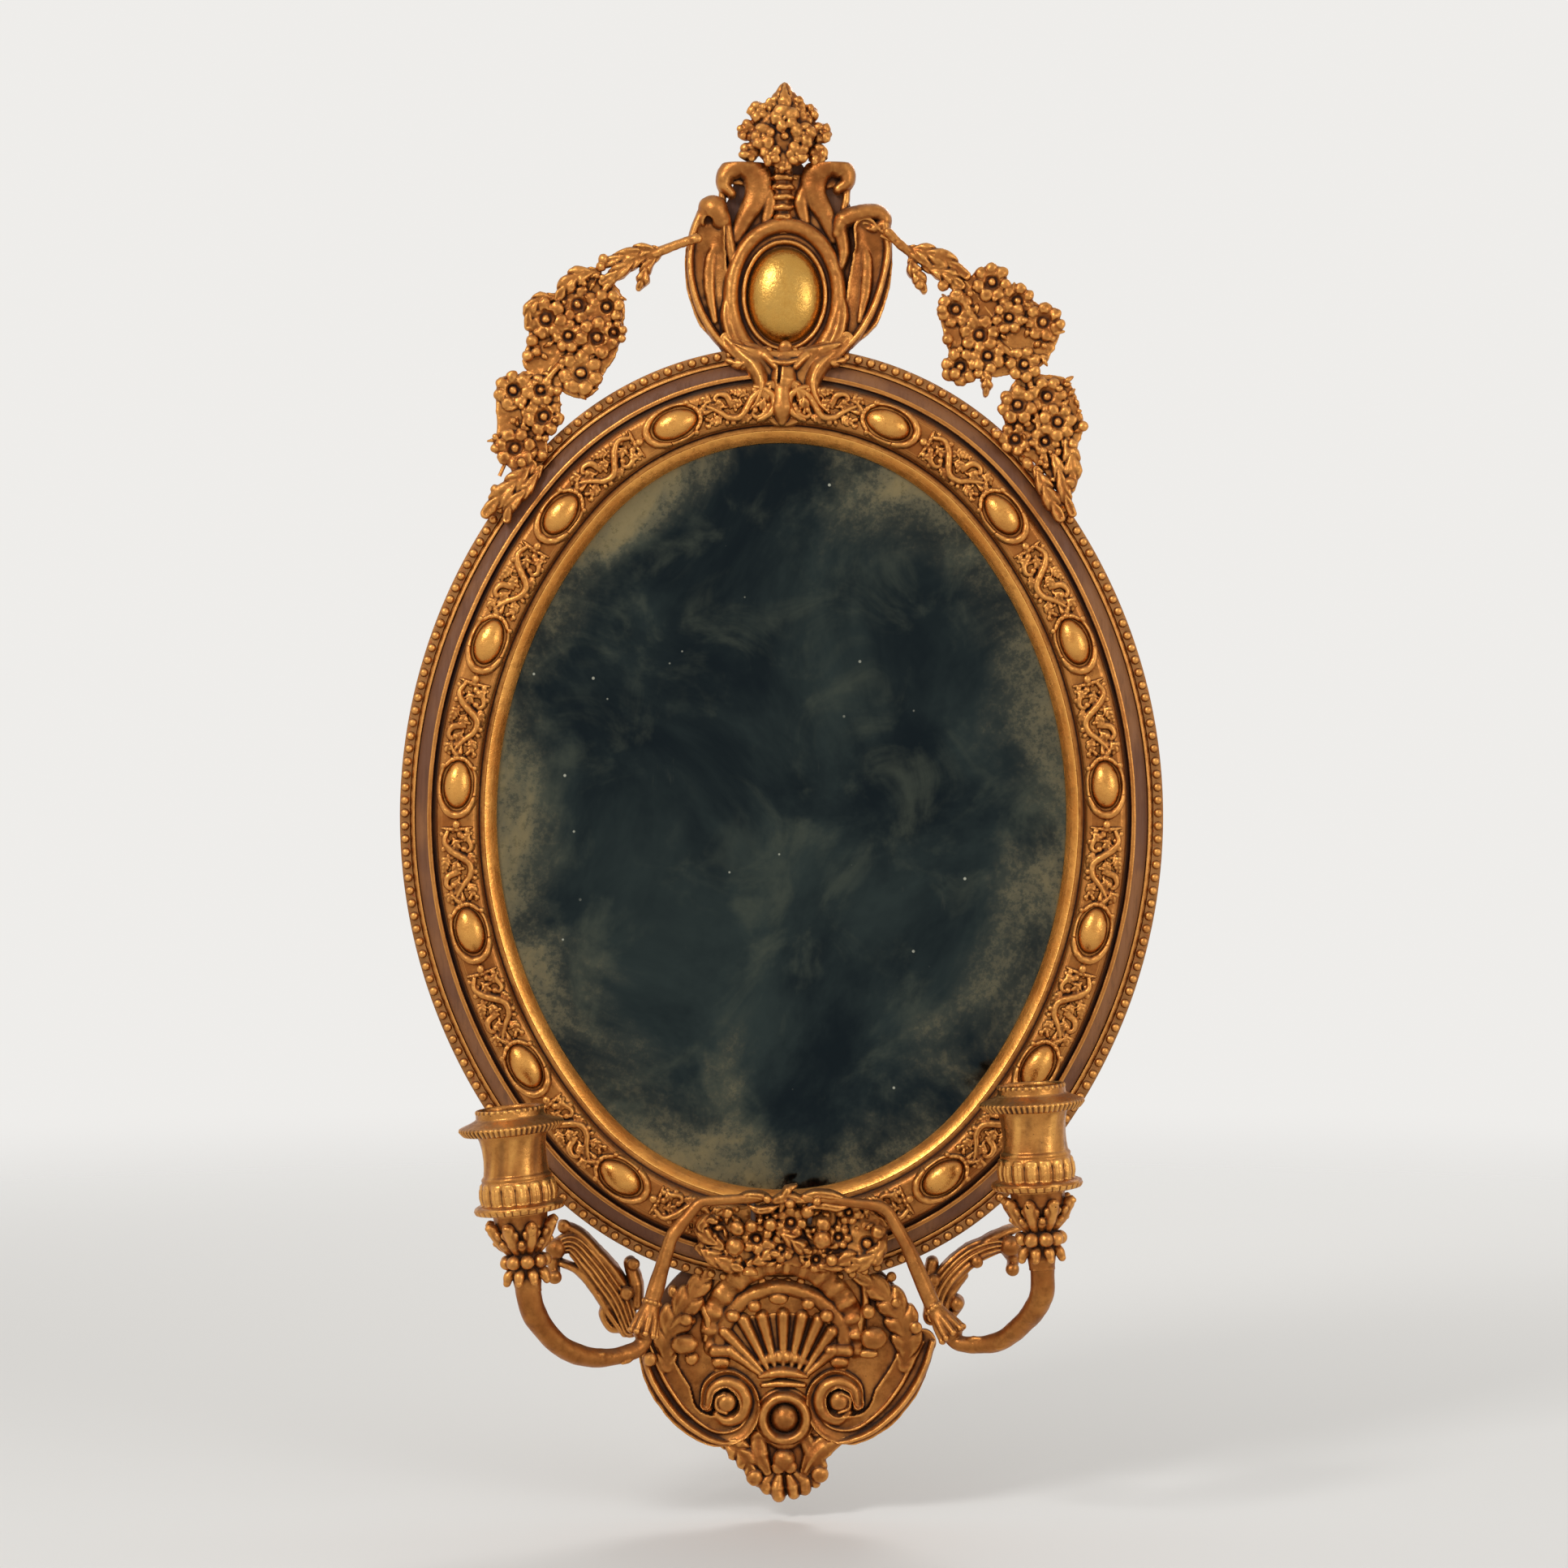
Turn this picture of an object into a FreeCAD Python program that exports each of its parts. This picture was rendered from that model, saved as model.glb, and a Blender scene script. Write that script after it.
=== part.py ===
"""Oval girandole mirror: a moulded oval frame with crest, garlands, apron and two candle arms.

X runs to the right as one faces the mirror, Z up, and the wall lies behind at Y = 0, so the front
faces -Y. The origin is the centre of the oval on the rear plane. A "height" of the moulding, or of
a carving, is its distance in front of the rear plane. An "offset" is a distance outward from the
sight edge, the visible edge of the glass. All sizes are in millimetres and degrees.
"""
import FreeCAD, Part
import math
import os

import Sketcher

Vector = FreeCAD.Vector
Rotation = FreeCAD.Rotation
Placement = FreeCAD.Placement

UP = Vector(0, 0, 1)
TO_WALL = Vector(0, 1, 0)
TO_FRONT = Vector(0, -1, 0)
SIDEWAYS = Vector(1, 0, 0)
FACE_FRONT = Rotation(SIDEWAYS, 90)  # turns a primitive's own Z axis to the front

SIZES = {
    # the oval: its sight edge is four tangent arcs, and each end arc turns through this angle twice
    "sight_half_width": 183.5,
    "sight_half_height": 240.5,
    "end_half_angle": 49.3736,
    # widths of the moulding's members, from the sight edge outward
    "slip_width": 7.3,
    "cove_width": 4,
    "band_width": 26,
    "slope_width": 3.7,
    "ridge_width": 2.6,
    "scotia_width": 8.8,
    "fillet_width": 3,
    "bead_seat_width": 6.6,
    # heights of the moulding's members above the rear plane
    "glass_front_height": 15,
    "slip_inner_height": 17.5,
    "slip_outer_height": 24.5,
    "cove_height": 21.5,
    "band_shoulder_height": 28.5,
    "band_height": 33,
    "slope_height": 25,
    "ridge_height": 27.5,
    "scotia_height": 19.5,
    "fillet_height": 23,
    "bead_seat_height": 20.8,
    "rear_bevel_width": 2,
    "rear_bevel_height": 7,
    # string of half-round beads on the outer edge
    "bead_strip_thickness": 1.2,
    "bead_radius": 3.1,
    "bead_pitch": 8.3,
    # cabochons on the band, and the sprigs between them
    "egg_count_per_side": 7,
    "egg_first": 71,
    "egg_pitch": 94,
    "egg_half_length": 15.5,
    "egg_half_width": 9.5,
    "egg_rise": 8,
    "egg_rim_width": 3.4,
    "egg_rim_rise": 6,
    "sprig_rise": 4,
    # glass, blocks and backboard
    "glass_thickness": 3,
    "glass_lap": 10,
    "glass_play": 1,
    "block_length": 25,
    "block_count": 12,
    "block_thickness": 3,
    "board_thickness": 9,
    "board_rebate": 6,
    "board_play": 0.5,
    "plank_half_width": 68,
    "plank_gap": 0.4,
    "nail_count": 16,
    "nail_radius": 0.9,
    "nail_length": 14,
    "nail_head_radius": 2.2,
    "nail_head_thickness": 0.8,
    # D-ring hangers let into the back
    "hanger_inset": 39.5,
    "hanger_z": 96,
    "hanger_recess_depth": 6,
    "hanger_recess_width": 27,
    "hanger_recess_above": 22,
    "hanger_recess_below": 14,
    "strap_width": 14,
    "strap_length": 20,
    "strap_thickness": 1.2,
    "knuckle_radius": 2.2,
    "knuckle_length": 8,
    "ring_wire_radius": 1.25,
    "ring_radius": 9.5,
    "hinge_gap": 0.08,
    "strap_screw_low": 5,
    "strap_screw_high": 15,
    "strap_screw_radius": 1.4,
    "strap_screw_length": 11,
    "strap_screw_head_radius": 2.4,
    "strap_screw_head_rise": 1.1,
    # battens and their countersunk screws
    "batten_thickness": 8,
    "batten_half_width": 15,
    "batten_on_frame": 40,
    "crest_batten_reach": 78,
    "apron_batten_reach": 84,
    "screw_radius": 2,
    "screw_length": 14.5,
    "screw_head_radius": 4,
    "screw_head_depth": 2.4,
    "screw_gap": 0.05,
    # carved work
    "plate_thickness": 8,
    "carving_rise": 12,
    "low_carving_rise": 9,
    "cabochon_half_width": 24,
    "cabochon_half_height": 31.5,
    "cabochon_rise": 15,
    "arch_half_width": 37.7,
    "arch_half_height": 48.8,
    "arch_lift": 32.5,
    "crest_axis_x": 2,
    "crest_flower_lift": 129,
    "crest_bud_lift": 162.2,
    "arch_opening_gap": 1.5,
    "seat_gap": 0.3,
    "foot_rise": 7,
    "bud_half_width": 6,
    "bud_half_height": 7.4,
    "bud_rise": 9,
    # garlands
    "garland_height": 26,
    "garland_wire_radius": 1.25,
    "garland_wire_lift": 2.6,
    "wire_gap": 0.15,
    "leaf_rise": 5.5,
    # apron
    "shell_rib_count": 9,
    "shell_radius": 38,
    "shell_rib_radius": 4.2,
    "shell_foot_radius": 9,
    "shell_foot_rise": 6,
    "shell_drop": 54,
    "boss_drop": 84.4,
    "boss_radius": 17.7,
    "boss_opening_radius": 11.4,
    "boss_ball_radius": 9.4,
    "basket_rise": 13,
    # candle arms
    "arm_wire_radius": 1.6,
    "arm_wire_gap": 0.1,
    "arm_bar_radius": 2.5,
    "arm_rod_radius": 5.2,
    "arm_neck_radius": 4.2,
    "arm_branch_radius": 8,
    "husk_length": 13,
    "husk_radius": 7.6,
    "wire_let_in": 16,
    "lean_left": 6,
    "lean_right": 3.5,
    # candle cups, from the arm upward
    "collar_length": 15,
    "collar_radius": 12.5,
    "calyx_length": 24,
    "calyx_radius": 24,
    "flange_radius": 28,
    "flange_thickness": 6,
    "gadroon_radius": 22.5,
    "gadroon_length": 15,
    "cup_radius": 21.5,
    "cup_waist_radius": 20,
    "cup_length": 28,
    "pan_tube_radius": 12.6,
    "pan_tube_length": 34,
    "pan_play": 0.1,
    "candle_radius": 11,
    "pan_radius": 33,
    "pan_lip": 4.5,
    "pan_collar_radius": 19.5,
    "pan_collar_rise": 16,
    "pan_sheet": 1.5,
}

doc = FreeCAD.newDocument("girandole_mirror")
sheet = doc.addObject("Spreadsheet::Sheet", "sizes")
for row, (alias, amount) in enumerate(SIZES.items(), start=1):
    sheet.set(f"A{row}", alias.replace("_", " "))
    sheet.set(f"B{row}", str(amount))
    sheet.setAlias(f"B{row}", alias)
doc.recompute()

nodes = {}


# ---------------------------------------------------------------- sizes and how they are bound

class Size:
    """A size worked out from the sheet: its number, and the expression that gives it."""

    def __init__(self, number, text):
        self.number = number
        self.text = text

    def __add__(self, other):
        other = as_size(other)
        return Size(self.number + other.number, f"({self.text} + {other.text})")

    def __sub__(self, other):
        other = as_size(other)
        return Size(self.number - other.number, f"({self.text} - {other.text})")

    def __mul__(self, other):
        other = as_size(other)
        return Size(self.number * other.number, f"({self.text} * {other.text})")

    def __truediv__(self, other):
        other = as_size(other)
        return Size(self.number / other.number, f"({self.text} / {other.text})")

    def __neg__(self):
        return Size(-self.number, f"(0 - {self.text})")

    def __float__(self):
        return float(self.number)


def as_size(value):
    return value if isinstance(value, Size) else Size(float(value), f"({float(value)})")


def size(alias):
    return Size(float(sheet.get(alias)), f"sizes.{alias}")


def tangent(angle):
    return Size(math.tan(math.radians(angle.number)), f"tan({angle.text})")


def cosine(angle):
    return Size(math.cos(math.radians(angle.number)), f"cos({angle.text})")


def bind(item, **sizes):
    """Set properties of an object and tie each one to the sheet."""
    for name, value in sizes.items():
        value = as_size(value)
        setattr(item, name, value.number)
        if "sizes." in value.text:
            item.setExpression(name, value.text)


def primitive(kind, name, placement=None, **sizes):
    item = doc.addObject(f"Part::{kind}", name)
    bind(item, **sizes)
    item.Placement = placement or Placement()
    return item


def boolean(kind, name, *parts):
    """A cut takes the second part from the first; a fuse or a compound takes them all."""
    item = doc.addObject(f"Part::{kind}", name)
    if kind in ("Cut", "Common"):
        item.Base, item.Tool = parts
    elif kind == "Compound":
        item.Links = list(parts)
    else:
        item.Shapes = list(parts)
    return item


def node(name, item):
    """Name the object as one of the mirror's own pieces."""
    item.Label = name
    nodes[name] = item
    return item


def repeat(name, master, placements):
    """Identical pieces as one group of separate solids."""
    doc.recompute()
    group = doc.addObject("Part::Feature", name)
    copies = [master.Shape.transformed(spot.Matrix, copy=True) for spot in placements]
    group.Shape = Part.makeCompound(copies)
    group.Placement = Placement()
    return group


def solid_feature(name, shape):
    feature = doc.addObject("Part::Feature", name)
    feature.Shape = shape
    feature.Placement = Placement()
    return feature


# ---------------------------------------------------------------- sketches

def new_body(name, placement=None):
    body = doc.addObject("PartDesign::Body", name)
    body.Placement = placement or Placement()
    return body


def new_sketch(body, name, role):
    sketch = body.newObject("Sketcher::SketchObject", name)
    plane = next(item for item in body.Origin.OriginFeatures if item.Role == role)
    sketch.AttachmentSupport = [(plane, "")]
    sketch.MapMode = "FlatFace"
    return sketch


def arc_between(start, end, radius):
    """The minor arc from start to end; its centre is on the left of the way where radius is positive."""
    chord = end - start
    middle = (start + end) * 0.5
    left = Vector(-chord.y, chord.x, 0).normalize()
    lift = math.sqrt(max(radius * radius - chord.Length ** 2 / 4, 0))
    centre = middle + left * math.copysign(lift, radius)
    first, last = (start, end) if radius > 0 else (end, start)
    angles = [math.atan2(point.y - centre.y, point.x - centre.x) for point in (first, last)]
    return Part.ArcOfCircle(Part.Circle(centre, UP, abs(radius)), *angles)


def outline(sketch, corners):
    """Draw a closed outline: each corner is (u, v), or (u, v, radius) where an arc leaves it."""
    edges = []
    for corner, following in zip(corners, corners[1:] + corners[:1]):
        start = Vector(float(corner[0]), float(corner[1]), 0)
        end = Vector(float(following[0]), float(following[1]), 0)
        if len(corner) == 2:
            edges.append((sketch.addGeometry(Part.LineSegment(start, end)), 1, 2))
            continue
        radius = as_size(corner[2])
        edge = sketch.addGeometry(arc_between(start, end, radius.number))
        ends = (1, 2) if radius.number > 0 else (2, 1)
        edges.append((edge, *ends))
        held = radius if radius.number > 0 else -radius
        fix(sketch, Sketcher.Constraint("Radius", edge, held.number), held)
    for (edge, _, last), (following, first, _) in zip(edges, edges[1:] + edges[:1]):
        sketch.addConstraint(Sketcher.Constraint("Coincident", edge, last, following, first))
    for (edge, first, _), corner in zip(edges, corners):
        for direction, value in zip(("DistanceX", "DistanceY"), corner[:2]):
            value = as_size(value)
            fix(sketch, Sketcher.Constraint(direction, -1, 1, edge, first, value.number), value)


def fix(sketch, constraint, value):
    index = sketch.addConstraint(constraint)
    if "sizes." in value.text:
        sketch.setExpression(f"Constraints[{index}]", value.text)


def padded(name, corners, back, thickness):
    """A flat piece drawn as seen from the front, from height back forward."""
    body = new_body(name, Placement(Vector(0, -float(back), 0), Rotation()))
    sketch = new_sketch(body, f"{name}_outline", "XZ_Plane")
    outline(sketch, corners)
    pad = body.newObject("PartDesign::Pad", f"{name}_pad")
    pad.Profile = sketch
    bind(pad, Length=thickness)
    return body


def carved(name, points, back, thickness, origin=(0, 0), turn=0, mirrored=False):
    """A carved or cast ornament: a smooth closed outline through a few points, with a flat back."""
    side = -1 if mirrored else 1
    x, z = origin
    body = new_body(name, Placement(Vector(x, -float(back), z), Rotation(TO_WALL, turn)))
    sketch = new_sketch(body, f"{name}_outline", "XZ_Plane")
    curve = Part.BSplineCurve()
    curve.interpolate(Points=[Vector(side * u, v, 0) for u, v in points], PeriodicFlag=True)
    sketch.addGeometry(curve)
    pad = body.newObject("PartDesign::Pad", f"{name}_pad")
    pad.Profile = sketch
    bind(pad, Length=thickness)
    return body


def turned(name, corners, placement=None, role="XZ_Plane", angle=360):
    """A turned piece, or a length of curved moulding: an outline swung round the sketch's own V axis."""
    body = new_body(name, placement)
    sketch = new_sketch(body, f"{name}_outline", role)
    outline(sketch, corners)
    swing = body.newObject("PartDesign::Revolution", f"{name}_turning")
    swing.Profile = sketch
    swing.ReferenceAxis = (sketch, ["V_Axis"])
    swing.Midplane = True
    bind(swing, Angle=angle)
    return body


def dome(name, x, z, back, half_width, half_height, rise, turn=0):
    """Half an ellipsoid with a flat back."""
    spot = Placement(Vector(x, -float(back), z), Rotation(TO_WALL, turn) * FACE_FRONT)
    item = primitive("Ellipsoid", name, spot, Radius1=rise, Radius2=half_width, Radius3=half_height)
    item.Angle1 = 0
    return item


def cap(name, x, z, back, radius, rise):
    """A round boss: the end of a sphere, cut flat."""
    radius, rise = float(radius), float(rise)
    ball = (radius * radius + rise * rise) / (2 * rise)
    spot = Placement(Vector(x, -float(back) + (ball - rise), z), FACE_FRONT)
    item = primitive("Sphere", name, spot, Radius=ball)
    item.Angle1 = math.degrees(math.asin((ball - rise) / ball))
    return item


# ---------------------------------------------------------------- the oval

half_width = size("sight_half_width")
half_height = size("sight_half_height")
end_half_angle = size("end_half_angle")
side_half_angle = as_size(90) - end_half_angle
end_centre = ((half_height - half_width)
              / (tangent(end_half_angle) + 1 - as_size(1) / cosine(end_half_angle)))
end_radius = half_height - end_centre
side_centre = end_centre * tangent(end_half_angle)
side_radius = half_width + side_centre

frame_width = (size("slip_width") + size("cove_width") + size("band_width") + size("slope_width")
               + size("ridge_width") + size("scotia_width") + size("fillet_width") + size("bead_seat_width"))
crest_z = float(half_height + frame_width)
apron_z = -crest_z

# each length of the frame: its arc's radius, half angle, centre (x, z) and turn about Y
LENGTHS = {
    "top": (end_radius, end_half_angle, 0, float(end_centre), -90),
    "right": (side_radius, side_half_angle, -float(side_centre), 0, 0),
    "bottom": (end_radius, end_half_angle, 0, -float(end_centre), 90),
    "left": (side_radius, side_half_angle, float(side_centre), 0, 180),
}


def on_oval(along, offset, out=0.0):
    """Place along the line at this offset, clockwise from the top: x, z and the outward angle from up."""
    offset = float(offset)
    end_reach = float(end_radius) + offset
    side_reach = float(side_radius) + offset
    end_half = math.radians(end_half_angle.number)
    side_half = math.radians(side_half_angle.number)
    end_length = end_reach * end_half
    side_length = side_reach * 2 * side_half
    side = -1 if along < 0 else 1
    along = abs(along)
    if along <= end_length:
        angle = along / end_reach
        x, z, reach = 0.0, float(end_centre), end_reach
    elif along <= end_length + side_length:
        angle = end_half + (along - end_length) / side_reach
        x, z, reach = -float(side_centre), 0.0, side_reach
    else:
        angle = end_half + 2 * side_half + (along - end_length - side_length) / end_reach
        x, z, reach = 0.0, -float(end_centre), end_reach
    reach += out
    return side * (x + reach * math.sin(angle)), z + reach * math.cos(angle), side * math.degrees(angle)


def oval_length(offset):
    end_length = (float(end_radius) + float(offset)) * math.radians(end_half_angle.number)
    side_length = (float(side_radius) + float(offset)) * math.radians(side_half_angle.number)
    return 4 * (end_length + side_length)


def oval_corners(offset):
    """The oval's four tangent points at this offset, with the arcs between them."""
    span = side_radius - end_radius
    x = (end_radius + offset) * side_centre / span
    z = end_centre + (end_radius + offset) * end_centre / span
    return [(x, z, end_radius + offset), (-x, z, side_radius + offset),
            (-x, -z, end_radius + offset), (x, -z, side_radius + offset)]


def curved_length(name, section, length):
    """One length of the moulding: its section, as (offset, height) corners, swung round the arc's centre."""
    radius, half_angle, x, z, turn = LENGTHS[length]
    corners = [(radius + offset, -as_size(height), *rest) for offset, height, *rest in section]
    spot = Placement(Vector(x, 0, z), Rotation(TO_WALL, turn))
    return turned(name, corners, spot, role="XY_Plane", angle=half_angle * 2)


# ---------------------------------------------------------------- fasteners shared by several pieces

def countersunk(name, gap):
    """A countersunk wood screw, driven forward from Y = 0; with a gap, the hole for it."""
    shank, head = size("screw_radius") + gap, size("screw_head_radius") + gap
    depth, length = size("screw_head_depth"), size("screw_length")
    return turned(name, [(0, 0), (head, 0), (shank, depth), (shank, length), (0, length)],
                  Placement(Vector(), FACE_FRONT))


def headed(name, radius, head_radius, head_rise, length, gap):
    """A nail or round-head screw, driven forward from Y = 0 with its head behind; with a gap, its hole."""
    corners = [(0, -head_rise), (head_radius + gap, -head_rise), (head_radius + gap, 0),
               (radius + gap, 0), (radius + gap, length), (0, length)]
    return turned(name, corners, Placement(Vector(), FACE_FRONT))


# ---------------------------------------------------------------- the frame's moulding

slip_edge = size("slip_width")
cove_edge = slip_edge + size("cove_width")
band_edge = cove_edge + size("band_width")
slope_edge = band_edge + size("slope_width")
ridge_edge = slope_edge + size("ridge_width")
scotia_edge = ridge_edge + size("scotia_width")
fillet_edge = scotia_edge + size("fillet_width")
band_middle = cove_edge + size("band_width") / 2
bead_line = fillet_edge + size("bead_seat_width") / 2

glass_front = size("glass_front_height")
glass_back = glass_front - size("glass_thickness")
glass_edge = size("glass_lap")
glass_rebate = glass_edge + size("glass_play")
block_thickness = size("block_thickness")
board_front = glass_back - block_thickness
board_back = board_front - size("board_thickness")
board_rebate = glass_rebate + size("board_rebate")
board_edge = board_rebate - size("board_play")
shoulder_rise = size("band_height") - size("band_shoulder_height")

CORE_SECTION = [
    (slip_edge, glass_front),
    (slip_edge, size("cove_height")),
    (cove_edge, size("cove_height")),
    (cove_edge, size("band_shoulder_height"), -shoulder_rise),
    (cove_edge + shoulder_rise, size("band_height")),
    (band_edge - shoulder_rise, size("band_height"), -shoulder_rise),
    (band_edge, size("band_shoulder_height")),
    (slope_edge, size("slope_height")),
    (slope_edge, size("ridge_height")),
    (ridge_edge, size("ridge_height"), size("scotia_width")),
    (scotia_edge, size("scotia_height")),
    (scotia_edge, size("fillet_height")),
    (fillet_edge, size("bead_seat_height")),
    (frame_width, size("bead_seat_height")),
    (frame_width, size("rear_bevel_height")),
    (frame_width - size("rear_bevel_width"), 0),
    (board_rebate, 0),
    (board_rebate, board_front),
    (glass_rebate, board_front),
    (glass_rebate, glass_front),
]
SLIP_SECTION = [(0, glass_front), (0, size("slip_inner_height")), (slip_edge, size("slip_outer_height")),
                (slip_edge, glass_front)]
cores = {length: curved_length(f"core_{length}", CORE_SECTION, length) for length in LENGTHS}
slips = [curved_length(f"slip_{length}", SLIP_SECTION, length) for length in LENGTHS]
node("sight_moulding", boolean("MultiFuse", "slips", *slips))


def bead_string(length):
    """Half-round beads pressed as one string with a thin strip under them."""
    radius, half_angle, _, _, _ = LENGTHS[length]
    seat = size("bead_seat_height")
    top = seat + size("bead_strip_thickness")
    section = [(fillet_edge, seat), (fillet_edge, top), (frame_width, top), (frame_width, seat)]
    body = curved_length(f"beading_{length}", section, length)
    reach = radius + bead_line
    arc = 2 * math.radians(half_angle.number) * reach.number
    count = round(arc / float(size("bead_pitch")))
    step = 2 * half_angle.number / count
    start = math.radians(half_angle.number - step / 2)
    ball = body.newObject("PartDesign::AdditiveSphere", f"bead_{length}")
    bind(ball, Radius=size("bead_radius"))
    ball.Angle1 = 0
    place = Vector(reach.number * math.cos(start), -top.number, reach.number * math.sin(start))
    ball.Placement = Placement(place, FACE_FRONT)
    row = body.newObject("PartDesign::PolarPattern", f"beads_{length}")
    row.Originals = [ball]
    row.Axis = (body.Group[0], ["V_Axis"])
    row.Occurrences = count
    row.Angle = 2 * half_angle.number - step
    body.Tip = row
    return body


node("outer_beading", boolean("Compound", "bead_strings", *[bead_string(length) for length in LENGTHS]))

# ---------------------------------------------------------------- ornament on the band

band_top = size("band_height")
egg_places = [side * (float(size("egg_first")) + number * float(size("egg_pitch")))
              for side in (1, -1) for number in range(int(float(size("egg_count_per_side"))))]
egg_length, egg_width, egg_rise = size("egg_half_length"), size("egg_half_width"), size("egg_rise")
rim_width, seat_gap = size("egg_rim_width"), size("seat_gap")


def band_spot(along, height=0.0):
    """Where an ornament drawn at the origin, its length along X, goes on the band."""
    x, z, angle = on_oval(along, band_middle)
    return Placement(Vector(x, -float(height), z), Rotation(TO_WALL, angle))


egg = dome("egg", 0, 0, 0, egg_length, egg_width, egg_rise)
egg_room = dome("egg_room", 0, 0, 0, egg_length + seat_gap, egg_width + seat_gap,
                egg_rise + size("egg_rim_rise"))
rim_blank = dome("rim_blank", 0, 0, 0, egg_length + rim_width, egg_width + rim_width, size("egg_rim_rise"))
rim = boolean("Cut", "rim", rim_blank, egg_room)
on_band = [band_spot(along, band_top) for along in egg_places]
node("egg_cabochons", repeat("eggs", egg, on_band))
node("egg_rims", repeat("rims", rim, on_band))

SPRIG = [(-25, -2), (-21, -7), (-12, -6), (-5, 1), (3, 7), (12, 6), (18, 0), (23, -2), (25, 3), (20, 8),
         (12, 11), (2, 11), (-7, 5), (-13, -1), (-19, 1), (-24, 3)]
sprig = carved("sprig", SPRIG, 0, size("sprig_rise"))
sprig_places = [along + math.copysign(float(size("egg_pitch")) / 2, along) for along in egg_places
                if abs(along) < max(egg_places)]
node("vine_ornament", repeat("sprigs", sprig, [band_spot(along, band_top) for along in sprig_places]))

# ---------------------------------------------------------------- glass, blocks and backboard

node("mirror_plate", padded("plate", oval_corners(glass_edge), glass_back, size("glass_thickness")))

block = primitive("Box", "block", Length=size("block_length"), Width=block_thickness,
                  Height=size("board_rebate"))
block_places = []
for number in range(int(float(size("block_count")))):
    whole = oval_length(glass_rebate)
    along = (number + 0.5) * whole / float(size("block_count"))
    x, z, angle = on_oval(along if along < whole / 2 else along - whole, glass_rebate)
    spot = Placement(Vector(x, -float(glass_back), z), Rotation(TO_WALL, angle))
    sag = float(size("block_length")) ** 2 / 8 / float(end_radius) + float(seat_gap)
    corner = Vector(-float(size("block_length")) / 2, 0, -float(size("board_rebate")) - sag)
    block_places.append(spot * Placement(corner, Rotation()))
node("glass_blocks", repeat("blocks", block, block_places))

nail_line = (glass_rebate + board_edge) / 2
nail_places = []
for number in range(int(float(size("nail_count")))):
    whole = oval_length(nail_line)
    along = (number + 0.25) * whole / float(size("nail_count"))
    x, z, _ = on_oval(along if along < whole / 2 else along - whole, nail_line)
    head_front = float(board_back + size("nail_head_thickness"))
    nail_places.append(Placement(Vector(x, -head_front, z), Rotation()))
nail_sizes = (size("nail_radius"), size("nail_head_radius"), size("nail_head_thickness"), size("nail_length"))
nail = headed("nail", *nail_sizes, 0)
nail_hole = headed("nail_hole", *nail_sizes, size("screw_gap"))
nails = node("backboard_nails", repeat("nails", nail, nail_places))
nail_holes = repeat("nail_holes", nail_hole, nail_places)

board = boolean("Cut", "board", padded("board_blank", oval_corners(board_edge), board_back,
                                       size("board_thickness")), nail_holes)
plank_width, plank_gap = size("plank_half_width"), size("plank_gap")
board_reach = half_width + board_edge
plank_height = (half_height + board_edge) * 2
planks = []
for name, left, right in (("left", -board_reach, -plank_width - plank_gap / 2),
                          ("middle", -plank_width + plank_gap / 2, plank_width - plank_gap / 2),
                          ("right", plank_width + plank_gap / 2, board_reach)):
    corner = Placement(Vector(float(left), -float(board_front), -float(plank_height) / 2), Rotation())
    room = primitive("Box", f"plank_room_{name}", corner, Length=right - left, Width=size("board_thickness"),
                     Height=plank_height)
    planks.append(boolean("Common", f"plank_{name}", board, room))
node("backboard_planks", boolean("Compound", "planks", *planks))

# ---------------------------------------------------------------- hangers let into the back

recess = size("hanger_recess_depth")
strap_back = recess - size("strap_thickness")
ring_height = recess / 2
hanger_x = float(half_width + frame_width - size("hanger_inset"))
hanger_spots = [Placement(Vector(side * hanger_x, 0, float(size("hanger_z"))), Rotation())
                for side in (-1, 1)]


def d_ring():
    """A ring with one straight bar, which is the pin of its own hinge. The bar lies along X."""
    wire, reach = size("ring_wire_radius"), size("ring_radius")
    bow = primitive("Torus", "ring_bow", Placement(Vector(), Rotation(SIDEWAYS, -90)),
                    Radius1=reach, Radius2=wire)
    bow.Angle3 = 180
    bar = primitive("Cylinder", "ring_bar", Placement(Vector(-float(reach), 0, 0), Rotation(TO_WALL, 90)),
                    Radius=wire, Height=reach * 2)
    ends = [primitive("Sphere", f"ring_end_{side}", Placement(Vector(side * float(reach), 0, 0), Rotation()),
                      Radius=wire) for side in (-1, 1)]
    return boolean("MultiFuse", "d_ring", bow, bar, *ends)


def strap():
    """The hanger's plate: a strap with the knuckle that holds the ring, and two screw holes."""
    depth = float(recess)
    knuckle_length, knuckle = size("knuckle_length"), size("knuckle_radius")
    plate = primitive("Box", "strap_plate",
                      Placement(Vector(-float(size("strap_width")) / 2, -depth, 0), Rotation()),
                      Length=size("strap_width"), Width=size("strap_thickness"), Height=size("strap_length"))
    across = Rotation(TO_WALL, 90)
    start = Vector(-float(knuckle_length) / 2, -float(ring_height), 0)
    tube = primitive("Cylinder", "knuckle", Placement(start, across), Radius=knuckle, Height=knuckle_length)
    web = primitive("Box", "knuckle_web", Placement(Vector(start.x, -depth, -float(knuckle)), Rotation()),
                    Length=knuckle_length, Width=recess - ring_height, Height=knuckle * 2)
    solid = boolean("MultiFuse", "strap_solid", plate, tube, web)
    bore = primitive("Cylinder", "knuckle_bore", Placement(start, across),
                     Radius=size("ring_wire_radius") + size("hinge_gap"), Height=knuckle_length)
    return boolean("Cut", "strap_bored", solid, bore)


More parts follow.
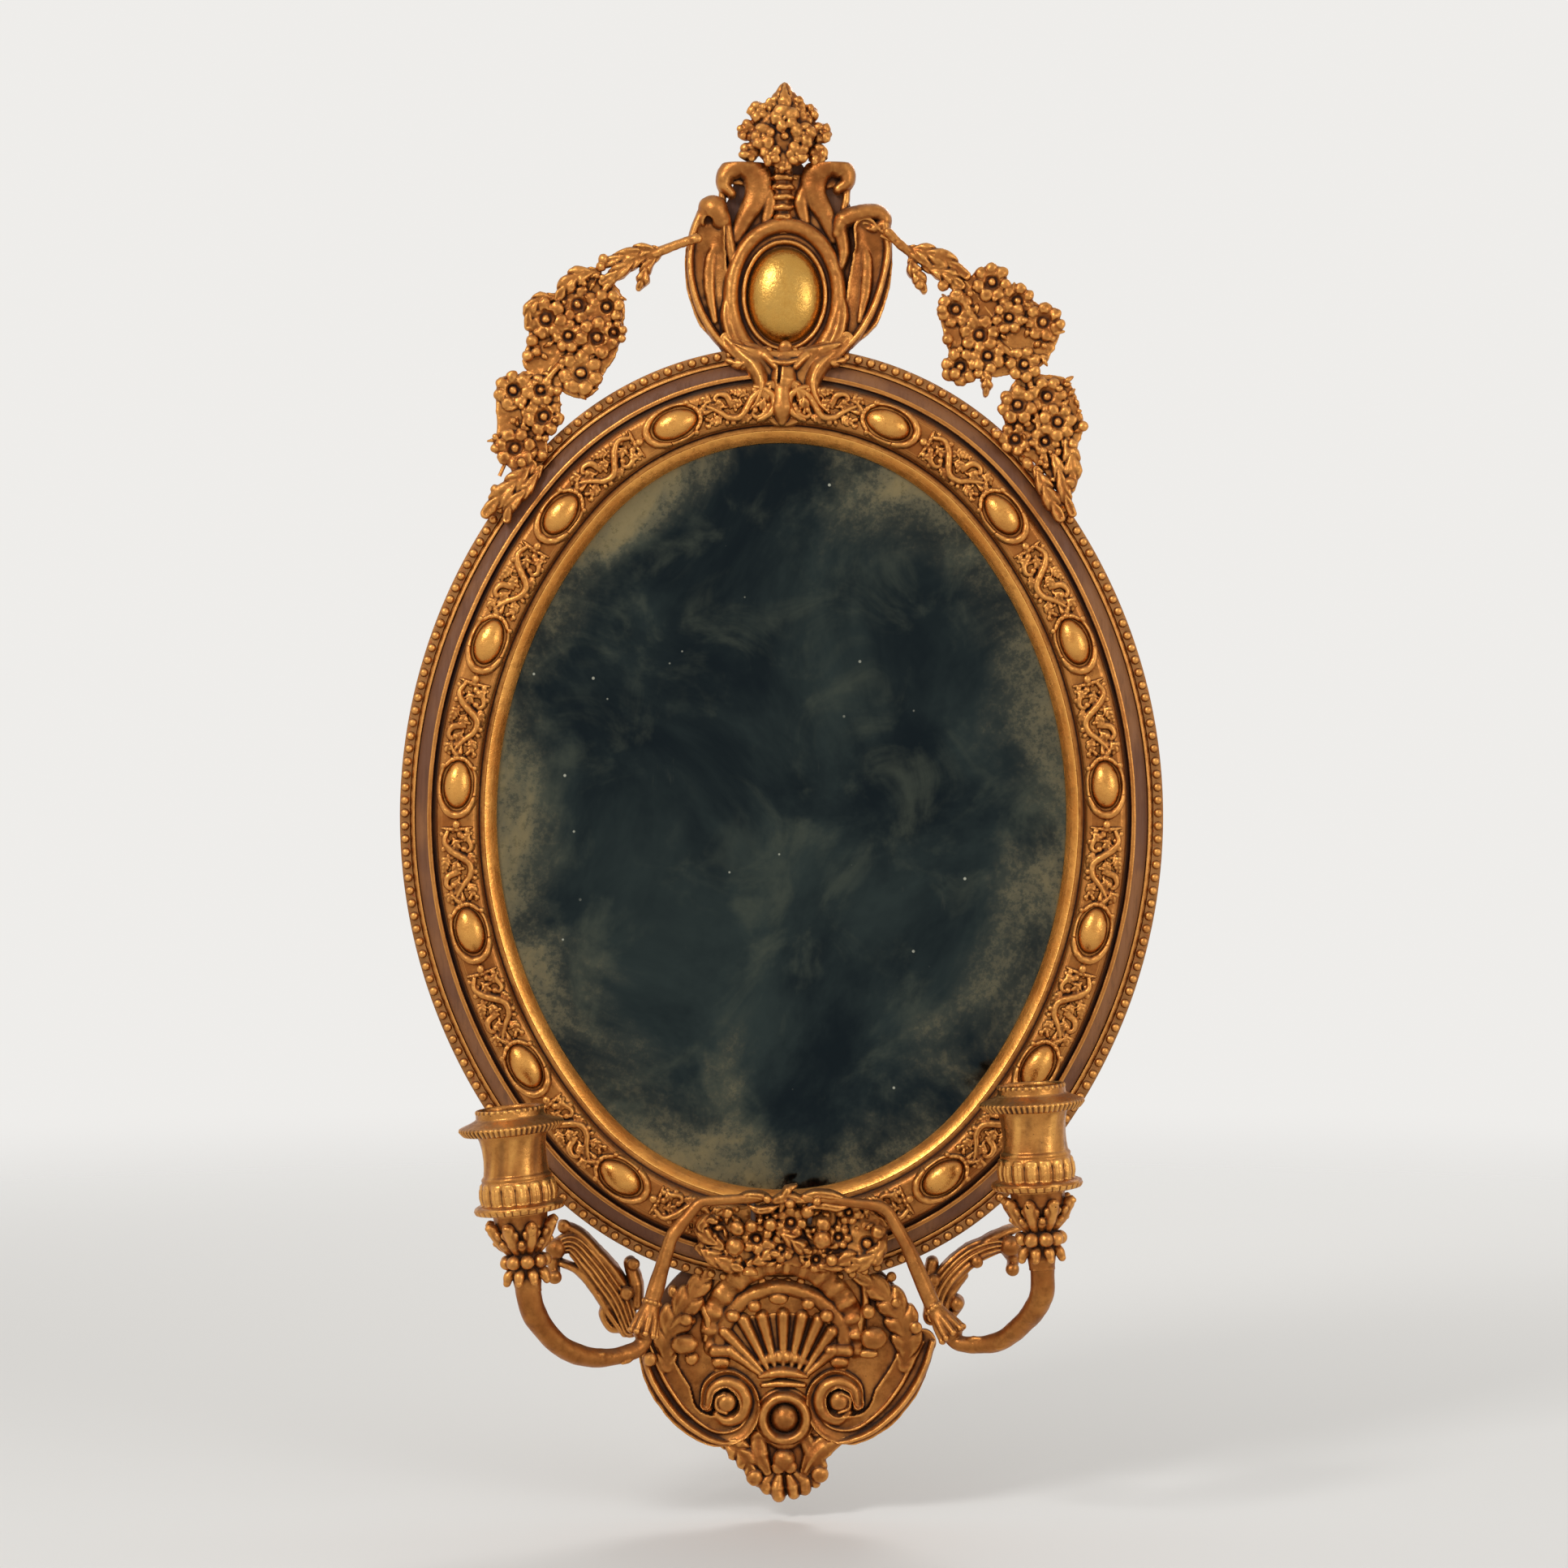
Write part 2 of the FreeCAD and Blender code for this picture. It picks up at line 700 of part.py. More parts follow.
strap_screw_sizes = (size("strap_screw_radius"), size("strap_screw_head_radius"),
                     size("strap_screw_head_rise"), size("strap_screw_length"))
strap_screw = headed("strap_screw", *strap_screw_sizes, 0)
strap_hole = headed("strap_hole", *strap_screw_sizes, size("screw_gap"))
strap_screw_places = [spot * Placement(Vector(0, -float(strap_back), float(size(up))), Rotation())
                      for spot in hanger_spots for up in ("strap_screw_low", "strap_screw_high")]
node("hanger_screws", repeat("strap_screws", strap_screw, strap_screw_places))
strap_holes = repeat("strap_holes", strap_hole, strap_screw_places)
straps = repeat("straps", strap(), hanger_spots)
node("hanger_plates", boolean("Cut", "straps_drilled", straps, strap_holes))
ring = d_ring()
for side, spot in zip(("left", "right"), hanger_spots):
    ring_spot = spot * Placement(Vector(0, -float(ring_height), 0), Rotation())
    node(f"hanger_ring_{side}", repeat(f"ring_{side}", ring, [ring_spot]))

recesses = []
for side, spot in zip((-1, 1), hanger_spots):
    corner = spot * Placement(Vector(-float(size("hanger_recess_width")) / 2, -float(recess),
                                     -float(size("hanger_recess_below"))), Rotation())
    recesses.append(primitive("Box", f"recess_{side}", corner, Length=size("hanger_recess_width"),
                              Width=recess, Height=size("hanger_recess_above") + size("hanger_recess_below")))

# ---------------------------------------------------------------- battens behind crest and apron

batten_half, batten_thickness = size("batten_half_width"), size("batten_thickness")
battens = {}
screw_places = []
SCREW_SPOTS = [(-8, -10), (8, -26), (-8, 22), (8, 60)]  # x, and distance out from the frame's edge
for name, side in (("crest", 1), ("apron", -1)):
    reach = size(f"{name}_batten_reach")
    length = reach + size("batten_on_frame")
    low = min(side * (crest_z - float(size("batten_on_frame"))), side * (crest_z + float(reach)))
    corner = Placement(Vector(-float(batten_half), -float(batten_thickness), low), Rotation())
    battens[name] = primitive("Box", f"{name}_batten_blank", corner, Length=batten_half * 2,
                              Width=batten_thickness, Height=length)
    for x, out in SCREW_SPOTS:
        screw_places.append(Placement(Vector(x, 0, side * (crest_z + out)), Rotation()))
screw = countersunk("screw", 0)
screw_hole = countersunk("screw_hole", size("screw_gap"))
node("batten_screws", repeat("screws", screw, screw_places))
screw_holes = repeat("screw_holes", screw_hole, screw_places)
for name, blank in battens.items():
    node(f"{name}_batten", boolean("Cut", f"{name}_batten_drilled", blank, screw_holes))

# ---------------------------------------------------------------- room that neighbours leave each other

plate_back = batten_thickness
plate_front = plate_back + size("plate_thickness")
carving = size("carving_rise")
low_carving = size("low_carving_rise")
ROOM_REACH = 200


def frame_room(name, z):
    """The space inside the frame's outer edge, at the top or the bottom arc."""
    spot = Placement(Vector(0, ROOM_REACH / 2, z), FACE_FRONT)
    return primitive("Cylinder", name, spot, Radius=end_radius + frame_width, Height=ROOM_REACH)


frame_room_top = frame_room("frame_room_top", float(end_centre))
frame_room_bottom = frame_room("frame_room_bottom", -float(end_centre))


def oval_prism(name, x, z, wide, high, back, thickness):
    """An upright elliptical block; an ellipse's longer radius comes first."""
    rim_line = primitive("Ellipse", f"{name}_line",
                         Placement(Vector(x, -float(back), z), Rotation(SIDEWAYS, 90) * Rotation(UP, 90)),
                         MajorRadius=high, MinorRadius=wide)
    prism = doc.addObject("Part::Extrusion", name)
    prism.Base = rim_line
    prism.DirMode = "Custom"
    prism.Dir = TO_FRONT
    prism.Solid = True
    bind(prism, LengthFwd=thickness)
    return prism


# ---------------------------------------------------------------- crest

arch_x = float(size("crest_axis_x"))
arch_z = crest_z + float(size("arch_lift"))
arch_room = oval_prism("arch_room", arch_x, arch_z, size("arch_half_width"), size("arch_half_height"),
                       plate_front, carving)
around_arch = boolean("MultiFuse", "around_arch", frame_room_top, arch_room)

# outlines of the carved work, as (x, z from the frame's outer edge)
CREST_PLATE = [(-30, -14), (-46, 10), (-55, 35), (-56, 62), (-51, 84), (-41, 88), (-33, 98), (-28, 109),
               (-18, 111), (-8, 120), (-7, 150), (2, 160), (11, 150), (12, 120), (22, 111), (34, 110),
               (42, 98), (50, 84), (61, 82), (63, 60), (58, 35), (49, 10), (36, -14), (3, -24)]
CREST_WING_LEFT = [(-26, -12), (-41, 2), (-50, 18), (-57, 38), (-59, 58), (-56, 78), (-50, 91), (-42, 92),
                   (-37, 83), (-36, 70), (-34, 50), (-30, 20)]
CREST_WING_RIGHT = [(32, -12), (44, 2), (53, 18), (61, 36), (66, 56), (67, 78), (61, 88), (48, 88), (41, 80),
                    (42, 66), (38, 50), (34, 20)]
CREST_SCROLL_LEFT = [(-37, 98), (-37, 108), (-29, 114), (-17, 114), (-10, 106), (-9, 90), (-10, 76),
                     (-22, 68), (-31, 66), (-29, 78), (-27, 92), (-30, 99), (-34, 95)]
CREST_SCROLL_RIGHT = [(43, 97), (43, 108), (35, 114), (22, 114), (14, 106), (12, 90), (14, 76), (26, 68),
                      (35, 66), (33, 78), (32, 92), (36, 99), (40, 94)]
CREST_STEM = [(-4, 78), (-6, 92), (-8, 106), (-6, 120), (-5, 150), (2, 164), (9, 150), (10, 120), (11, 106),
              (9, 92), (8, 78)]
CREST_FOOT = [(-33, -5), (-20, 0), (2, 2), (24, 0), (40, -6), (31, -20), (17, -34), (14, -46), (2, -51),
              (-12, -46), (-14, -34), (-24, -20)]


def on_crest(name, points, back, thickness, room=None):
    blank = carved(f"{name}_blank", points, back, thickness, origin=(0, crest_z))
    return node(name, boolean("Cut", f"{name}_cut", blank, room) if room else blank)


plate_blank = carved("crest_plate_blank", CREST_PLATE, plate_back, size("plate_thickness"),
                     origin=(0, crest_z))
plate_room = boolean("MultiFuse", "crest_plate_room", frame_room_top, screw_holes)
node("crest_backplate", boolean("Cut", "crest_plate_cut", plate_blank, plate_room))
on_crest("crest_wing_left", CREST_WING_LEFT, plate_front, carving, around_arch)
on_crest("crest_wing_right", CREST_WING_RIGHT, plate_front, carving, around_arch)
on_crest("crest_stem", CREST_STEM, plate_front, low_carving, around_arch)
scrolls = []
for side, points in (("left", CREST_SCROLL_LEFT), ("right", CREST_SCROLL_RIGHT)):
    blank = carved(f"crest_scroll_{side}_blank", points, plate_front, low_carving, origin=(0, crest_z))
    scrolls.append(boolean("Cut", f"crest_scroll_{side}", blank, around_arch))
node("crest_scrolls", boolean("Compound", "crest_scroll_pair", *scrolls))
on_crest("crest_foot", CREST_FOOT, band_top, size("foot_rise"))

cabochon_wide, cabochon_high = size("cabochon_half_width"), size("cabochon_half_height")
node("crest_cabochon", dome("cabochon", arch_x, arch_z, plate_front, cabochon_wide, cabochon_high,
                            size("cabochon_rise")))
arch_opening = oval_prism("arch_opening", arch_x, arch_z, cabochon_wide + size("arch_opening_gap"),
                          cabochon_high + size("arch_opening_gap"), plate_front, carving)
arch_gone = boolean("MultiFuse", "arch_gone", frame_room_top, arch_opening)
arch_blank = oval_prism("arch_blank", arch_x, arch_z, size("arch_half_width"), size("arch_half_height"),
                        plate_front, low_carving)
node("crest_cabochon_ring", boolean("Cut", "arch", arch_blank, arch_gone))


def rosette(name, x, z, back, petals, petal_radius, ring_radius, petal_rise, heart_radius, heart_rise):
    """A flower: petals round a heart, fused as they are in the mould."""
    parts = [cap(f"{name}_heart", x, z, back, heart_radius, heart_rise)]
    for number in range(petals):
        angle = 2 * math.pi * number / petals + math.pi / 2
        parts.append(cap(f"{name}_petal_{number}", x + ring_radius * math.cos(angle),
                         z + ring_radius * math.sin(angle), back, petal_radius, petal_rise))
    return boolean("MultiFuse", name, *parts)


stem_front = plate_front + low_carving
flower_z = crest_z + float(size("crest_flower_lift"))
bud_z = crest_z + float(size("crest_bud_lift"))
node("crest_flower", rosette("flower_head", arch_x, flower_z, stem_front, petals=8, petal_radius=9,
                             ring_radius=16, petal_rise=10, heart_radius=12, heart_rise=13))
node("crest_bud", dome("bud", arch_x, bud_z, stem_front, size("bud_half_width"), size("bud_half_height"),
                       size("bud_rise")))

# ---------------------------------------------------------------- wires and tubes

def rounded_path(points, radii):
    """Straight runs joined by tangent arcs; one radius for each inner point."""
    edges = []
    last = points[0]
    for before, corner, after, radius in zip(points, points[1:], points[2:], radii):
        back = (before - corner).normalize()
        ahead = (after - corner).normalize()
        half = back.getAngle(ahead) / 2
        reach = radius / math.tan(half)
        start, end = corner + back * reach, corner + ahead * reach
        bisector = (back + ahead).normalize()
        middle = corner + bisector * (radius / math.sin(half) - radius)
        edges.append(Part.LineSegment(last, start).toShape())
        edges.append(Part.Arc(start, middle, end).toShape())
        last = end
    edges.append(Part.LineSegment(last, points[-1]).toShape())
    return Part.Wire(edges)


def ring_at(path, radius, at_end=False):
    """A circle square to the path at one of its ends."""
    edge = path.OrderedEdges[-1] if at_end else path.OrderedEdges[0]
    where = edge.LastParameter if at_end else edge.FirstParameter
    return Part.Wire(Part.makeCircle(radius, edge.valueAt(where), edge.tangentAt(where)))


def tube(path, start_radius, end_radius=None):
    """A round bar along a path, its radius running from one value to another."""
    sections = [ring_at(path, start_radius)]
    if end_radius is not None and end_radius != start_radius:
        sections.append(ring_at(path, end_radius, at_end=True))
    return path.makePipeShell(sections, True, False)


# ---------------------------------------------------------------- garlands

# places beside the frame's outer edge: (distance along it from the top, distance out from it)
GARLAND_WIRE = {
    -1: [(40, 75.5), (62, 72.5), (85, 66), (115, 46), (140, 33), (166, 20), (188, 13), (203, 9)],
    1: [(47, 77), (66, 73), (92, 67), (116, 53), (140, 38), (164, 22), (186, 13), (200, 8)],
}
# flowers on the wire: (distance along, distance out, radius)
GARLAND_FLOWERS = {
    -1: [(92, 58, 9), (107, 57, 10), (122, 48, 12), (118, 32, 10), (134, 47, 9), (135, 27, 10), (150, 28, 10),
         (165, 29, 10), (179, 30, 8), (164, 13, 10), (149, 15, 8), (182, 12, 9)],
    1: [(90, 52, 9), (101, 50, 10), (109, 60, 10), (122, 48, 12), (137, 56, 9), (122, 31, 9), (141, 35, 11),
        (147, 24, 9), (163, 26, 11), (180, 28, 9), (158, 10, 8), (178, 13, 10)],
}
FLOWER_RISE = 0.85  # of a flower's radius
GARLAND_BEND = 12  # radius of the wire's bends
# leaves near the crest and on the frame: (distance along, distance out, length, half width, turn)
GARLAND_LEAVES = {
    -1: [(73, 60, 34, 8, 30), (221, -2, 42, 9, -8)],
    1: [(76, 60, 36, 9, 35), (219, 0, 46, 10, -8)],
}
LEAF = [(-0.5, 0.0), (-0.3, -0.7), (0.0, -1.0), (0.3, -0.6), (0.5, 0.0), (0.3, 0.6), (0.0, 1.0), (-0.3, 0.7)]

garland_back = size("garland_height")
wire_height = garland_back + size("garland_wire_lift")
wire_radius = float(size("garland_wire_radius"))
SIDE_NAMES = {-1: "left", 1: "right"}


def beside_rim(side, along, out):
    return on_oval(side * along, frame_width, out)


for side, side_name in SIDE_NAMES.items():
    points = [(*beside_rim(side, *point)[:2],) for point in GARLAND_WIRE[side]]
    points = [Vector(x, -float(wire_height), z) for x, z in points]
    path = rounded_path(points, [GARLAND_BEND] * (len(points) - 2))
    wire = solid_feature(f"garland_wire_{side_name}_blank", tube(path, wire_radius))
    wing = nodes[f"crest_wing_{side_name}"]
    node(f"garland_wire_{side_name}", boolean("Cut", f"wire_{side_name}", wire, wing))
    room = solid_feature(f"garland_room_{side_name}", tube(path, wire_radius + float(size("wire_gap"))))
    caps = []
    for number, (along, out, radius) in enumerate(GARLAND_FLOWERS[side]):
        x, z, _ = beside_rim(side, along, out)
        caps.append(cap(f"flower_{side_name}_{number}", x, z, garland_back, radius, FLOWER_RISE * radius))
    flowers = boolean("MultiFuse", f"flowers_{side_name}", *caps)
    node(f"garland_flowers_{side_name}", boolean("Cut", f"flowers_{side_name}_bored", flowers, room))
    leaf_room = boolean("MultiFuse", f"leaf_room_{side_name}", room, flowers)
    leaves = []
    for number, (along, out, length, half, turn) in enumerate(GARLAND_LEAVES[side]):
        x, z, angle = beside_rim(side, along, out)
        outline_points = [(u * length, v * half) for u, v in LEAF]
        leaf = carved(f"leaf_{side_name}_{number}", outline_points, garland_back, size("leaf_rise"),
                      origin=(x, z), turn=angle + side * turn)
        leaves.append(boolean("Cut", f"leaf_{side_name}_{number}_cut", leaf, leaf_room))
    node(f"garland_leaves_{side_name}", boolean("Compound", f"leaves_{side_name}", *leaves))

# ---------------------------------------------------------------- apron

APRON_PLATE = [(-88, -32), (-82, -58), (-69, -76), (-52, -92), (-34, -100), (-22, -112), (-17, -121),
               (-6, -127), (2, -136), (9, -128), (24, -118), (18, -106), (46, -93), (64, -78), (77, -59),
               (88, -34), (80, -10), (60, 12), (0, 22), (-60, 12), (-80, -10)]
APRON_SCROLL_LEFT = [(-93, -28), (-85, -60), (-71, -79), (-54, -94), (-40, -101), (-28, -96), (-19, -84),
                     (-20, -71), (-29, -60), (-41, -61), (-49, -70), (-48, -80), (-58, -78), (-70, -62),
                     (-76, -44), (-80, -24)]
APRON_SCROLL_RIGHT = [(93, -32), (81, -61), (67, -80), (50, -94), (38, -100), (28, -94), (22, -84),
                      (22, -72), (30, -61), (43, -61), (52, -70), (52, -80), (62, -74), (70, -60),
                      (76, -44), (80, -26)]
SIDE_LEAF_LEFT = [(-48, -2), (-58, -6), (-68, -16), (-71, -30), (-66, -44), (-56, -42), (-56, -30),
                  (-60, -22), (-53, -12)]
SIDE_LEAF_RIGHT = [(48, -4), (58, -5), (69, -12), (73, -26), (68, -42), (56, -42), (55, -30), (62, -22),
                   (54, -12)]
APRON_ARCH = [(-46, -14), (-40, -2), (-25, 12), (-8, 18), (12, 16), (28, 8), (42, -6), (49, -22),
              (51, -42), (44, -42), (42, -24), (36, -10), (24, 0), (8, 6), (-8, 6), (-22, 1), (-33, -8),
              (-38, -20)]
APRON_PENDANT = [(-13, -109), (-21, -114), (-23, -122), (-14, -129), (-4, -132), (2, -140), (9, -133),
                 (19, -127), (28, -120), (26, -111), (16, -107), (2, -106)]
LOWER_SCROLL_LEFT = [(-91, -40), (-103, -26), (-118, -12), (-133, -2), (-146, 10), (-154, 22), (-150, 32),
                     (-139, 30), (-128, 38), (-110, 20), (-90, 2), (-80, -20)]
LOWER_SCROLL_RIGHT = [(92, -40), (101, -28), (112, -20), (118, -6), (132, 4), (148, 14), (156, 26), (150, 36),
                      (140, 34), (128, 42), (110, 20), (90, 2), (80, -20)]
shell_x, shell_z = 1.6, apron_z - float(size("shell_drop"))
SHELL_SPREAD = 160  # degrees from the first rib to the last


def on_apron(name, points, back, thickness, room):
    blank = carved(f"{name}_blank", points, back, thickness, origin=(0, apron_z))
    return boolean("Cut", f"{name}_cut", blank, room)


apron_plate_room = boolean("MultiFuse", "apron_plate_room", frame_room_bottom, screw_holes)
plate_item = on_apron("apron_backplate", APRON_PLATE, plate_back, size("plate_thickness"), apron_plate_room)
node("apron_backplate", plate_item)

boss_x, boss_z = 2, apron_z - float(size("boss_drop"))
boss_radius, ball_radius = size("boss_radius"), size("boss_ball_radius")
boss_spot = Placement(Vector(boss_x, -float(plate_front), boss_z), FACE_FRONT)
boss_room = primitive("Cylinder", "boss_room", boss_spot, Radius=boss_radius, Height=carving * 2)
boss_hole = primitive("Cylinder", "boss_hole", boss_spot, Radius=size("boss_opening_radius"),
                      Height=carving * 2)
boss_disc = primitive("Cylinder", "boss_disc", boss_spot, Radius=boss_radius, Height=carving)
boss_ring = boolean("Cut", "boss_ring", boss_disc, boss_hole)
boss_ball = cap("boss_ball", boss_x, boss_z, plate_front, ball_radius, ball_radius)
node("apron_boss", boolean("Compound", "boss", boss_ring, boss_ball))

around_boss = boolean("MultiFuse", "around_boss", frame_room_bottom, boss_room)
scroll_left = on_apron("apron_scroll_left", APRON_SCROLL_LEFT, plate_front, carving, around_boss)
scroll_right = on_apron("apron_scroll_right", APRON_SCROLL_RIGHT, plate_front, carving, around_boss)
node("apron_scroll_left", scroll_left)
node("apron_scroll_right", scroll_right)
node("apron_arch", on_apron("apron_arch", APRON_ARCH, plate_front, low_carving, frame_room_bottom))
node("apron_pendant", on_apron("apron_pendant", APRON_PENDANT, plate_front, low_carving, around_boss))
leaf_neighbours = boolean("MultiFuse", "leaf_neighbours", scroll_left, scroll_right, nodes["apron_arch"])
side_leaves = [on_apron(f"apron_leaf_{side}", points, plate_front, carving, leaf_neighbours)
               for side, points in (("left", SIDE_LEAF_LEFT), ("right", SIDE_LEAF_RIGHT))]
node("apron_side_leaves", boolean("Compound", "apron_leaf_pair", *side_leaves))


def shell():
    """A fan of round ribs spread from the shell's foot."""
    ribs = []
    count = int(float(size("shell_rib_count")))
    foot = Vector(shell_x, -float(plate_front), shell_z)
    for number in range(count):
        angle = SHELL_SPREAD * (number / (count - 1) - 0.5)
        length = size("shell_radius") - float(size("shell_rib_radius"))
        spot = Placement(foot, Rotation(TO_WALL, angle))
        ribs.append(primitive("Cone", f"rib_{number}", spot, Radius1=size("shell_rib_radius") / 2,
                              Radius2=size("shell_rib_radius"), Height=length))
        tip = spot.multVec(Vector(0, 0, float(length)))
        ribs.append(primitive("Sphere", f"rib_tip_{number}", Placement(tip, Rotation()),
                              Radius=size("shell_rib_radius")))
    ribs.append(cap("shell_foot", foot.x, foot.z, plate_front, size("shell_foot_radius"),
                    size("shell_foot_rise")))
    fan = boolean("MultiFuse", "shell_fan", *ribs)
    corner = Vector(-ROOM_REACH, -float(plate_front), apron_z - ROOM_REACH)
    behind = primitive("Box", "shell_behind", Placement(corner, Rotation()), Length=2 * ROOM_REACH,
                       Width=ROOM_REACH, Height=2 * ROOM_REACH)
    return boolean("Cut", "shell_flat", fan, behind)


shell_taken = boolean("MultiFuse", "shell_taken", boss_room, scroll_left, scroll_right,
                      nodes["apron_arch"])
node("apron_shell", boolean("Cut", "shell_cut", shell(), shell_taken))

lower_scrolls = []
for side, points in (("left", LOWER_SCROLL_LEFT), ("right", LOWER_SCROLL_RIGHT)):
    blank = carved(f"lower_scroll_{side}_blank", points, plate_back, size("plate_thickness") + low_carving,
                   origin=(0, apron_z))
    taken = boolean("MultiFuse", f"lower_scroll_{side}_room", frame_room_bottom, nodes["apron_backplate"],
                    scroll_left if side == "left" else scroll_right)
    lower_scrolls.append(boolean("Cut", f"lower_scroll_{side}", blank, taken))
node("lower_scrolls", boolean("Compound", "lower_scroll_pair", *lower_scrolls))

# ---------------------------------------------------------------- candle arms

# centre line of each arm, as (x, height, z from the apron's top); it starts inside the frame
ARM_LINE = {
    -1: [(-18, 49, 60.5), (-52, 50, 58), (-70, 52, 36), (-79, 54, 6), (-90, 61, -33), (-114, 77, -37),
         (-136, 93, -28), (-151, 105, -9), (-156, 110, 6)],
    1: [(18, 49, 60.5), (66, 50, 55), (80, 52, 30), (96, 56, -8), (112, 62, -30), (136, 76, -27),
        (153, 94, -10), (161, 106, 6), (161.5, 110, 20)],
}
# bend radii at the wire's turn out of the frame, and then at each point of the line
ARM_BENDS = {
    -1: [5, 5, 8, 16, 40, 11, 20, 20, 16, 14],
    1: [5, 5, 12, 25, 30, 10, 18, 18, 14, 12],
}
ARM_ROOT_HEIGHT = 46
RUN_COUNT_BEFORE_HUSK = 3  # the husk sits on the next run of the line
HUSK_PLACE = {-1: 0.6, 1: 0.5}  # and this far along it
BAR_START = 0.2  # the composition starts this far along the line's first run
CUP_RISE = 14
root_z = -float(half_height) - float(cove_edge) - 7
LEANS = {-1: float(size("lean_left")), 1: float(size("lean_right"))}

wire_r = size("arm_wire_radius")
wire_hole = float(wire_r + size("arm_wire_gap"))
bar_r, rod_r = float(size("arm_bar_radius")), float(size("arm_rod_radius"))
neck_r, branch_r = float(size("arm_neck_radius")), float(size("arm_branch_radius"))
cup_spots = {}
wire_rooms = []


def arm(side):
    side_name = SIDE_NAMES[side]
    line = [Vector(x, -height, apron_z + z) for x, height, z in ARM_LINE[side]]
    let_in = float(band_top) - float(size("wire_let_in"))
    root = [Vector(line[0].x, -let_in, root_z), Vector(line[0].x, -ARM_ROOT_HEIGHT, root_z)]
    lean = Rotation(TO_WALL, -LEANS[side])
    cup_foot = line[-1] + lean.multVec(UP) * CUP_RISE
    wire_end = cup_foot + lean.multVec(UP) * float(size("collar_length") + size("calyx_length"))
    cup_spots[side] = Placement(cup_foot, lean)

    bends = ARM_BENDS[side]
    whole = rounded_path(root + line + [wire_end], bends)
    node(f"arm_wire_{side_name}", solid_feature(f"arm_wire_{side_name}", tube(whole, float(wire_r))))
    hole = solid_feature(f"arm_wire_hole_{side_name}", tube(whole, wire_hole))
    wire_rooms.append(hole)

    after = RUN_COUNT_BEFORE_HUSK + 1
    low, high = line[RUN_COUNT_BEFORE_HUSK], line[after]
    along = (high - low).normalize()
    middle = low + (high - low) * HUSK_PLACE[side]
    husk_half = float(size("husk_length")) / 2
    husk_start, husk_end = middle - along * husk_half, middle + along * husk_half
    bar_start = line[0] + (line[1] - line[0]) * BAR_START
    rod_path = rounded_path([bar_start] + line[1:after] + [husk_start], bends[2:after + 1])
    branch_path = rounded_path([husk_end] + line[after:] + [cup_foot], bends[after + 1:])
    rod = solid_feature(f"rod_{side_name}_blank", tube(rod_path, bar_r, rod_r))
    branch = solid_feature(f"branch_{side_name}_blank", tube(branch_path, neck_r, branch_r))
    cover = boolean("Compound", f"arm_cover_{side_name}", boolean("Cut", f"rod_{side_name}", rod, hole),
                    boolean("Cut", f"branch_{side_name}", branch, hole))
    node(f"arm_{side_name}", cover)
    length, bulge = size("husk_length"), size("husk_radius")
    husk = turned(f"husk_{side_name}",
                  [(wire_hole, 0), (size("arm_rod_radius"), 0), (bulge, length * 0.35),
                   (bulge, length * 0.7), (size("arm_neck_radius"), length), (wire_hole, length)],
                  Placement(husk_start, Rotation(UP, along)))
    node(f"arm_husk_{side_name}", husk)
    room = tube(rod_path, bar_r + float(seat_gap), rod_r + float(seat_gap))
    return boolean("MultiFuse", f"arm_room_{side_name}", hole, solid_feature(f"rod_room_{side_name}", room))


arm_rooms = [arm(side) for side in SIDE_NAMES]

# flowers above the apron: (x, z from the frame's outer edge, radius)
BASKET = [(-30, 42, 11), (-18, 51, 10), (-4, 46, 12), (10, 52, 10), (24, 45, 12), (40, 48, 11), (53, 40, 9),
          (-16, 36, 10), (2, 33, 10), (20, 32, 9), (38, 35, 9)]
steepness = float(size("basket_rise")) / max(radius for _, _, radius in BASKET)
basket = boolean("MultiFuse", "basket_blank",
                 *[cap(f"basket_flower_{number}", x, apron_z + z, band_top, radius, steepness * radius)
                   for number, (x, z, radius) in enumerate(BASKET)])
arm_space = boolean("MultiFuse", "arm_space", *arm_rooms)
node("apron_flowers", boolean("Cut", "basket", basket, arm_space))

# ---------------------------------------------------------------- candle cups

collar_length, calyx_length = size("collar_length"), size("calyx_length")
flange_base = collar_length + calyx_length
flange_top = flange_base + size("flange_thickness")
gadroon_top = flange_top + size("gadroon_length")
cup_top = gadroon_top + size("cup_length")
pan_bottom = cup_top - size("pan_tube_length")
socket_radius = size("pan_tube_radius") + size("pan_play")
sheet_metal = size("pan_sheet")
collar_r, calyx_r = size("collar_radius"), size("calyx_radius")
wire_end_gap = 1

COLLAR = [(wire_hole, 0), (collar_r - 2, 0), (collar_r - 1, 3), (collar_r - 3, 6.5), (collar_r, 10.5),
          (collar_r - 3, collar_length), (wire_hole, collar_length)]
CALYX = [(wire_hole, collar_length), (collar_r - 3, collar_length), (collar_r, collar_length + 5),
         (calyx_r * 0.72, collar_length + 12), (calyx_r, flange_base), (wire_hole, flange_base)]
NOZZLE = [(0, flange_base + wire_end_gap), (wire_hole, flange_base + wire_end_gap), (wire_hole, flange_base),
          (size("flange_radius") - 2, flange_base),
          (size("flange_radius"), flange_base + 2.5), (size("flange_radius") - 1, flange_top),
          (size("gadroon_radius"), flange_top), (size("gadroon_radius") - 0.5, gadroon_top - 2),
          (size("cup_waist_radius"), gadroon_top + 4), (size("cup_waist_radius"), cup_top - 9),
          (size("cup_radius"), cup_top), (socket_radius, cup_top), (socket_radius, pan_bottom - 1),
          (0, pan_bottom - 1)]
pan_r, pan_collar = size("pan_radius"), size("pan_collar_radius")
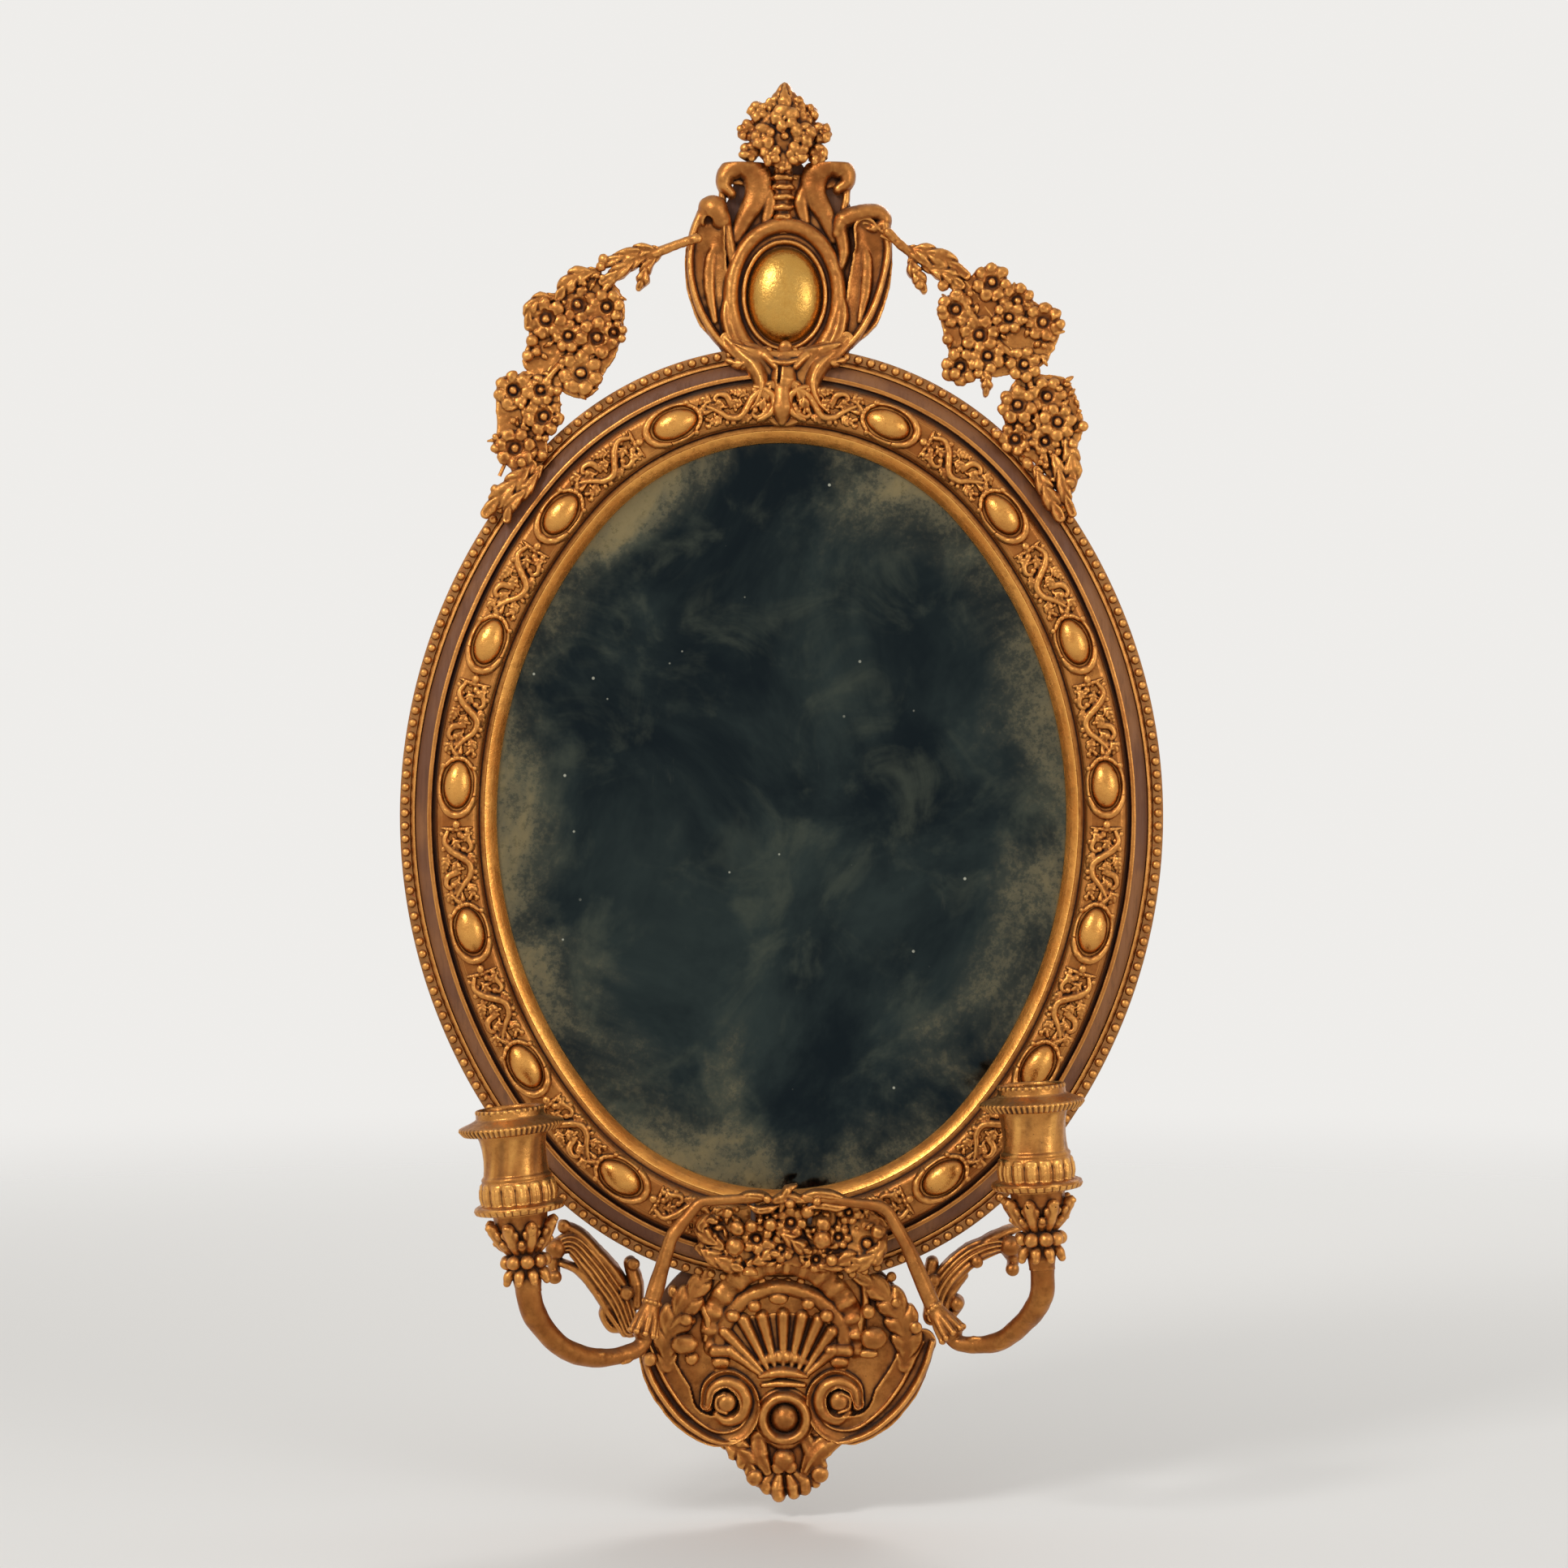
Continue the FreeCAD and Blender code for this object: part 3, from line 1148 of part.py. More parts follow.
PAN = [(0, pan_bottom), (size("pan_tube_radius"), pan_bottom), (size("pan_tube_radius"), cup_top),
       (pan_r, cup_top), (pan_r, cup_top + size("pan_lip")), (pan_collar, cup_top + size("pan_lip") + 4.5),
       (pan_collar, cup_top + size("pan_collar_rise")),
       (pan_collar - sheet_metal, cup_top + size("pan_collar_rise")),
       (pan_collar - sheet_metal, cup_top + size("pan_lip")), (size("candle_radius"), cup_top + 2),
       (size("candle_radius"), pan_bottom + sheet_metal), (0, pan_bottom + sheet_metal)]

for side, side_name in SIDE_NAMES.items():
    spot = cup_spots[side]
    node(f"bead_collar_{side_name}", turned(f"collar_{side_name}", COLLAR, spot))
    node(f"cup_calyx_{side_name}", turned(f"calyx_{side_name}", CALYX, spot))
    node(f"candle_nozzle_{side_name}", turned(f"nozzle_{side_name}", NOZZLE, spot))
    node(f"drip_pan_{side_name}", turned(f"pan_{side_name}", PAN, spot))

# ---------------------------------------------------------------- holes and notches in the frame

for length, core in cores.items():
    taken = [nail_holes]
    if length == "top":
        taken += [battens["crest"], screw_holes]
    elif length == "bottom":
        taken += [battens["apron"], screw_holes, *wire_rooms]
    else:
        taken += [*recesses, strap_holes]
    node(f"frame_core_{length}", boolean("Cut", f"frame_{length}", core,
                                         boolean("MultiFuse", f"taken_{length}", *taken)))

# ---------------------------------------------------------------- check and write

doc.recompute()
broken = [item.Name for item in doc.Objects if {"Invalid", "Error"} & set(item.State)]
if broken:
    raise RuntimeError(f"these objects failed to build: {broken}")
for name, item in nodes.items():
    if item.Shape.isNull() or not item.Shape.isValid() or not item.Shape.Solids:
        raise RuntimeError(f"{name} isn't a valid solid")

for side, spot in cup_spots.items():
    axis = spot.Rotation.multVec(UP)
    mouth = spot.multVec(Vector(0, 0, float(cup_top)))
    print(f"candle socket {SIDE_NAMES[side]}: mouth {tuple(mouth)} axis {tuple(axis)}")

os.makedirs("parts", exist_ok=True)
for name, item in nodes.items():
    item.Shape.exportStep(f"parts/{name}.step")
print(f"{len(nodes)} nodes written")
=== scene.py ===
"""How the girandole mirror looks: modelled and gilded ornament over the solid parts of the frame.

Everything here is worked out in millimetres as (x, height, z): x to the right, height in front of the
rear plane and z up from the centre of the oval. shown() turns it into metres, with Y = -height.
Where CREST_Z or APRON_Z is added, z counts from the frame's outer edge at the top or the bottom. The
lines of crest, apron and garlands were picked on enlargements of the photograph and then turned into
millimetres.
"""

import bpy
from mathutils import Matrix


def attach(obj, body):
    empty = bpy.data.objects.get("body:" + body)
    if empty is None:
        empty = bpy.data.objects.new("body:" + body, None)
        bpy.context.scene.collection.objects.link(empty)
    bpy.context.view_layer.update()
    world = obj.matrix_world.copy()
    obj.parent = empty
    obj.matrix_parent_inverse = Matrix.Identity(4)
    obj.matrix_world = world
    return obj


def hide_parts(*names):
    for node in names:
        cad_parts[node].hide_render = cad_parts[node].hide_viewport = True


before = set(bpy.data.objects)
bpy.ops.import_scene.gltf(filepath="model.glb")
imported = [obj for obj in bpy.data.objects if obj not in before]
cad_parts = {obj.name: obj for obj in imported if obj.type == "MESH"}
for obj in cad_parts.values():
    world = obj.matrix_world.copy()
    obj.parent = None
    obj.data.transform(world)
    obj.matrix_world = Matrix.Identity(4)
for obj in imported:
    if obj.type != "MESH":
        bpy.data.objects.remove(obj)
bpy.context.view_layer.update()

import math

import bpy
import numpy as np
import openvdb
from mathutils import Vector

FAR = 9.0  # distance that an empty modelling grid holds
# The crease and hollow shares steer where the gilt is given painted highlight and painted shade.
CREASE_REACH, HOLLOW_REACH = 1.0, 3.2  # how far round a point a crease and a hollow are looked for
MOST_TRIANGLES = 180000  # in one modelled piece

# ---------------------------------------------------------------- meshes


def shown(name, points, faces, material, body="frame", replaced=(), layers=None):
    """Make a piece of the object from points in millimetres, as (x, height, z)."""
    points = np.asarray(points, dtype=np.float32) * 0.001
    points = np.stack([points[:, 0], -points[:, 1], points[:, 2]], axis=1)
    mesh = bpy.data.meshes.new(name)
    if isinstance(faces, np.ndarray):
        faces = faces[:, ::-1]
        total, width = faces.shape
        mesh.vertices.add(len(points))
        mesh.vertices.foreach_set("co", points.ravel())
        mesh.loops.add(total * width)
        mesh.loops.foreach_set("vertex_index", np.ascontiguousarray(faces, dtype=np.int32).ravel())
        mesh.polygons.add(total)
        mesh.polygons.foreach_set("loop_start", np.arange(0, total * width, width, dtype=np.int32))
    else:
        mesh.from_pydata([tuple(p) for p in points.tolist()], [], [tuple(reversed(face)) for face in faces])
    mesh.update(calc_edges=True)
    mesh.validate()
    mesh.polygons.foreach_set("use_smooth", np.ones(len(mesh.polygons), dtype=bool))
    for layer, values in (layers or {}).items():
        attribute = mesh.attributes.new(layer, "FLOAT", "POINT")
        attribute.data.foreach_set("value", np.asarray(values, dtype=np.float32))
    piece = bpy.data.objects.new(name, mesh)
    bpy.context.scene.collection.objects.link(piece)
    mesh.materials.append(material)
    if replaced:
        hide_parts(*replaced)
    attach(piece, body)
    return piece


def through(points, steps=8):
    """A smooth line through the points, and for each of its points the share of the way by number."""
    points = np.asarray(points, dtype=float)
    if len(points) == 2:
        share = np.linspace(0, 1, steps + 1)
        return points[0] + (points[1] - points[0]) * share[:, None], share
    ends = np.vstack([2 * points[0] - points[1], points, 2 * points[-1] - points[-2]])
    line, shares = [], []
    for number in range(len(points) - 1):
        a, b, c, d = ends[number:number + 4]
        for t in np.arange(steps) / steps:
            line.append(0.5 * (2 * b + (c - a) * t + (2 * a - 5 * b + 4 * c - d) * t * t
                               + (3 * b - a - 3 * c + d) * t ** 3))
            shares.append((number + t) / (len(points) - 1))
    line.append(points[-1])
    shares.append(1.0)
    return np.array(line), np.array(shares)


def spread(values, shares):
    """Values given at evenly numbered points, read at these shares of the way."""
    values = np.atleast_1d(np.asarray(values, dtype=float))
    return np.interp(shares, np.linspace(0, 1, len(values)), values)


def soft_min(a, b, blend):
    """The nearer of two distances, the two surfaces melting together over the blend's width."""
    if blend <= 0:
        return np.minimum(a, b)
    h = np.clip(0.5 + 0.5 * (a - b) / blend, 0, 1)
    return a + (b - a) * h - blend * h * (1 - h)


def soft_max(a, b, blend):
    """What two solids share, with the edge between them rounded over the blend's width."""
    return -soft_min(-a, -b, blend)


def box_blur(values, reach):
    """The mean over a cube of this half width in cells."""
    for axis in range(3):
        width = 2 * reach + 1
        pad = [(0, 0)] * 3
        pad[axis] = (reach + 1, reach)
        sums = np.cumsum(np.pad(values, pad, mode="edge"), axis=axis, dtype=np.float32)
        front = np.take(sums, range(width, sums.shape[axis]), axis=axis)
        back = np.take(sums, range(0, sums.shape[axis] - width), axis=axis)
        values = (front - back) / width
    return values


def read_at(values, places):
    """Values of a grid at places given in cells, between its points."""
    places = np.clip(places, 0, np.array(values.shape) - 1.001)
    low = places.astype(int)
    part = places - low
    total = np.zeros(len(places), dtype=np.float32)
    for corner in range(8):
        step = np.array([(corner >> axis) & 1 for axis in range(3)])
        weight = np.prod(np.where(step == 1, part, 1 - part), axis=1)
        spot = low + step
        total += weight * values[spot[:, 0], spot[:, 1], spot[:, 2]]
    return total


class Clay:
    """Ornament modelled as one mass: a grid of distances to its surface, negative inside."""

    def __init__(self, low, high, cell):
        self.cell = cell
        self.low = np.array(low, dtype=float) - 3 * cell
        count = np.ceil((np.array(high, dtype=float) + 3 * cell - self.low) / cell).astype(int)
        self.field = np.full(count, FAR, dtype=np.float32)
        self.axes = [self.low[axis] + cell * np.arange(count[axis]) for axis in range(3)]

    def window(self, low, high, blend):
        """The part of the grid round a box: its slices, and x, height and z there."""
        margin = blend + 2.5 * self.cell
        cuts, axes = [], []
        for axis in range(3):
            start = int(max(0, math.floor((low[axis] - margin - self.low[axis]) / self.cell)))
            end = int(min(self.field.shape[axis],
                          math.ceil((high[axis] + margin - self.low[axis]) / self.cell) + 1))
            cuts.append(slice(start, max(end, start)))
            axes.append(self.axes[axis][start:max(end, start)])
        x, h, z = axes
        return tuple(cuts), x[:, None, None], h[None, :, None], z[None, None, :]

    def put(self, cut, distance, blend=0.8):
        """Add a solid, given by its distances in one window of the grid."""
        self.field[cut] = soft_min(self.field[cut], distance, blend)

    def take(self, cut, distance, blend=0.5):
        """Take a solid away."""
        self.field[cut] = soft_max(self.field[cut], -distance, blend)

    # ------------------------------------------------ strokes in the plane of the carving

    def stroke(self, points, width, top, base, crown=0.5, flutes=0, flute=0.9, blend=0.8, edge=1.0,
               lobes=0, lobe=0.2, sweep=0.6, rib=0.0, ripple=0, ripple_depth=0.6, taken=False):
        """A carved band or leaf along a line of (x, z), with its half width, top and base given along it.

        The crown is how far its edges fall, as a share of its rise. Flutes run along it; lobes cut its
        edges like a leaf's, swept forward, with a rib down the middle; ripples cross it."""
        line, shares = through(points)
        widths, tops, bases = spread(width, shares), spread(top, shares), spread(base, shares)
        reach = widths.max()
        low = (line[:, 0].min() - reach, bases.min(), line[:, 1].min() - reach)
        high = (line[:, 0].max() + reach, tops.max() + 1, line[:, 1].max() + reach)
        cut, x, h, z = self.window(low, high, blend)
        off, side, along = trace(line, x[:, 0, :], z[0])
        w = np.interp(along, np.linspace(0, 1, len(line)), widths)
        t = np.interp(along, np.linspace(0, 1, len(line)), tops)
        b = np.interp(along, np.linspace(0, 1, len(line)), bases)
        across = np.clip(off / np.maximum(w, 0.01), 0, 1)
        rise = t - b
        surface = t - rise * crown * (1 - np.sqrt(1 - 0.98 * across ** 2))
        if flutes:
            surface = surface - flute * (0.5 + 0.5 * np.cos(math.pi * flutes * (across * side + 1) + math.pi))
        if lobes:
            phase = math.pi * (lobes * along - sweep * across)
            notch = 1 - np.abs(np.sin(phase))
            w = w * (1 - lobe * notch ** 1.5)
            surface = surface - 0.28 * rise * notch ** 2 * np.minimum(1, across * 1.6)
        if rib:
            surface = surface + rib * np.exp(-(off / (0.22 * reach + 0.4)) ** 2) - 0.3 * rib
        if ripple:
            surface = surface - ripple_depth * (0.5 + 0.5 * np.cos(2 * math.pi * ripple * along))
        edge_distance = (off - w)[:, None, :]
        distance = soft_max(edge_distance, h - surface[:, None, :], edge)
        distance = soft_max(distance, b[:, None, :] - h, 0.3)
        if taken:
            self.take(cut, distance, blend)
        else:
            self.put(cut, distance, blend)

    def slab(self, points, top, base, blend=0.6, edge=1.0):
        """A flat-backed piece inside a closed outline of (x, z)."""
        line, _ = through(list(points) + [points[0]])
        low = (line[:, 0].min(), base, line[:, 1].min())
        high = (line[:, 0].max(), top, line[:, 1].max())
        cut, x, h, z = self.window(low, high, blend)
        off = trace(line, x[:, 0, :], z[0])[0]
        off = np.where(within(line, x[:, 0, :], z[0]), -off, off)
        distance = soft_max(off[:, None, :], np.maximum(h - top, base - h), edge)
        self.put(cut, distance, blend)

    # ------------------------------------------------ round forms

    def ball(self, centre, radius, blend=0.5, taken=False):
        """A ball, or an ellipsoid where three radii are given."""
        radii = np.ones(3) * np.asarray(radius, dtype=float)
        centre = np.asarray(centre, dtype=float)
        cut, x, h, z = self.window(centre - radii, centre + radii, blend)
        q = np.sqrt(((x - centre[0]) / radii[0]) ** 2 + ((h - centre[1]) / radii[1]) ** 2
                    + ((z - centre[2]) / radii[2]) ** 2)
        distance = (q - 1) * radii.min()
        (self.take if taken else self.put)(cut, distance, blend)

    def knob(self, place, height, radii, blend=0.5):
        """A rounded knob at (x, z), its middle at this height."""
        self.ball((place[0], height, place[1]), radii, blend=blend)

    def rod(self, points, radius, blend=0.6, taken=False):
        """A round bar through (x, height, z) points, its radius given along it."""
        line, shares = through(points)
        radii = spread(radius, shares)
        for a, b, ra, rb in zip(line, line[1:], radii, radii[1:]):
            reach = max(ra, rb)
            cut, x, h, z = self.window(np.minimum(a, b) - reach, np.maximum(a, b) + reach, blend)
            step = b - a
            along = ((x - a[0]) * step[0] + (h - a[1]) * step[1] + (z - a[2]) * step[2]) / max(step @ step,
                    1e-6)
            along = np.clip(along, 0, 1)
            away = np.sqrt((x - a[0] - along * step[0]) ** 2 + (h - a[1] - along * step[1]) ** 2
                           + (z - a[2] - along * step[2]) ** 2)
            distance = away - (ra + along * (rb - ra))
            if taken:
                self.take(cut, distance, blend)
            else:
                # pieces of one bar meet hard, or their overlaps would swell it
                self.put(cut, distance, min(blend, 0.35))

    # ------------------------------------------------ the finished surface

    def rough(self, amount, size, seed):
        """Unevenness of hand work."""
        draw = np.random.default_rng(seed)
        count = np.ceil(np.array(self.field.shape) * self.cell / size).astype(int) + 2
        coarse = draw.normal(size=count).astype(np.float32)
        near = np.abs(self.field) < 3
        places = np.argwhere(near)
        self.field[near] += amount * read_at(coarse, places * self.cell / size)

    def clip_below(self, height):
        """Take away everything below a height."""
        self.field = np.maximum(self.field, (height - self.axes[1])[None, :, None]).astype(np.float32)

    def surface(self, filled_below=None):
        """The surface's points and quads, and how far each point lies in a crease and in a hollow."""
        field = np.clip(self.field, -3 * self.cell, 3 * self.cell)
        grid = openvdb.FloatGrid(3 * self.cell)
        grid.copyFromArray(np.ascontiguousarray(field))
        places, quads = grid.convertToQuads(0.0)
        inside = np.clip(0.5 - self.field / (2 * self.cell), 0, 1).astype(np.float32)
        if filled_below is not None:
            inside[:, self.axes[1] < filled_below, :] = 1
        crease = read_at(box_blur(inside, max(1, round(CREASE_REACH / self.cell))), places)
        hollow = read_at(box_blur(inside, max(2, round(HOLLOW_REACH / self.cell))), places)
        return self.low + places * self.cell, quads.astype(np.int64), crease, hollow

    def finish(self, name, material, clip_base=None, at=(0, 0), bend=None, **options):
        """Show the modelled mass as a piece, its base cut flat, moved in the oval's plane, or bent."""
        if clip_base is not None:
            self.clip_below(clip_base)
        points, quads, crease, hollow = self.surface()
        points = points + (at[0], 0, at[1])
        if bend is not None:
            points = bend(points)
        piece = shown(name, points, quads, material, layers={"crease": crease, "hollow": hollow}, **options)
        if len(quads) * 2 > MOST_TRIANGLES:
            thin = piece.modifiers.new("fewer faces", "DECIMATE")
            thin.ratio = MOST_TRIANGLES / (len(quads) * 2)


def trace(line, x, z):
    """For each place: its distance from a line of (x, z), on which side it lies, and the share along."""
    best = np.full(np.broadcast_shapes(x.shape, z.shape), 1e12)
    side, along = np.ones_like(best), np.zeros_like(best)
    last = len(line) - 1
    for number, (a, b) in enumerate(zip(line, line[1:])):
        step = b - a
        t = np.clip(((x - a[0]) * step[0] + (z - a[1]) * step[1]) / max(step @ step, 1e-9), 0, 1)
        dx, dz = x - a[0] - t * step[0], z - a[1] - t * step[1]
        away = dx * dx + dz * dz
        near = away < best
        best = np.where(near, away, best)
        side = np.where(near, np.sign(step[0] * dz - step[1] * dx + 1e-12), side)
        along = np.where(near, (number + t) / last, along)
    return np.sqrt(best), side, along


def within(line, x, z):
    """Whether places lie inside a closed line."""
    inside = np.zeros(np.broadcast_shapes(x.shape, z.shape), dtype=bool)
    for (ax, az), (bx, bz) in zip(line, np.roll(line, -1, axis=0)):
        crosses = (az > z) != (bz > z)
        at = (bx - ax) * (z - az) / (bz - az if bz != az else 1e-9) + ax
        inside ^= crosses & (x < at)
    return inside


# ---------------------------------------------------------------- materials


class Look:
    """A procedural material, built up from a few kinds of node."""

    def __init__(self, name):
        self.material = bpy.data.materials.new(name)
        self.material.use_nodes = True
        self.tree = self.material.node_tree
        self.shader = self.tree.nodes["Principled BSDF"]
        self.places = self.node("TexCoord").outputs["Object"]
        self.facing = self.node("NewGeometry").outputs["Normal"]

    def node(self, kind, **settings):
        item = self.tree.nodes.new(f"ShaderNode{kind}")
        for name, value in settings.items():
            setattr(item, name, value)
        return item

    def join(self, value, socket):
        if isinstance(value, bpy.types.NodeSocket):
            self.tree.links.new(value, socket)
        elif isinstance(value, tuple) and len(value) == 3 and socket.type == "RGBA":
            socket.default_value = (*value, 1)
        else:
            socket.default_value = value

    def noise(self, scale, detail=3.0, roughness=0.55, stretch=None, distortion=0.0):
        item = self.node("TexNoise")
        self.join(self.stretched(stretch), item.inputs["Vector"])
        for name, value in (("Scale", scale), ("Detail", detail), ("Roughness", roughness),
                            ("Distortion", distortion)):
            item.inputs[name].default_value = value
        return item.outputs["Fac"]

    def cells(self, scale, stretch=None):
        item = self.node("TexVoronoi", feature="F1")
        self.join(self.stretched(stretch), item.inputs["Vector"])
        item.inputs["Scale"].default_value = scale
        return item.outputs["Distance"]

    def stretched(self, stretch):
        if stretch is None:
            return self.places
        item = self.node("Mapping")
        self.join(self.places, item.inputs["Vector"])
        item.inputs["Scale"].default_value = stretch
        return item.outputs["Vector"]

    def between(self, value, low, high, to_low=0.0, to_high=1.0):
        item = self.node("MapRange", interpolation_type="SMOOTHSTEP")
        self.join(value, item.inputs["Value"])
        for name, number in (("From Min", low), ("From Max", high), ("To Min", to_low), ("To Max", to_high)):
            item.inputs[name].default_value = number
        return item.outputs["Result"]

    def sum(self, operation, a, b=0.0, clamp=False):
        item = self.node("Math", operation=operation, use_clamp=clamp)
        self.join(a, item.inputs[0])
        self.join(b, item.inputs[1])
        return item.outputs[0]

    def mixed(self, factor, a, b):
        item = self.node("Mix", data_type="RGBA", blend_type="MIX")
        self.join(factor, item.inputs[0])
        self.join(a, item.inputs[6])
        self.join(b, item.inputs[7])
        return item.outputs[2]

    def layer(self, name):
        return self.node("Attribute", attribute_name=name).outputs["Fac"]

    def upward(self, axis="Z"):
        item = self.node("SeparateXYZ")
        self.join(self.facing, item.inputs[0])
        return item.outputs[axis]

    def bump(self, height, strength, distance):
        item = self.node("Bump")
        item.inputs["Strength"].default_value = strength
        item.inputs["Distance"].default_value = distance
        self.join(height, item.inputs["Height"])
        self.join(item.outputs["Normal"], self.shader.inputs["Normal"])

    def finish(self, **inputs):
        for name, value in inputs.items():
            self.join(value, self.shader.inputs[name.replace("_", " ")])
        return self.material


def gilt(name, mid, highlight_colour, shade_colour, polish=0.36, dust=1.0, wear=1.0):
    """Old gold leaf over red bole, with a painted highlight on the ridges, painted brown shade in the hollows
    and creases, and dust on what faces up.
    """
    look = Look(name)
    patches = look.noise(24, detail=4)
    mottle = look.noise(130, detail=4, roughness=0.65)
    grain = look.noise(520, detail=3, roughness=0.7)
    base = look.mixed(look.between(patches, 0.35, 0.68), mid,
                      tuple(0.5 * (a + b) for a, b in zip(mid, highlight_colour)))
    base = look.mixed(look.between(mottle, 0.42, 0.70, 0, 0.55), base, tuple(0.55 * c for c in mid))
    crease, hollow = look.layer("crease"), look.layer("hollow")
    # painted highlight: where the crease share is low, on the ridges, the colour turns to the lighter gold
    ridge_highlight = look.between(crease, 0.50, 0.40)
    ridge_highlight = look.sum("MULTIPLY", ridge_highlight, look.between(mottle, 0.30, 0.60, 0.35, 1.0))
    base = look.mixed(ridge_highlight, base, highlight_colour)
    worn = look.sum("MULTIPLY", look.between(crease, 0.43, 0.34), look.between(grain, 0.56, 0.66))
    base = look.mixed(look.sum("MULTIPLY", worn, 0.6 * wear), base, (0.30, 0.055, 0.02))
    # painted shade: far into hollows and creases the colour darkens to the shade colour
    shade = look.sum("ADD", look.between(hollow, 0.50, 0.74, 0, 0.75),
                     look.between(crease, 0.52, 0.68, 0, 0.6), clamp=True)
    shade = look.sum("MULTIPLY", shade, look.between(patches, 0.2, 0.6, 0.75, 1.0))
    base = look.mixed(shade, base, shade_colour)
    settled = look.between(look.upward(), 0.35, 0.95)
    settled = look.sum("MULTIPLY", settled, look.between(mottle, 0.35, 0.65, 0.15, 0.55 * dust))
    base = look.mixed(settled, base, (0.155, 0.100, 0.062))
    specks = look.between(look.cells(210), 0.10, 0.05, 0, 0.7)
    base = look.mixed(look.sum("MULTIPLY", specks, look.between(patches, 0.45, 0.6)), base,
                      (0.035, 0.018, 0.012))
    dull = look.sum("ADD", look.sum("MULTIPLY", shade, 0.30), look.sum("MULTIPLY", settled, 0.45), clamp=True)
    rough = look.sum("ADD", look.between(grain, 0.3, 0.7, polish - 0.05, polish + 0.10), dull, clamp=True)
    metal = look.sum("SUBTRACT", 0.95, look.sum("MULTIPLY", dull, 0.8), clamp=True)
    look.bump(look.sum("ADD", look.sum("MULTIPLY", mottle, 0.6), look.sum("MULTIPLY", grain, 0.5)), 0.55,
              0.0006)
    return look.finish(Base_Color=base, Roughness=rough, Metallic=metal)


# Each gilt below: its second colour is painted onto the ridges as highlight and its third into the hollows
# and creases as shade.
GILT = gilt("antique_gilt", mid=(0.31, 0.100, 0.022), highlight_colour=(0.72, 0.325, 0.080),
            shade_colour=(0.028, 0.008, 0.0035))
CUP_GILT = gilt("cup_gilt", mid=(0.38, 0.135, 0.030), highlight_colour=(0.78, 0.38, 0.095), shade_colour=(0.05, 0.015, 0.006),
                polish=0.29, dust=0.8, wear=0.6)
BRIGHT_GILT = gilt("bright_gilt", mid=(0.58, 0.215, 0.040), highlight_colour=(0.92, 0.46, 0.110),
                   shade_colour=(0.09, 0.025, 0.009), polish=0.30, dust=0.6)
EGG_GILT = gilt("egg_gilt", mid=(0.45, 0.165, 0.034), highlight_colour=(0.80, 0.39, 0.092), shade_colour=(0.10, 0.030, 0.010),
                polish=0.26, dust=0.6, wear=0.6)
BURNISHED = gilt("burnished_gilt", mid=(0.50, 0.245, 0.045), highlight_colour=(0.76, 0.45, 0.115),
                 shade_colour=(0.13, 0.045, 0.013), polish=0.24, dust=0.5, wear=0.5)
# darker, dustier gilt for the strip under the beads: its dark colour is painted shade in the gaps between the
# beads, its dust real
DULL_SHADED_GILT = gilt("dull_shaded_gilt", mid=(0.13, 0.048, 0.016), highlight_colour=(0.36, 0.16, 0.05), shade_colour=(0.03, 0.010, 0.005),
                 polish=0.46, dust=1.5)


def old_wood(name, pale, dark):
    """Unpainted old softwood, its grain upright, darkened and stained."""
    look = Look(name)
    long_way = (1, 1, 0.05)
    figure = look.noise(34, detail=5, stretch=long_way, distortion=1.6)
    fibre = look.noise(420, detail=4, stretch=long_way, roughness=0.7)
    stain = look.noise(9, detail=4)
    base = look.mixed(look.between(figure, 0.38, 0.62), pale, dark)
    base = look.mixed(look.between(fibre, 0.45, 0.75, 0, 0.6), base, tuple(0.45 * c for c in dark))
    base = look.mixed(look.between(stain, 0.42, 0.68, 0, 0.7), base, (0.055, 0.033, 0.018))
    knots = look.between(look.cells(11, stretch=(1, 1, 0.45)), 0.075, 0.03)
    base = look.mixed(knots, base, (0.035, 0.015, 0.008))
    look.bump(look.sum("ADD", fibre, look.sum("MULTIPLY", figure, 0.6)), 0.5, 0.0008)
    return look.finish(Base_Color=base, Roughness=look.between(fibre, 0.3, 0.7, 0.62, 0.85))


PINE = old_wood("old_pine", (0.33, 0.19, 0.085), (0.17, 0.085, 0.035))


def worn_metal(name, colour, tarnish, spots, polish=0.38):
    """Bare metal that has tarnished or rusted in patches."""
    look = Look(name)
    patches = look.noise(180, detail=5, roughness=0.65)
    fine = look.noise(1080, detail=3)
    rust = look.between(patches, 0.62 - 0.25 * spots, 0.70)
    base = look.mixed(look.between(fine, 0.35, 0.7), colour, tuple(0.75 * c for c in colour))
    base = look.mixed(rust, base, tarnish)
    rough = look.sum("ADD", look.between(fine, 0.3, 0.7, polish, polish + 0.12),
                     look.sum("MULTIPLY", rust, 0.3))
    look.bump(look.sum("ADD", fine, patches), 0.4, 0.0003)
    return look.finish(Base_Color=base, Roughness=rough, Metallic=look.sum("SUBTRACT", 1.0, rust, clamp=True))


IRON = worn_metal("old_iron", (0.11, 0.095, 0.085), (0.085, 0.032, 0.014), spots=0.9, polish=0.5)
BRASS = worn_metal("old_brass", (0.52, 0.36, 0.14), (0.13, 0.085, 0.04), spots=0.6)


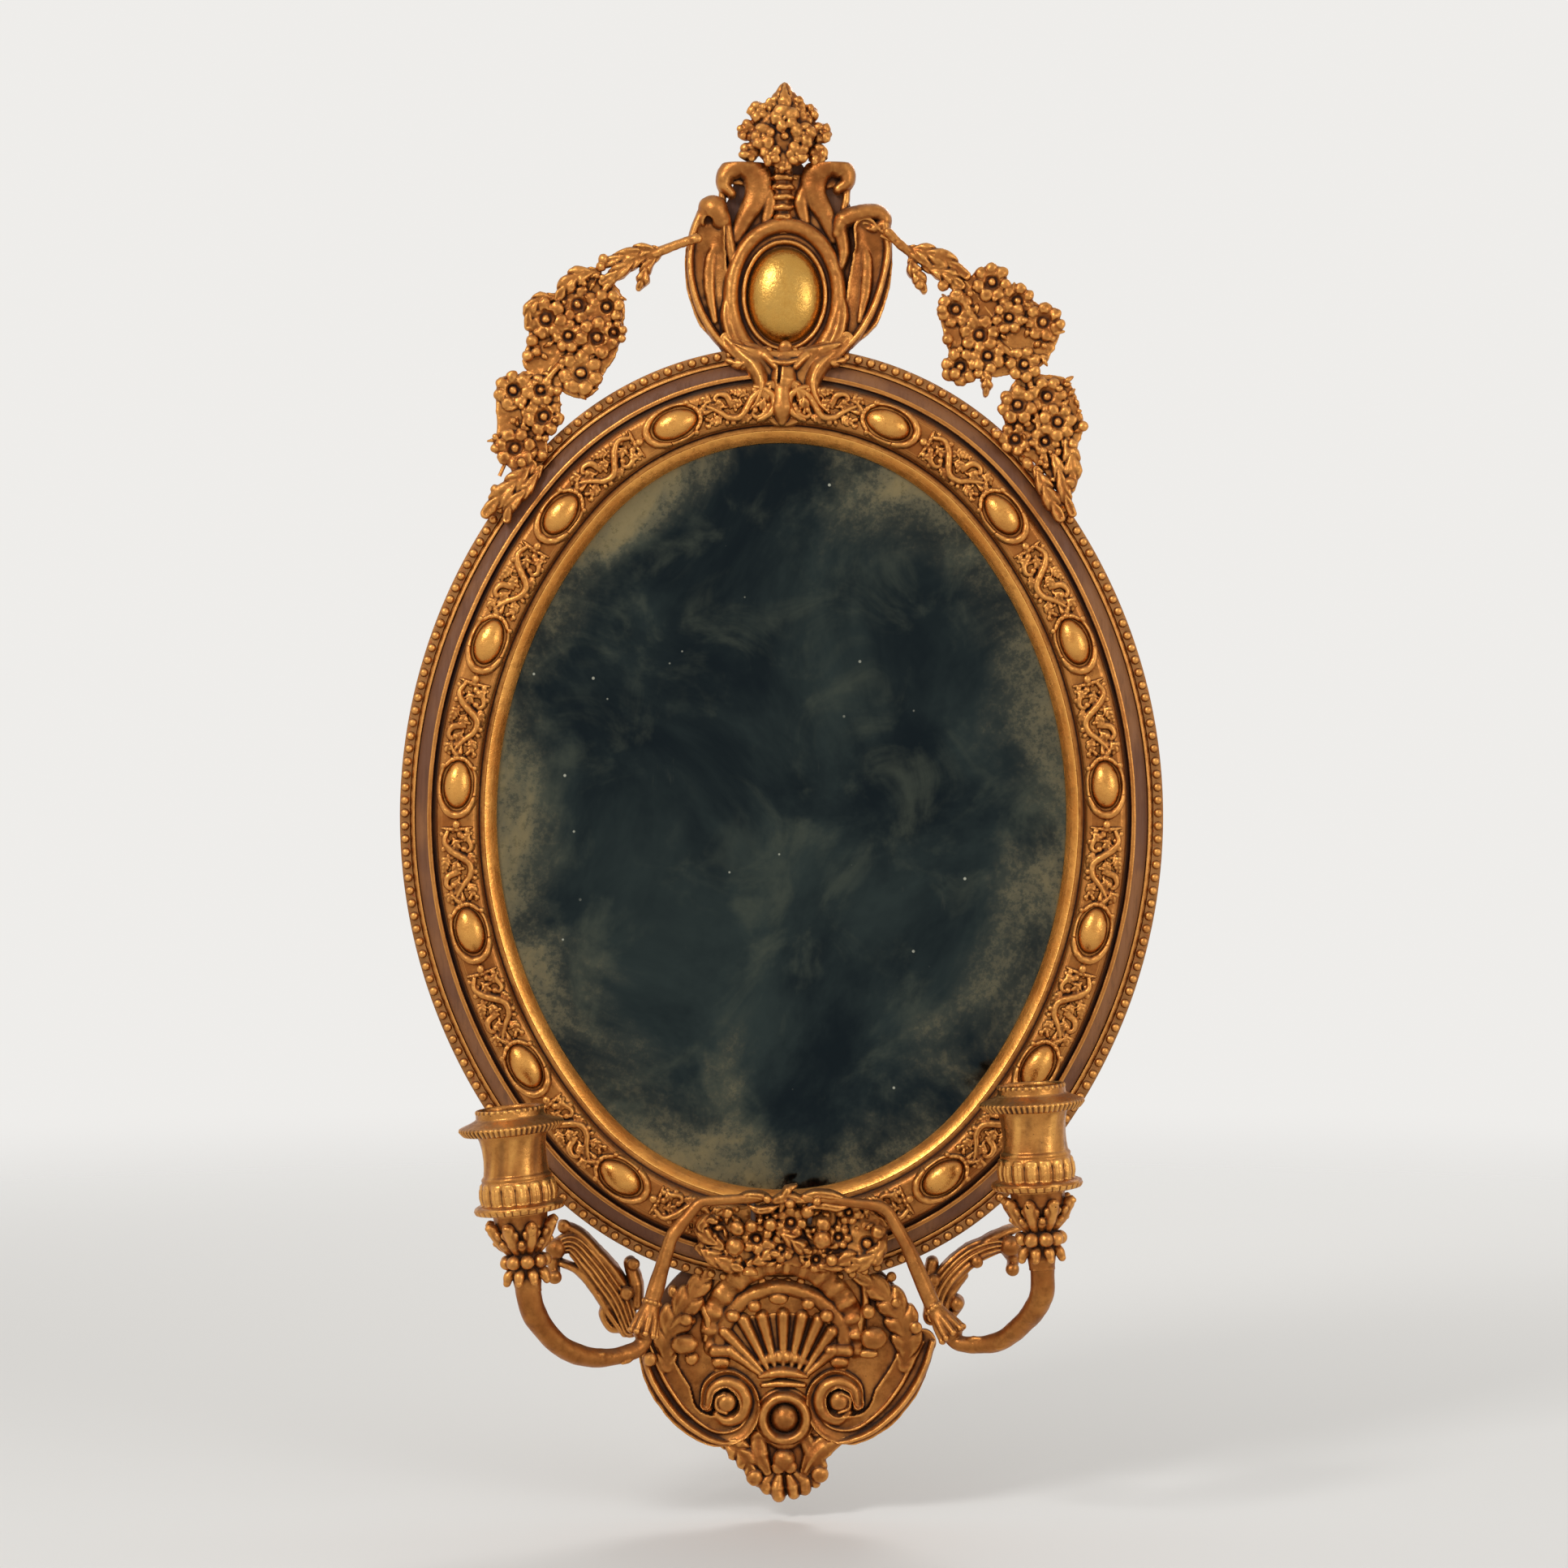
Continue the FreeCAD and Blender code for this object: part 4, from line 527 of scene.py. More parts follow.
def old_frame(name, wash_pale, wash_dark):
    """Bare wood behind, with wash, old bole or thin gilding on what faces forward."""
    look = Look(name)
    figure = look.noise(30, detail=5, stretch=(1, 1, 0.12), distortion=1.2)
    fibre = look.noise(380, detail=4, stretch=(1, 1, 0.08), roughness=0.7)
    wood = look.mixed(look.between(figure, 0.38, 0.62), (0.36, 0.21, 0.10), (0.20, 0.10, 0.045))
    wood = look.mixed(look.between(fibre, 0.45, 0.75, 0, 0.5), wood, (0.07, 0.035, 0.018))
    stain = look.noise(12, detail=4)
    wood = look.mixed(look.between(stain, 0.45, 0.7, 0, 0.6), wood, (0.06, 0.035, 0.02))
    wash = look.mixed(look.between(stain, 0.4, 0.6), wash_pale, wash_dark)
    wash = look.mixed(look.between(fibre, 0.5, 0.75, 0, 0.6), wash, (0.09, 0.04, 0.02))
    edge = look.sum("ADD", look.upward("Y"), look.sum("MULTIPLY", fibre, 0.2))
    base = look.mixed(look.between(edge, 0.55, 0.75), wash, wood)
    look.bump(fibre, 0.4, 0.0006)
    return look.finish(Base_Color=base, Roughness=look.between(fibre, 0.3, 0.7, 0.55, 0.8))


FRAME_WOOD = old_frame("frame_wood", (0.25, 0.095, 0.026), (0.14, 0.047, 0.015))
GROUND_WOOD = old_frame("ground_wood", (0.17, 0.066, 0.020), (0.075, 0.025, 0.010))


def mirror_painted_dark():
    """Silvered glass with a dark reflection painted into its colour, smoky in patches, and an olive haze of
    foxing that creeps in from its edge.
    """
    look = Look("mirror_painted_dark")
    clouds = look.noise(6.5, detail=6, roughness=0.62, distortion=0.5)
    smoke = look.noise(17, detail=5, roughness=0.6, distortion=0.8)
    fine = look.noise(240, detail=4, roughness=0.75)
    scratch = look.noise(60, detail=4, roughness=0.7, stretch=(1, 1, 0.25))
    out = look.node("VectorMath", operation="LENGTH")
    look.join(look.stretched((1 / 0.1835, 0, 1 / 0.2405)), out.inputs[0])
    edge = look.sum("ADD", out.outputs["Value"], look.sum("MULTIPLY", look.sum("SUBTRACT", clouds, 0.5), 1.5))
    # painted reflection: the near-black, cloud-mottled colour stands for dark surroundings seen in the glass
    base = look.mixed(look.between(clouds, 0.36, 0.66), (0.010, 0.015, 0.018), (0.030, 0.042, 0.040))
    base = look.mixed(look.between(look.sum("ADD", smoke, look.sum("MULTIPLY", clouds, 0.5)), 0.72, 1.0, 0,
                                   0.7), base, (0.070, 0.080, 0.060))
    haze = look.between(edge, 0.76, 1.16, 0, 1.0)
    grains = look.between(look.sum("ADD", fine, look.sum("MULTIPLY", haze, 0.20)), 0.50, 0.72)
    haze = look.sum("MULTIPLY", haze, look.sum("ADD", 0.38, look.sum("MULTIPLY", grains, 0.62)))
    base = look.mixed(look.sum("MULTIPLY", haze, 0.85), base, (0.150, 0.122, 0.055))
    rim = look.sum("MULTIPLY", look.between(edge, 1.0, 1.14), look.between(smoke, 0.35, 0.6))
    base = look.mixed(look.sum("MULTIPLY", rim, 0.6), base, (0.24, 0.175, 0.065))
    specks = look.sum("MULTIPLY", look.between(look.cells(46), 0.055, 0.03), look.between(smoke, 0.42, 0.55))
    base = look.mixed(specks, base, (0.42, 0.42, 0.34))
    base = look.mixed(look.between(scratch, 0.66, 0.80, 0, 0.25), base, (0.10, 0.10, 0.08))
    metal = look.sum("SUBTRACT", 1.0, look.sum("MULTIPLY", haze, 0.75), clamp=True)
    rough = look.sum("ADD", look.between(smoke, 0.4, 0.8, 0.05, 0.13), look.sum("MULTIPLY", haze, 0.42))
    return look.finish(Base_Color=base, Roughness=rough, Metallic=metal, IOR=1.52)


MIRROR = mirror_painted_dark()

for node_name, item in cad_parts.items():
    if node_name.startswith("frame_core"):
        wanted = FRAME_WOOD
    elif node_name in ("backboard_planks", "glass_blocks", "crest_batten", "apron_batten"):
        wanted = PINE
    elif node_name in ("backboard_nails", "batten_screws") or node_name.startswith("arm_wire"):
        wanted = IRON
    elif node_name.startswith("hanger"):
        wanted = BRASS
    elif node_name == "mirror_plate":
        wanted = MIRROR
    elif node_name in ("crest_backplate", "apron_backplate"):
        wanted = GROUND_WOOD
    else:
        wanted = GILT
    for place in item.material_slots:
        place.link = "OBJECT"
        place.material = wanted


# ---------------------------------------------------------------- the oval, as in the solid parts

HALF_WIDTH, HALF_HEIGHT, END_HALF = 183.5, 240.5, math.radians(49.3736)
END_CENTRE = (HALF_HEIGHT - HALF_WIDTH) / (math.tan(END_HALF) + 1 - 1 / math.cos(END_HALF))
END_RADIUS = HALF_HEIGHT - END_CENTRE
SIDE_CENTRE = END_CENTRE * math.tan(END_HALF)
SIDE_RADIUS = HALF_WIDTH + SIDE_CENTRE
BAND_MIDDLE, OUTER_EDGE, BEAD_LINE = 24.3, 62.0, 58.7
CREST_Z, APRON_Z = HALF_HEIGHT + OUTER_EDGE, -HALF_HEIGHT - OUTER_EDGE


def on_oval(along, offset, line=BAND_MIDDLE):
    """x, z and outward angle for distances along a line of the frame, clockwise from the top."""
    along, offset = np.broadcast_arrays(np.asarray(along, dtype=float), np.asarray(offset, dtype=float))
    end, side = (END_RADIUS + line) * END_HALF, (SIDE_RADIUS + line) * (math.pi - 2 * END_HALF)
    way = np.abs(along)
    first = way / (END_RADIUS + line)
    second = END_HALF + (way - end) / (SIDE_RADIUS + line)
    third = math.pi - END_HALF + (way - end - side) / (END_RADIUS + line)
    top, middle = way <= end, (way > end) & (way <= end + side)
    angle = np.where(top, first, np.where(middle, second, third))
    reach = np.where(middle, SIDE_RADIUS, END_RADIUS) + offset
    x = np.where(middle, -SIDE_CENTRE, 0) + reach * np.sin(angle)
    z = np.where(top, END_CENTRE, np.where(middle, 0, -END_CENTRE)) + reach * np.cos(angle)
    sign = np.where(along < 0, -1, 1)
    return sign * x, z, sign * angle


def oval_length(line):
    """The way round the oval along one line of the frame."""
    return 4 * ((END_RADIUS + line) * END_HALF + (SIDE_RADIUS + line) * (math.pi / 2 - END_HALF))


def eased(section, ease=0.35):
    """A section with its corners a little rounded, as gesso leaves them."""
    points = np.array(section, dtype=float)
    done = []
    for before, corner, after in zip(np.roll(points, 1, axis=0), points, np.roll(points, -1, axis=0)):
        back, ahead = before - corner, after - corner
        back_length, ahead_length = np.hypot(*back), np.hypot(*ahead)
        back = corner + back / back_length * min(ease, back_length / 3)
        ahead = corner + ahead / ahead_length * min(ease, ahead_length / 3)
        done += [back, 0.25 * back + 0.5 * corner + 0.25 * ahead, ahead]
    return np.array(done)


def arc(centre, radius, start, end, count=9):
    """Points along part of a circle, from one angle in degrees to another."""
    angles = np.radians(np.linspace(start, end, count))
    return [(centre[0] + radius * math.cos(t), centre[1] + radius * math.sin(t)) for t in angles]


def ring_faces(rings, turns):
    """The quads between closed rings of this many points, numbered ring by ring."""
    ring, turn = np.arange(rings)[:, None] * turns, np.arange(turns)[None, :]
    a, b = ring + turn, ring + (turn + 1) % turns
    return np.stack([a, b, b + turns, a + turns], axis=2).reshape(-1, 4)


def share_inside(section, reach):
    """How much of a disc round each point of a closed section lies inside it."""
    ring = [(reach * r * math.cos(t), reach * r * math.sin(t))
            for r in (0.35, 0.7, 1.0) for t in np.linspace(0, 2 * math.pi, 24, endpoint=False)]
    total = np.zeros(len(section))
    for dx, dz in ring:
        total += within(section, section[:, 0] + dx, section[:, 1] + dz)
    return total / len(ring)


def swept(name, section, material, uneven=0.12, seed=1, **options):
    """A moulding run round the whole oval from a closed section of (offset, height)."""
    stations = 1000
    draw = np.random.default_rng(seed)
    whole = oval_length(BAND_MIDDLE)
    along = np.linspace(-whole / 2, whole / 2, stations, endpoint=False)
    crease, hollow = share_inside(section, 0.9), share_inside(section, 4.0)
    wave = np.zeros((stations, len(section)))
    for turns in draw.integers(3, 60, 26):
        wave += (np.sin(turns * 2 * math.pi * along / whole + draw.uniform(0, 6.3))[:, None]
                 * np.cos(section[:, 0] * draw.uniform(0.05, 0.35) + draw.uniform(0, 6.3))[None, :])
    wave *= uneven / 5
    x, z, _ = on_oval(along[:, None], section[None, :, 0])
    height = section[None, :, 1] + wave * (section[None, :, 1] > 16)
    points = np.stack([x, height, z], axis=2).reshape(-1, 3)
    row = np.arange(stations)[:, None] * len(section)
    next_row = (np.arange(stations)[:, None] + 1) % stations * len(section)
    column = np.arange(len(section))[None, :]
    after = (column + 1) % len(section)
    faces = np.stack([row + column, row + after, next_row + after, next_row + column], axis=2).reshape(-1, 4)
    layers = {"crease": np.tile(crease, stations), "hollow": np.tile(hollow, stations)}
    return shown(name, points, faces, material, layers=layers, **options)


SKIN = 0.25  # of gesso and leaf over the solid wood
FRONT = ([(7.0, 20.0), (7.3, 21.5 + SKIN), (11.3 - SKIN, 21.5 + SKIN)] + arc((15.8, 28.5), 4.5 + SKIN, 180,
        90) + [(24.3, 33.0 + SKIN + 0.15)] + arc((32.8, 28.5), 4.5 + SKIN, 90, 0) + [(41.0, 25.0 + SKIN),
        (41.0, 27.5 + SKIN * 0.6), (42.3, 27.5 + SKIN * 1.6), (43.7, 27.5 + SKIN * 0.6)])
SCOTIA = arc((56.0, 32.0), 12.9, 200, 253, 12)
FRONT += [(o, h) for o, h in SCOTIA if 43.9 < o < 52.2] + [(52.4 - SKIN, 19.5 + SKIN),
        (52.4 - SKIN, 23.0 + SKIN)]
FRONT += [(53.4, 23.2), (54.6, 22.4), (55.4, 21.4), (55.5, 19.8), (50.0, 17.0), (41.0, 17.0), (24.0, 17.0),
          (9.0, 17.0)]
swept("frame_moulding", eased(FRONT), GILT, uneven=0.14, seed=4)
SLIP = [(0.0, 15.05), (0.0, 17.5)] + [(7.3 * t, 17.5 + 7.0 * t + 1.1 * math.sin(math.pi * t)) for t in
                                      np.linspace(0.06, 0.94, 9)] + [(7.3, 24.5), (7.3, 15.05)]
swept("sight_edge", eased(SLIP, 0.3), BRIGHT_GILT, uneven=0.10, seed=9, replaced=["sight_moulding"])


def bead_row():
    """Half-round beads on their strip, each a little different."""
    draw = np.random.default_rng(7)
    whole = oval_length(BEAD_LINE)
    count = round(whole / 8.3)
    rings, turns = 7, 14
    points, faces, crease, hollow = [], [], [], []
    for number in range(count):
        x, z, _ = on_oval((number + 0.5) * whole / count - whole / 2, BEAD_LINE, line=BEAD_LINE)
        radius = 3.1 * draw.uniform(0.93, 1.0)
        spread_x, spread_z = draw.uniform(-0.12, 0.12, 2)
        start = len(points)
        for ring in range(rings + 1):
            lift = math.pi / 2 * ring / rings
            wide = radius * math.cos(lift) ** 0.8
            for turn in range(turns if ring < rings else 1):
                angle = 2 * math.pi * turn / turns
                points.append((x + spread_x + wide * math.cos(angle), 21.6 + radius * math.sin(lift),
                               z + spread_z + wide * math.sin(angle)))
                crease.append(0.62 - 0.24 * math.sin(lift))
                hollow.append(0.75 - 0.40 * math.sin(lift))
        for ring in range(rings - 1):
            for turn in range(turns):
                a, b = start + ring * turns + turn, start + ring * turns + (turn + 1) % turns
                faces.append((a, b, b + turns, a + turns))
        top = start + rings * turns
        for turn in range(turns):
            a, b = top - turns + turn, top - turns + (turn + 1) % turns
            faces.append((a, b, top))
        faces.append(tuple(start + turn for turn in reversed(range(turns))))
    return points, faces, crease, hollow


points, faces, crease, hollow = bead_row()
shown("bead_row", points, faces, GILT, layers={"crease": crease, "hollow": hollow},
      replaced=["outer_beading"])
# the strip's darker gilt paints the shade in the gaps between the beads
strip = eased([(55.5, 20.8), (55.5, 22.0), (61.9, 22.0), (61.9, 20.8)], 0.3)
swept("bead_strip", strip, DULL_SHADED_GILT, uneven=0.03, seed=12)

# ---------------------------------------------------------------- ornament on the band

EGG_FIRST, EGG_PITCH, EGGS = 71.0, 94.0, 7  # along one side of the band, from its top
# half the band's flat top, the radius of its round shoulders and the height that they spring from
BAND_FLAT, BAND_SHOULDER, BAND_SPRING = 8.5, 4.5, 28.5


def band_height(out):
    """Height of the band's surface at a distance from its middle."""
    past = np.clip(np.abs(out) - BAND_FLAT, 0, BAND_SHOULDER)
    return BAND_SPRING + SKIN + np.sqrt(np.maximum(BAND_SHOULDER ** 2 - past ** 2, 0))


def onto_band(places, start, way):
    """Bend ornament modelled flat, its length along x and its height from 0, onto the band."""
    along = start + way * places[:, 0]
    x, z, _ = on_oval(along, BAND_MIDDLE + places[:, 2])
    return np.stack([x, band_height(places[:, 2]) + places[:, 1], z], axis=1)


def vine_unit(seed):
    """From one cabochon's middle to the next's: rim, tie, S-shaped vine with leaves and the next rim."""
    clay = Clay((-24, -1.5, -13.2), (112, 8.5, 13.2), cell=0.6)
    draw = np.random.default_rng(seed)
    for middle in (0.0, EGG_PITCH):
        rim = [(middle + 18.6 * math.cos(t), 12.0 * math.sin(t)) for t in np.linspace(-2.5, 2.5, 16)]
        clay.stroke(rim, [1.2, 1.5, 1.9, 2.6, 3.0, 2.6, 1.9, 1.5, 1.2],
                    [3.6, 4.2, 5.0, 5.6, 5.6, 5.0, 4.2, 3.6], -1, crown=0.55, ripple=9, ripple_depth=0.45)
        back = [(middle + 18.2 * math.cos(t), 11.6 * math.sin(t)) for t in np.linspace(2.3, 4.0, 8)]
        clay.stroke(back, [1.5, 2.0, 2.0, 1.5], 3.8, -1, crown=0.6, ripple=6, ripple_depth=0.5)
        for side in (-1, 1):
            clay.ball((middle - 12.5, 3.0, side * 10.4), 2.0)
        for step in (-1, 0, 1):
            clay.stroke([(middle - 21.5, step * 4.2), (middle - 26.5 + abs(step) * 1.6, step * 6.5)],
                        [1.9, 1.5, 0.6], [4.2, 3.2], -1, crown=0.7)
    # tie under the lip
    clay.stroke([(26.6, -9.5), (27.6, 0), (26.6, 9.5)], [1.2, 2.0, 1.2], [3.2, 4.6, 3.2], -1, crown=0.6,
                ripple=5, ripple_depth=0.7)
    clay.ball((24.6, 3.2, 0), (3.0, 2.2, 2.4))
    # the vine
    vine = [(29, 6.0), (35, 8.0), (41, 4.0), (46, -3.0), (51, -7.5), (58, -6.5), (64, -1.0), (70, 3.5)]
    clay.stroke(vine, [1.8, 2.3, 2.8, 3.0, 2.8, 2.6, 2.3, 1.6], [3.6, 4.4, 5.0, 5.4, 5.0, 4.6, 4.2, 3.4], -1,
                crown=0.7)
    curls = [[(31, -2), (35, -7.5), (39.5, -9), (42, -6.5), (40.5, -4.2)],
             [(55, 2), (57, 7.5), (61.5, 9.3), (64.5, 7.0), (62.5, 4.6)]]
    for curl in curls:
        clay.stroke(curl, [2.7, 2.6, 2.2, 1.8, 1.5], [3.4, 4.4, 4.4, 4.0, 4.6], -1, crown=0.65)
        clay.ball((curl[-1][0], 3.4, curl[-1][1]), 2.0)
    leaves = [([(33, 2.5), (37.5, 0.5), (43, 0.5)], 2.6, 3),
              ([(44, 5.5), (49.5, 8.6), (54.5, 8.8)], 2.8, 4),
              ([(47, 0.5), (52, 1.6), (56.5, -0.8)], 2.8, 4),
              ([(43, -6.0), (47, -9.6), (53, -10.9)], 2.2, 4),
              ([(62, -5.0), (67.5, -6.6), (72.5, -4.4)], 3.0, 4),
              ([(66, 5.5), (70.5, 8.2), (74.5, 6.6)], 2.6, 3),
              ([(30, -9.5), (33.5, -5.0), (36, -2.2)], 2.2, 3),
              ([(58.5, 0.5), (63, 2.6), (67.0, 0.6)], 2.3, 3)]
    for line, width, lobes in leaves:
        clay.stroke(line, [1.1, width * 1.4, width * 1.15, 0.7], [3.2, 4.6, 4.0, 2.6], -1, crown=0.45,
                    lobes=lobes, lobe=0.3, rib=-0.8, edge=0.8)
    for x, out in ((30.0, 9.8), (39.6, 9.0), (49.0, -4.0), (60.0, -9.6), (71.5, 0.2), (72.5, -9.0),
                   (36.0, -10.9), (55.8, -10.6), (68.2, 10.6), (45.8, 9.6), (28.8, -6.6), (74.0, 2.8)):
        clay.ball((x, 2.0 + draw.uniform(-0.3, 0.5), out), 1.75 + draw.uniform(-0.2, 0.4))
    # small ground leaves and seeds that fill what is left
    for number in range(46):
        x, out = draw.uniform(26, 74), draw.uniform(-11.5, 11.5)
        turn, length = draw.uniform(0, 3.14), draw.uniform(2.2, 4.2)
        way = (length * math.cos(turn), length * math.sin(turn))
        clay.rod([(x - way[0] / 2, 0.4, out - way[1] / 2), (x, 1.5, out),
                  (x + way[0] / 2, 0.5, out + way[1] / 2)], [0.5, 1.25, 0.4], blend=0.4)
    # what belongs to the neighbouring unit is cut off where the two meet
    x = clay.axes[0][:, None, None]
    clay.field = np.maximum(clay.field, np.maximum(6.0 - x, x - 6.0 - EGG_PITCH)).astype(np.float32)
    clay.rough(0.16, 2.3, seed)
    return clay


def ornament_on_band():
    """The vine, one unit of it bent again and again along each side of the band."""
    flat_edge = -0.9
    clay = vine_unit(3)
    clay.clip_below(flat_edge)
    # the band itself lies under it, so the cells below its surface count as filled
    flat, quads, crease, hollow = clay.surface(filled_below=0)
    keep = flat[quads][:, :, 1].max(axis=1) > flat_edge + 0.3
    quads = quads[keep]
    used = np.unique(quads)
    renumber = np.zeros(len(flat), dtype=int)
    renumber[used] = np.arange(len(used))
    flat, quads, crease, hollow = flat[used], renumber[quads], crease[used], hollow[used]
    for side, side_name in ((1, "right"), (-1, "left")):
        points, faces = [], []
        for number in range(-1, EGGS):
            start = side * (EGG_FIRST + EGG_PITCH * number)
            bent = onto_band(flat, start, side)
            faces.append((quads if side > 0 else quads[:, ::-1]) + len(flat) * len(points))
            points.append(bent)
        times = len(points)
        shown(f"band_vine_{side_name}", np.vstack(points), np.vstack(faces), GILT,
              layers={"crease": np.tile(crease, times), "hollow": np.tile(hollow, times)},
              replaced=["vine_ornament", "egg_rims"] if side > 0 else ["vine_ornament"])


def eggs_on_band():
    """Fourteen oval cabochons, seven up each side of the band."""
    draw = np.random.default_rng(5)
    rings, turns = 22, 44
    unit = []
    for ring in range(rings + 1):
        lift = math.pi / 2 * ring / rings
        for turn in range(turns):
            angle = 2 * math.pi * turn / turns
            unit.append((math.cos(lift) ** 0.9 * math.cos(angle), math.sin(lift),
                         math.cos(lift) ** 0.9 * math.sin(angle)))
    unit, faces = np.array(unit), ring_faces(rings, turns)
    points, all_faces, crease, hollow = [], [], [], []
    for side in (-1, 1):
        for number in range(EGGS):
            along = EGG_FIRST + EGG_PITCH * number
            size = np.array([15.5, 7.9, 9.4]) * draw.uniform(0.97, 1.0, 3)
            flat = unit * size
            flat[:, 0] *= 1 - 0.06 * flat[:, 0] / size[0]
            bent = onto_band(np.stack([flat[:, 0], flat[:, 1] - 0.4, flat[:, 2]], axis=1), side * along, side)
            all_faces.append((faces if side > 0 else faces[:, ::-1]) + len(unit) * len(points))
            points.append(bent)
            crease.append(0.60 - 0.17 * unit[:, 1] ** 0.5)
            hollow.append(0.80 - 0.42 * unit[:, 1] ** 0.6)
    shown("band_eggs", np.vstack(points), np.vstack(all_faces), EGG_GILT,
          layers={"crease": np.concatenate(crease), "hollow": np.concatenate(hollow)},
          replaced=["egg_cabochons"])


ornament_on_band()
eggs_on_band()


# ---------------------------------------------------------------- crest

FLAT = 15.0  # height of the carvings' flat backs, just inside the plates' front at 16


def crest_body():
    """Two dished wings with rolled tops, two inner crooks and the arch round the cabochon."""
    clay = Clay((-62, 12, -16), (70, 35, 116), cell=0.62)
    clay.slab([(-33.3, -5.5), (-44.5, 9.3), (-54.8, 27.2), (-59.2, 45.9), (-58.6, 64.7), (-54.2, 78.7),
               (-45.8, 86.5), (-35.2, 78.7), (-26.8, 74.0), (-22.1, 86.5), (-22.7, 102.1), (-33.3, 105.2),
               (-33.3, 113.0), (-22.4, 119.2), (-9.9, 111.4), (2.6, 111.4), (15.0, 111.4), (24.4, 119.2),
               (38.4, 114.6), (40.0, 103.6), (28.3, 100.5), (27.8, 86.5), (35.3, 74.0), (47.8, 80.2),
               (63.4, 81.8), (68.8, 72.5), (68.4, 58.4), (64.1, 39.7), (58.7, 22.6), (48.6, 5.4),
               (38.4, -5.5), (24.4, -11.7), (-19.3, -11.7)], 19.5, FLAT, edge=1.6)
    # left wing: a dished field, a raised outer edge and a rolled top
    clay.stroke([(-31.0, -0.8), (-42.3, 17.9), (-47.7, 39.7), (-48.6, 60.0), (-43.9, 78.7)],
                [4.1, 11.5, 13.7, 13.1, 8.1], [20.5, 20.5, 20.5, 21.5, 24], 16, crown=-1.0, edge=1.6)
    clay.stroke([(-43.0, 16.3), (-46.4, 36.6), (-45.8, 55.3), (-40.2, 70.9)], [2.8, 4.1, 4.4, 2.8],
                [22.5, 23.2, 23.4, 22.5], 19, crown=0.9, edge=1.4)
    clay.stroke([(-31.0, -4.7), (-43.0, 6.7), (-53.6, 25.7), (-58.6, 47.2), (-57.6, 67.8), (-52.6, 81.8),
                 (-46.4, 89.6)], [3.1, 3.0, 2.7, 2.5, 2.7, 3.4, 5.3], [27, 28, 28, 28, 28, 28.5, 29], 18.5,
                crown=0.7)
    clay.rod([(-46.4, 23.4, 88.6), (-43.0, 24.6, 87.4), (-38.6, 23.6, 80.5)], [7.2, 8.4, 6.2])
    clay.rod([(-51.0, 24.5, 80.0), (-47.0, 25.0, 87.0)], [3.8, 5.6])
    clay.ball((-46.8, 27.5, 78.5), (3.0, 4.0, 4.4), blend=0.8, taken=True)
    clay.stroke([(-35.2, 78.7), (-33.3, 64.7), (-29.9, 49.1), (-31.1, 33.5)], [3.1, 4.1, 3.4, 2.2],
                [26.5, 26, 25, 23], 18.5, crown=0.7)
    # right wing, its top rolled outward
    clay.stroke([(38.4, -0.1), (50.6, 17.9), (56.3, 39.7), (58.4, 60.0), (54.0, 74.0)],
                [4.1, 11.5, 13.7, 12.5, 7.8], [20.5, 20.5, 20.5, 21.5, 24], 16, crown=-1.0, edge=1.6)
    clay.stroke([(50.6, 16.3), (54.3, 36.6), (54.9, 55.3), (51.2, 69.3)], [2.8, 4.1, 4.4, 2.8],
                [22.5, 23.2, 23.4, 22.5], 19, crown=0.9, edge=1.4)
    clay.stroke([(37.6, -3.9), (48.1, 5.4), (58.7, 23.3), (65.2, 42.8), (68.4, 61.8), (66.2, 77.1)],
                [3.1, 3.0, 2.7, 2.5, 2.8, 4.1], [27, 28, 28, 28, 28, 28.5], 18.5, crown=0.7)
    clay.stroke([(36.9, 72.5), (40.0, 80.6), (50.9, 84.6), (61.8, 85.2), (66.2, 79.9), (60.2, 75.3),
                 (53.1, 77.8)], [5.3, 6.5, 6.5, 5.9, 5.0, 4.1, 2.8], [27, 29, 29.5, 29, 28, 27.5, 27], 18,
                crown=0.85)
    clay.stroke([(37.8, 74.0), (40.0, 60.0), (36.1, 45.9)], [5.3, 4.1, 2.5], [27, 26, 24], 18.5, crown=0.75)
    clay.ball((54.0, 28.5, 76.0), (4.4, 3.6, 2.4), blend=0.8, taken=True)
    # inner crooks, rolled outward
    clay.stroke([(-29.9, 69.0), (-22.7, 84.1), (-15.5, 98.0), (-16.5, 110.8), (-25.5, 115.8),
                 (-34.6, 111.4), (-36.7, 103.3), (-32.4, 98.0)], [4.4, 6.2, 8.7, 9.4, 7.8, 6.5, 5.0, 3.4],
                [23, 25, 26, 28, 29, 28.5, 27.5, 26.5], 18, crown=0.75)
    clay.stroke([(-37.7, 103.3), (-38.0, 92.7), (-35.2, 81.8)], [2.2, 2.5, 2.2], [23, 23, 22], 18, crown=0.6)
    clay.stroke([(-9.9, 80.2), (-7.4, 92.7), (-10.2, 103.6)], [3.4, 4.7, 3.1], [23, 24, 24], 18, crown=0.7)
    clay.stroke([(34.1, 69.6), (28.1, 84.6), (21.0, 98.6), (22.8, 111.1), (31.9, 116.1), (40.9, 111.7),
                 (41.8, 105.2), (36.2, 100.5)], [4.4, 5.9, 8.4, 9.0, 7.8, 6.5, 5.0, 3.4],
                [23, 25, 26, 28, 29, 28.5, 27.5, 26.5], 18, crown=0.75)
    clay.stroke([(41.8, 105.2), (41.2, 92.7), (37.2, 80.2)], [2.5, 2.5, 1.9], [23, 23, 22], 18, crown=0.6)
    clay.stroke([(15.0, 80.2), (12.8, 92.7), (15.3, 103.6)], [3.4, 5.0, 3.1], [23, 24.5, 24], 18, crown=0.7)
